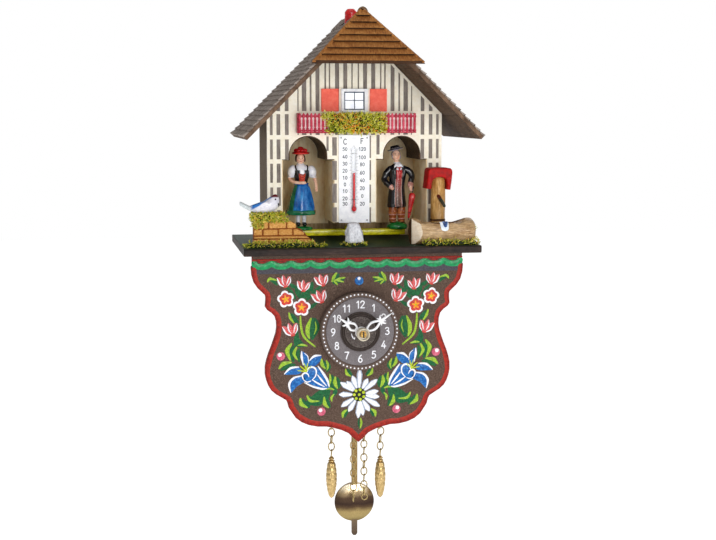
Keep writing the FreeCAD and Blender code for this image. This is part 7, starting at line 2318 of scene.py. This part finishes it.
def chain(name, body, node, x, y, first, pitch, count, wire=0.31, rx=1.6, end=None, hook_at=None, ring=8):
    g = Geo()
    z = first
    for k in range(count):
        if hook_at == k:
            oval(g, x + 0.25, y, z + 0.2, 1.75, 2.1, wire, turn=12, gap=(-60, 235))
            tube([(x + 0.9, y + 0.1, z - 1.5), (x + 0.2, y, z - 2.2), (x - 0.3, y - 0.1, z - 2.4)], wire, n=8, geo=g)
        else:
            oval(g, x, y, z, rx + 0.06 * (k % 2), pitch * 0.285, wire, turn=(14 if k % 2 else -10), twist=0.22)
        if k < count - 1 or end is None:
            oval(g, x, y, z - pitch * 0.5, 1.05, pitch * 0.285, wire, turn=(82 if k % 2 else 100), twist=-0.2)
        z -= pitch
    if end:
        ex, ez, er = end
        oval(g, x, y, z + pitch * 0.5, 1.0, pitch * 0.285, wire, turn=95)
        oval(g, ex, y, ez, er, er, wire * 1.1, turn=ring)
    g.build(name, [M_CHAIN], body=body, smooth=True, angle=60, replaces=(node,), slot="chain_brass")


chain("left_chain_links", "left_weight_hang", "left_weight_chain", -12.8, -42.9, -135.6, 7.35, 4)
chain("right_chain_links", "right_weight_hang", "right_weight_chain", 12.6, -42.9, -135.9, 7.45, 4, hook_at=2)
chain("left_free_links", "left_chain_hang", "left_free_chain", -1.8, -45.2, -135.0, 7.28, 7, end=(-1.7, -184.9, 1.55), ring=74)
chain("right_free_links", "right_chain_hang", "right_free_chain", 3.7, -45.2, -135.2, 7.1, 7, end=(4.0, -184.2, 1.5))


def cone(name, body, node, x, y, top, bottom, r):
    """Cast weight: cap rings, then rows of small upright flutes."""
    g = Geo()
    H = top - bottom
    rings, n = [], 84
    body_top, body_bot = top - 3.3, bottom
    rows = 7
    for q, rr in ((0.0, 0.2), (0.15, 0.6), (0.45, 0.8), (0.7, 0.7), (0.85, 1.25), (1.05, 1.42), (1.4, 1.42), (1.6, 1.15), (1.75, 0.8), (2.0, 0.8),
                  (2.15, 1.45), (2.35, 1.66), (2.75, 1.66), (2.95, 1.4), (3.1, 1.22), (3.25, 1.6)):
        rings.append([(x + rr * math.cos(2 * math.pi * i / n), y + rr * math.sin(2 * math.pi * i / n), top - q) for i in range(n)])
    steps = rows * 7
    for j in range(1, steps + 1):
        t = j / steps
        z = body_top + (body_bot - body_top) * t
        # slender spindle
        env = r * (math.sin(math.pi * (0.16 + 0.80 * t)) ** 0.55)
        env *= 1.0 if t < 0.93 else math.sqrt(max(0.02, 1 - ((t - 0.93) / 0.075) ** 2))
        row = min(rows - 1, int(t * rows - 1e-6))
        f = t * rows - row
        swell = 0.955 + 0.045 * math.sin(math.pi * min(1.0, f * 1.05)) ** 0.6
        ring = []
        for i in range(n):
            a = 2 * math.pi * i / n
            fl = abs(math.sin(7 * a + (row % 2) * math.pi / 2)) ** 0.7
            k = swell * (0.94 + 0.06 * fl)
            if f < 0.10 or f > 0.93:
                k = 0.915
            ring.append((x + env * k * math.cos(a), y + env * k * math.sin(a), z))
        rings.append(ring)
    rings.append([(x + 0.35 * math.cos(2 * math.pi * i / n), y + 0.35 * math.sin(2 * math.pi * i / n), bottom - 0.12) for i in range(n)])
    loft(rings, geo=g)
    g.build(name, [M_GILT], body=body, smooth=True, angle=50, replaces=(node,), slot="weight_brass")


cone("left_cone", "left_weight_hang", "left_weight", -12.8, -42.9, -162.6, -184.6, 2.85)
cone("right_cone", "right_weight_hang", "right_weight", 12.6, -42.9, -163.3, -185.5, 2.85)

# ----------------------------------------------------------------------------
# case, back, screws
# ----------------------------------------------------------------------------
soften("movement_case", 0.35, [W_CASE], segments=2)
soften("case_back", 0.3, [W_CASE], segments=2)
g = Geo()
for x in (-26.5, 26.5):
    for z in (-61.5, -125.5):
        lathe([(0, 9.4), (1.7, 9.5), (1.85, 10.0), (1.7, 10.45), (0.9, 10.75), (0.0, 10.85)], x, 0, z, axis="Y", n=24, geo=g)
g.build("case_screws", [M_BRASS], smooth=True, angle=40)
# black bars on the screw heads stand for the slots: painted shade in place of a cut
g = Geo()
for x in (-26.5, 26.5):
    for z in (-61.5, -125.5):
        a = 0.6 + x * 0.01 + z * 0.02
        ca, sa = 1.35 * math.cos(a), 1.35 * math.sin(a)
        pa_ = [(x - ca - 0.12 * sa, z - sa + 0.12 * ca), (x - ca + 0.12 * sa, z - sa - 0.12 * ca), (x + ca + 0.12 * sa, z + sa - 0.12 * ca), (x + ca - 0.12 * sa, z + sa + 0.12 * ca)]
        prism(pa_, 10.4, 10.9, geo=g)
g.build("case_screw_slots", [P_BLACK], smooth=False)
# black bar on the arbor's face stands for its slot: painted shade in place of a cut
g = Geo()
prism([(-0.32, DC - 1.55), (0.32, DC - 1.55), (0.32, DC + 1.55), (-0.32, DC + 1.55)], -66.12, -65.6, geo=g)
g.build("arbor_slot", [P_BLACK], body="winder", bevel=0.08)

# ----------------------------------------------------------------------------
# camera, light, floor
# ----------------------------------------------------------------------------
AZ, EL = math.radians(-9.5), math.radians(6.8)
back = Vector((math.sin(AZ) * math.cos(EL), -math.cos(AZ) * math.cos(EL), math.sin(EL)))
cam_d = bpy.data.cameras.new("studio_camera")
cam = bpy.data.objects.new("studio_camera", cam_d)
bpy.context.scene.collection.objects.link(cam)
cam.location = (-0.10923, -0.70167, 0.01274)
cam.rotation_euler = (-back).to_track_quat("-Z", "Y").to_euler()
cam_d.sensor_width = 36.0
cam_d.lens = 66.87
cam_d.clip_start, cam_d.clip_end = 0.01, 50.0
bpy.context.scene.camera = cam


def area(name, loc, target, size, power, color=(1, 1, 1), size_y=None):
    ld = bpy.data.lights.new(name, "AREA")
    ld.energy = power
    ld.color = color
    ld.size = size
    if size_y:
        ld.shape = "RECTANGLE"
        ld.size_y = size_y
    ob = bpy.data.objects.new(name, ld)
    bpy.context.scene.collection.objects.link(ob)
    ob.location = loc
    d = Vector(target) - Vector(loc)
    ob.rotation_euler = d.to_track_quat("-Z", "Y").to_euler()
    return ob


area("key_light", (-0.75, -1.15, 0.75), (0, 0, -0.06), 0.75, 3.4)
area("fill_light", (0.95, -1.25, 0.15), (0, 0, -0.08), 1.1, 1.6)
area("front_light", (0.22, -1.4, 0.1), (0, 0, -0.05), 0.5, 7.0)
area("top_light", (0.05, -0.25, 1.15), (0, 0, -0.05), 0.9, 2.2)
area("back_light", (0.5, 1.1, 0.7), (0, 0, -0.05), 1.0, 5.0)

world = bpy.data.worlds.new("studio")
bpy.context.scene.world = world
world.use_nodes = True
nt = world.node_tree
for n_ in list(nt.nodes):
    nt.nodes.remove(n_)
out_n = nt.nodes.new("ShaderNodeOutputWorld")
bg_see, bg_light = nt.nodes.new("ShaderNodeBackground"), nt.nodes.new("ShaderNodeBackground")
mixn, lp = nt.nodes.new("ShaderNodeMixShader"), nt.nodes.new("ShaderNodeLightPath")
bg_see.inputs["Color"].default_value = (1, 1, 1, 1)
bg_see.inputs["Strength"].default_value = 1.0
bg_light.inputs["Strength"].default_value = 0.24
bg_gloss, mixg = nt.nodes.new("ShaderNodeBackground"), nt.nodes.new("ShaderNodeMixShader")
bg_gloss.inputs["Strength"].default_value = 0.5
tcw, sepw, rampw = nt.nodes.new("ShaderNodeTexCoord"), nt.nodes.new("ShaderNodeSeparateXYZ"), nt.nodes.new("ShaderNodeValToRGB")
nt.links.new(tcw.outputs["Generated"], sepw.inputs[0])
mr = nt.nodes.new("ShaderNodeMapRange")
mr.inputs["From Min"].default_value = -1.0
mr.inputs["From Max"].default_value = 1.0
nt.links.new(sepw.outputs["Z"], mr.inputs["Value"])
nt.links.new(mr.outputs["Result"], rampw.inputs["Fac"])
els = rampw.color_ramp.elements
els[0].position, els[0].color = 0.0, (0.62, 0.58, 0.54, 1)
els[1].position, els[1].color = 1.0, (1, 1, 1, 1)
e_ = els.new(0.46)
e_.color = (0.72, 0.70, 0.67, 1)
e_ = els.new(0.53)
e_.color = (0.95, 0.95, 0.95, 1)
nt.links.new(rampw.outputs["Color"], bg_light.inputs["Color"])
nt.links.new(lp.outputs["Is Camera Ray"], mixn.inputs[0])
nt.links.new(rampw.outputs["Color"], bg_gloss.inputs["Color"])
nt.links.new(lp.outputs["Is Glossy Ray"], mixg.inputs[0])
nt.links.new(bg_light.outputs[0], mixg.inputs[1])
nt.links.new(bg_gloss.outputs[0], mixg.inputs[2])
nt.links.new(mixg.outputs[0], mixn.inputs[1])
nt.links.new(bg_see.outputs[0], mixn.inputs[2])
nt.links.new(mixn.outputs[0], out_n.inputs["Surface"])

me = bpy.data.meshes.new("studio_floor")
fv, ff = [], []
NF = 24
for j in range(NF + 1):
    for i in range(NF + 1):
        fv.append((-6 + 12 * i / NF, -6 + 12 * j / NF, -0.62))
for j in range(NF):
    for i in range(NF):
        a = j * (NF + 1) + i
        ff.append((a, a + 1, a + NF + 2, a + NF + 1))
me.from_pydata(fv, [], ff)
floor = bpy.data.objects.new("studio_floor", me)
bpy.context.scene.collection.objects.link(floor)
fm = bpy.data.materials.new("studio_white")
fm.use_nodes = True
pb = fm.node_tree.nodes["Principled BSDF"]
pb.inputs["Base Color"].default_value = (0.9, 0.9, 0.9, 1)
pb.inputs["Roughness"].default_value = 0.9
pb.inputs["Emission Color"].default_value = (1, 1, 1, 1)
pb.inputs["Emission Strength"].default_value = 0.85
me.materials.append(fm)

sc = bpy.context.scene
sc.view_settings.view_transform = "Standard"
sc.view_settings.look = "None"
sc.view_settings.exposure = 0.0
sc.view_settings.gamma = 1.0
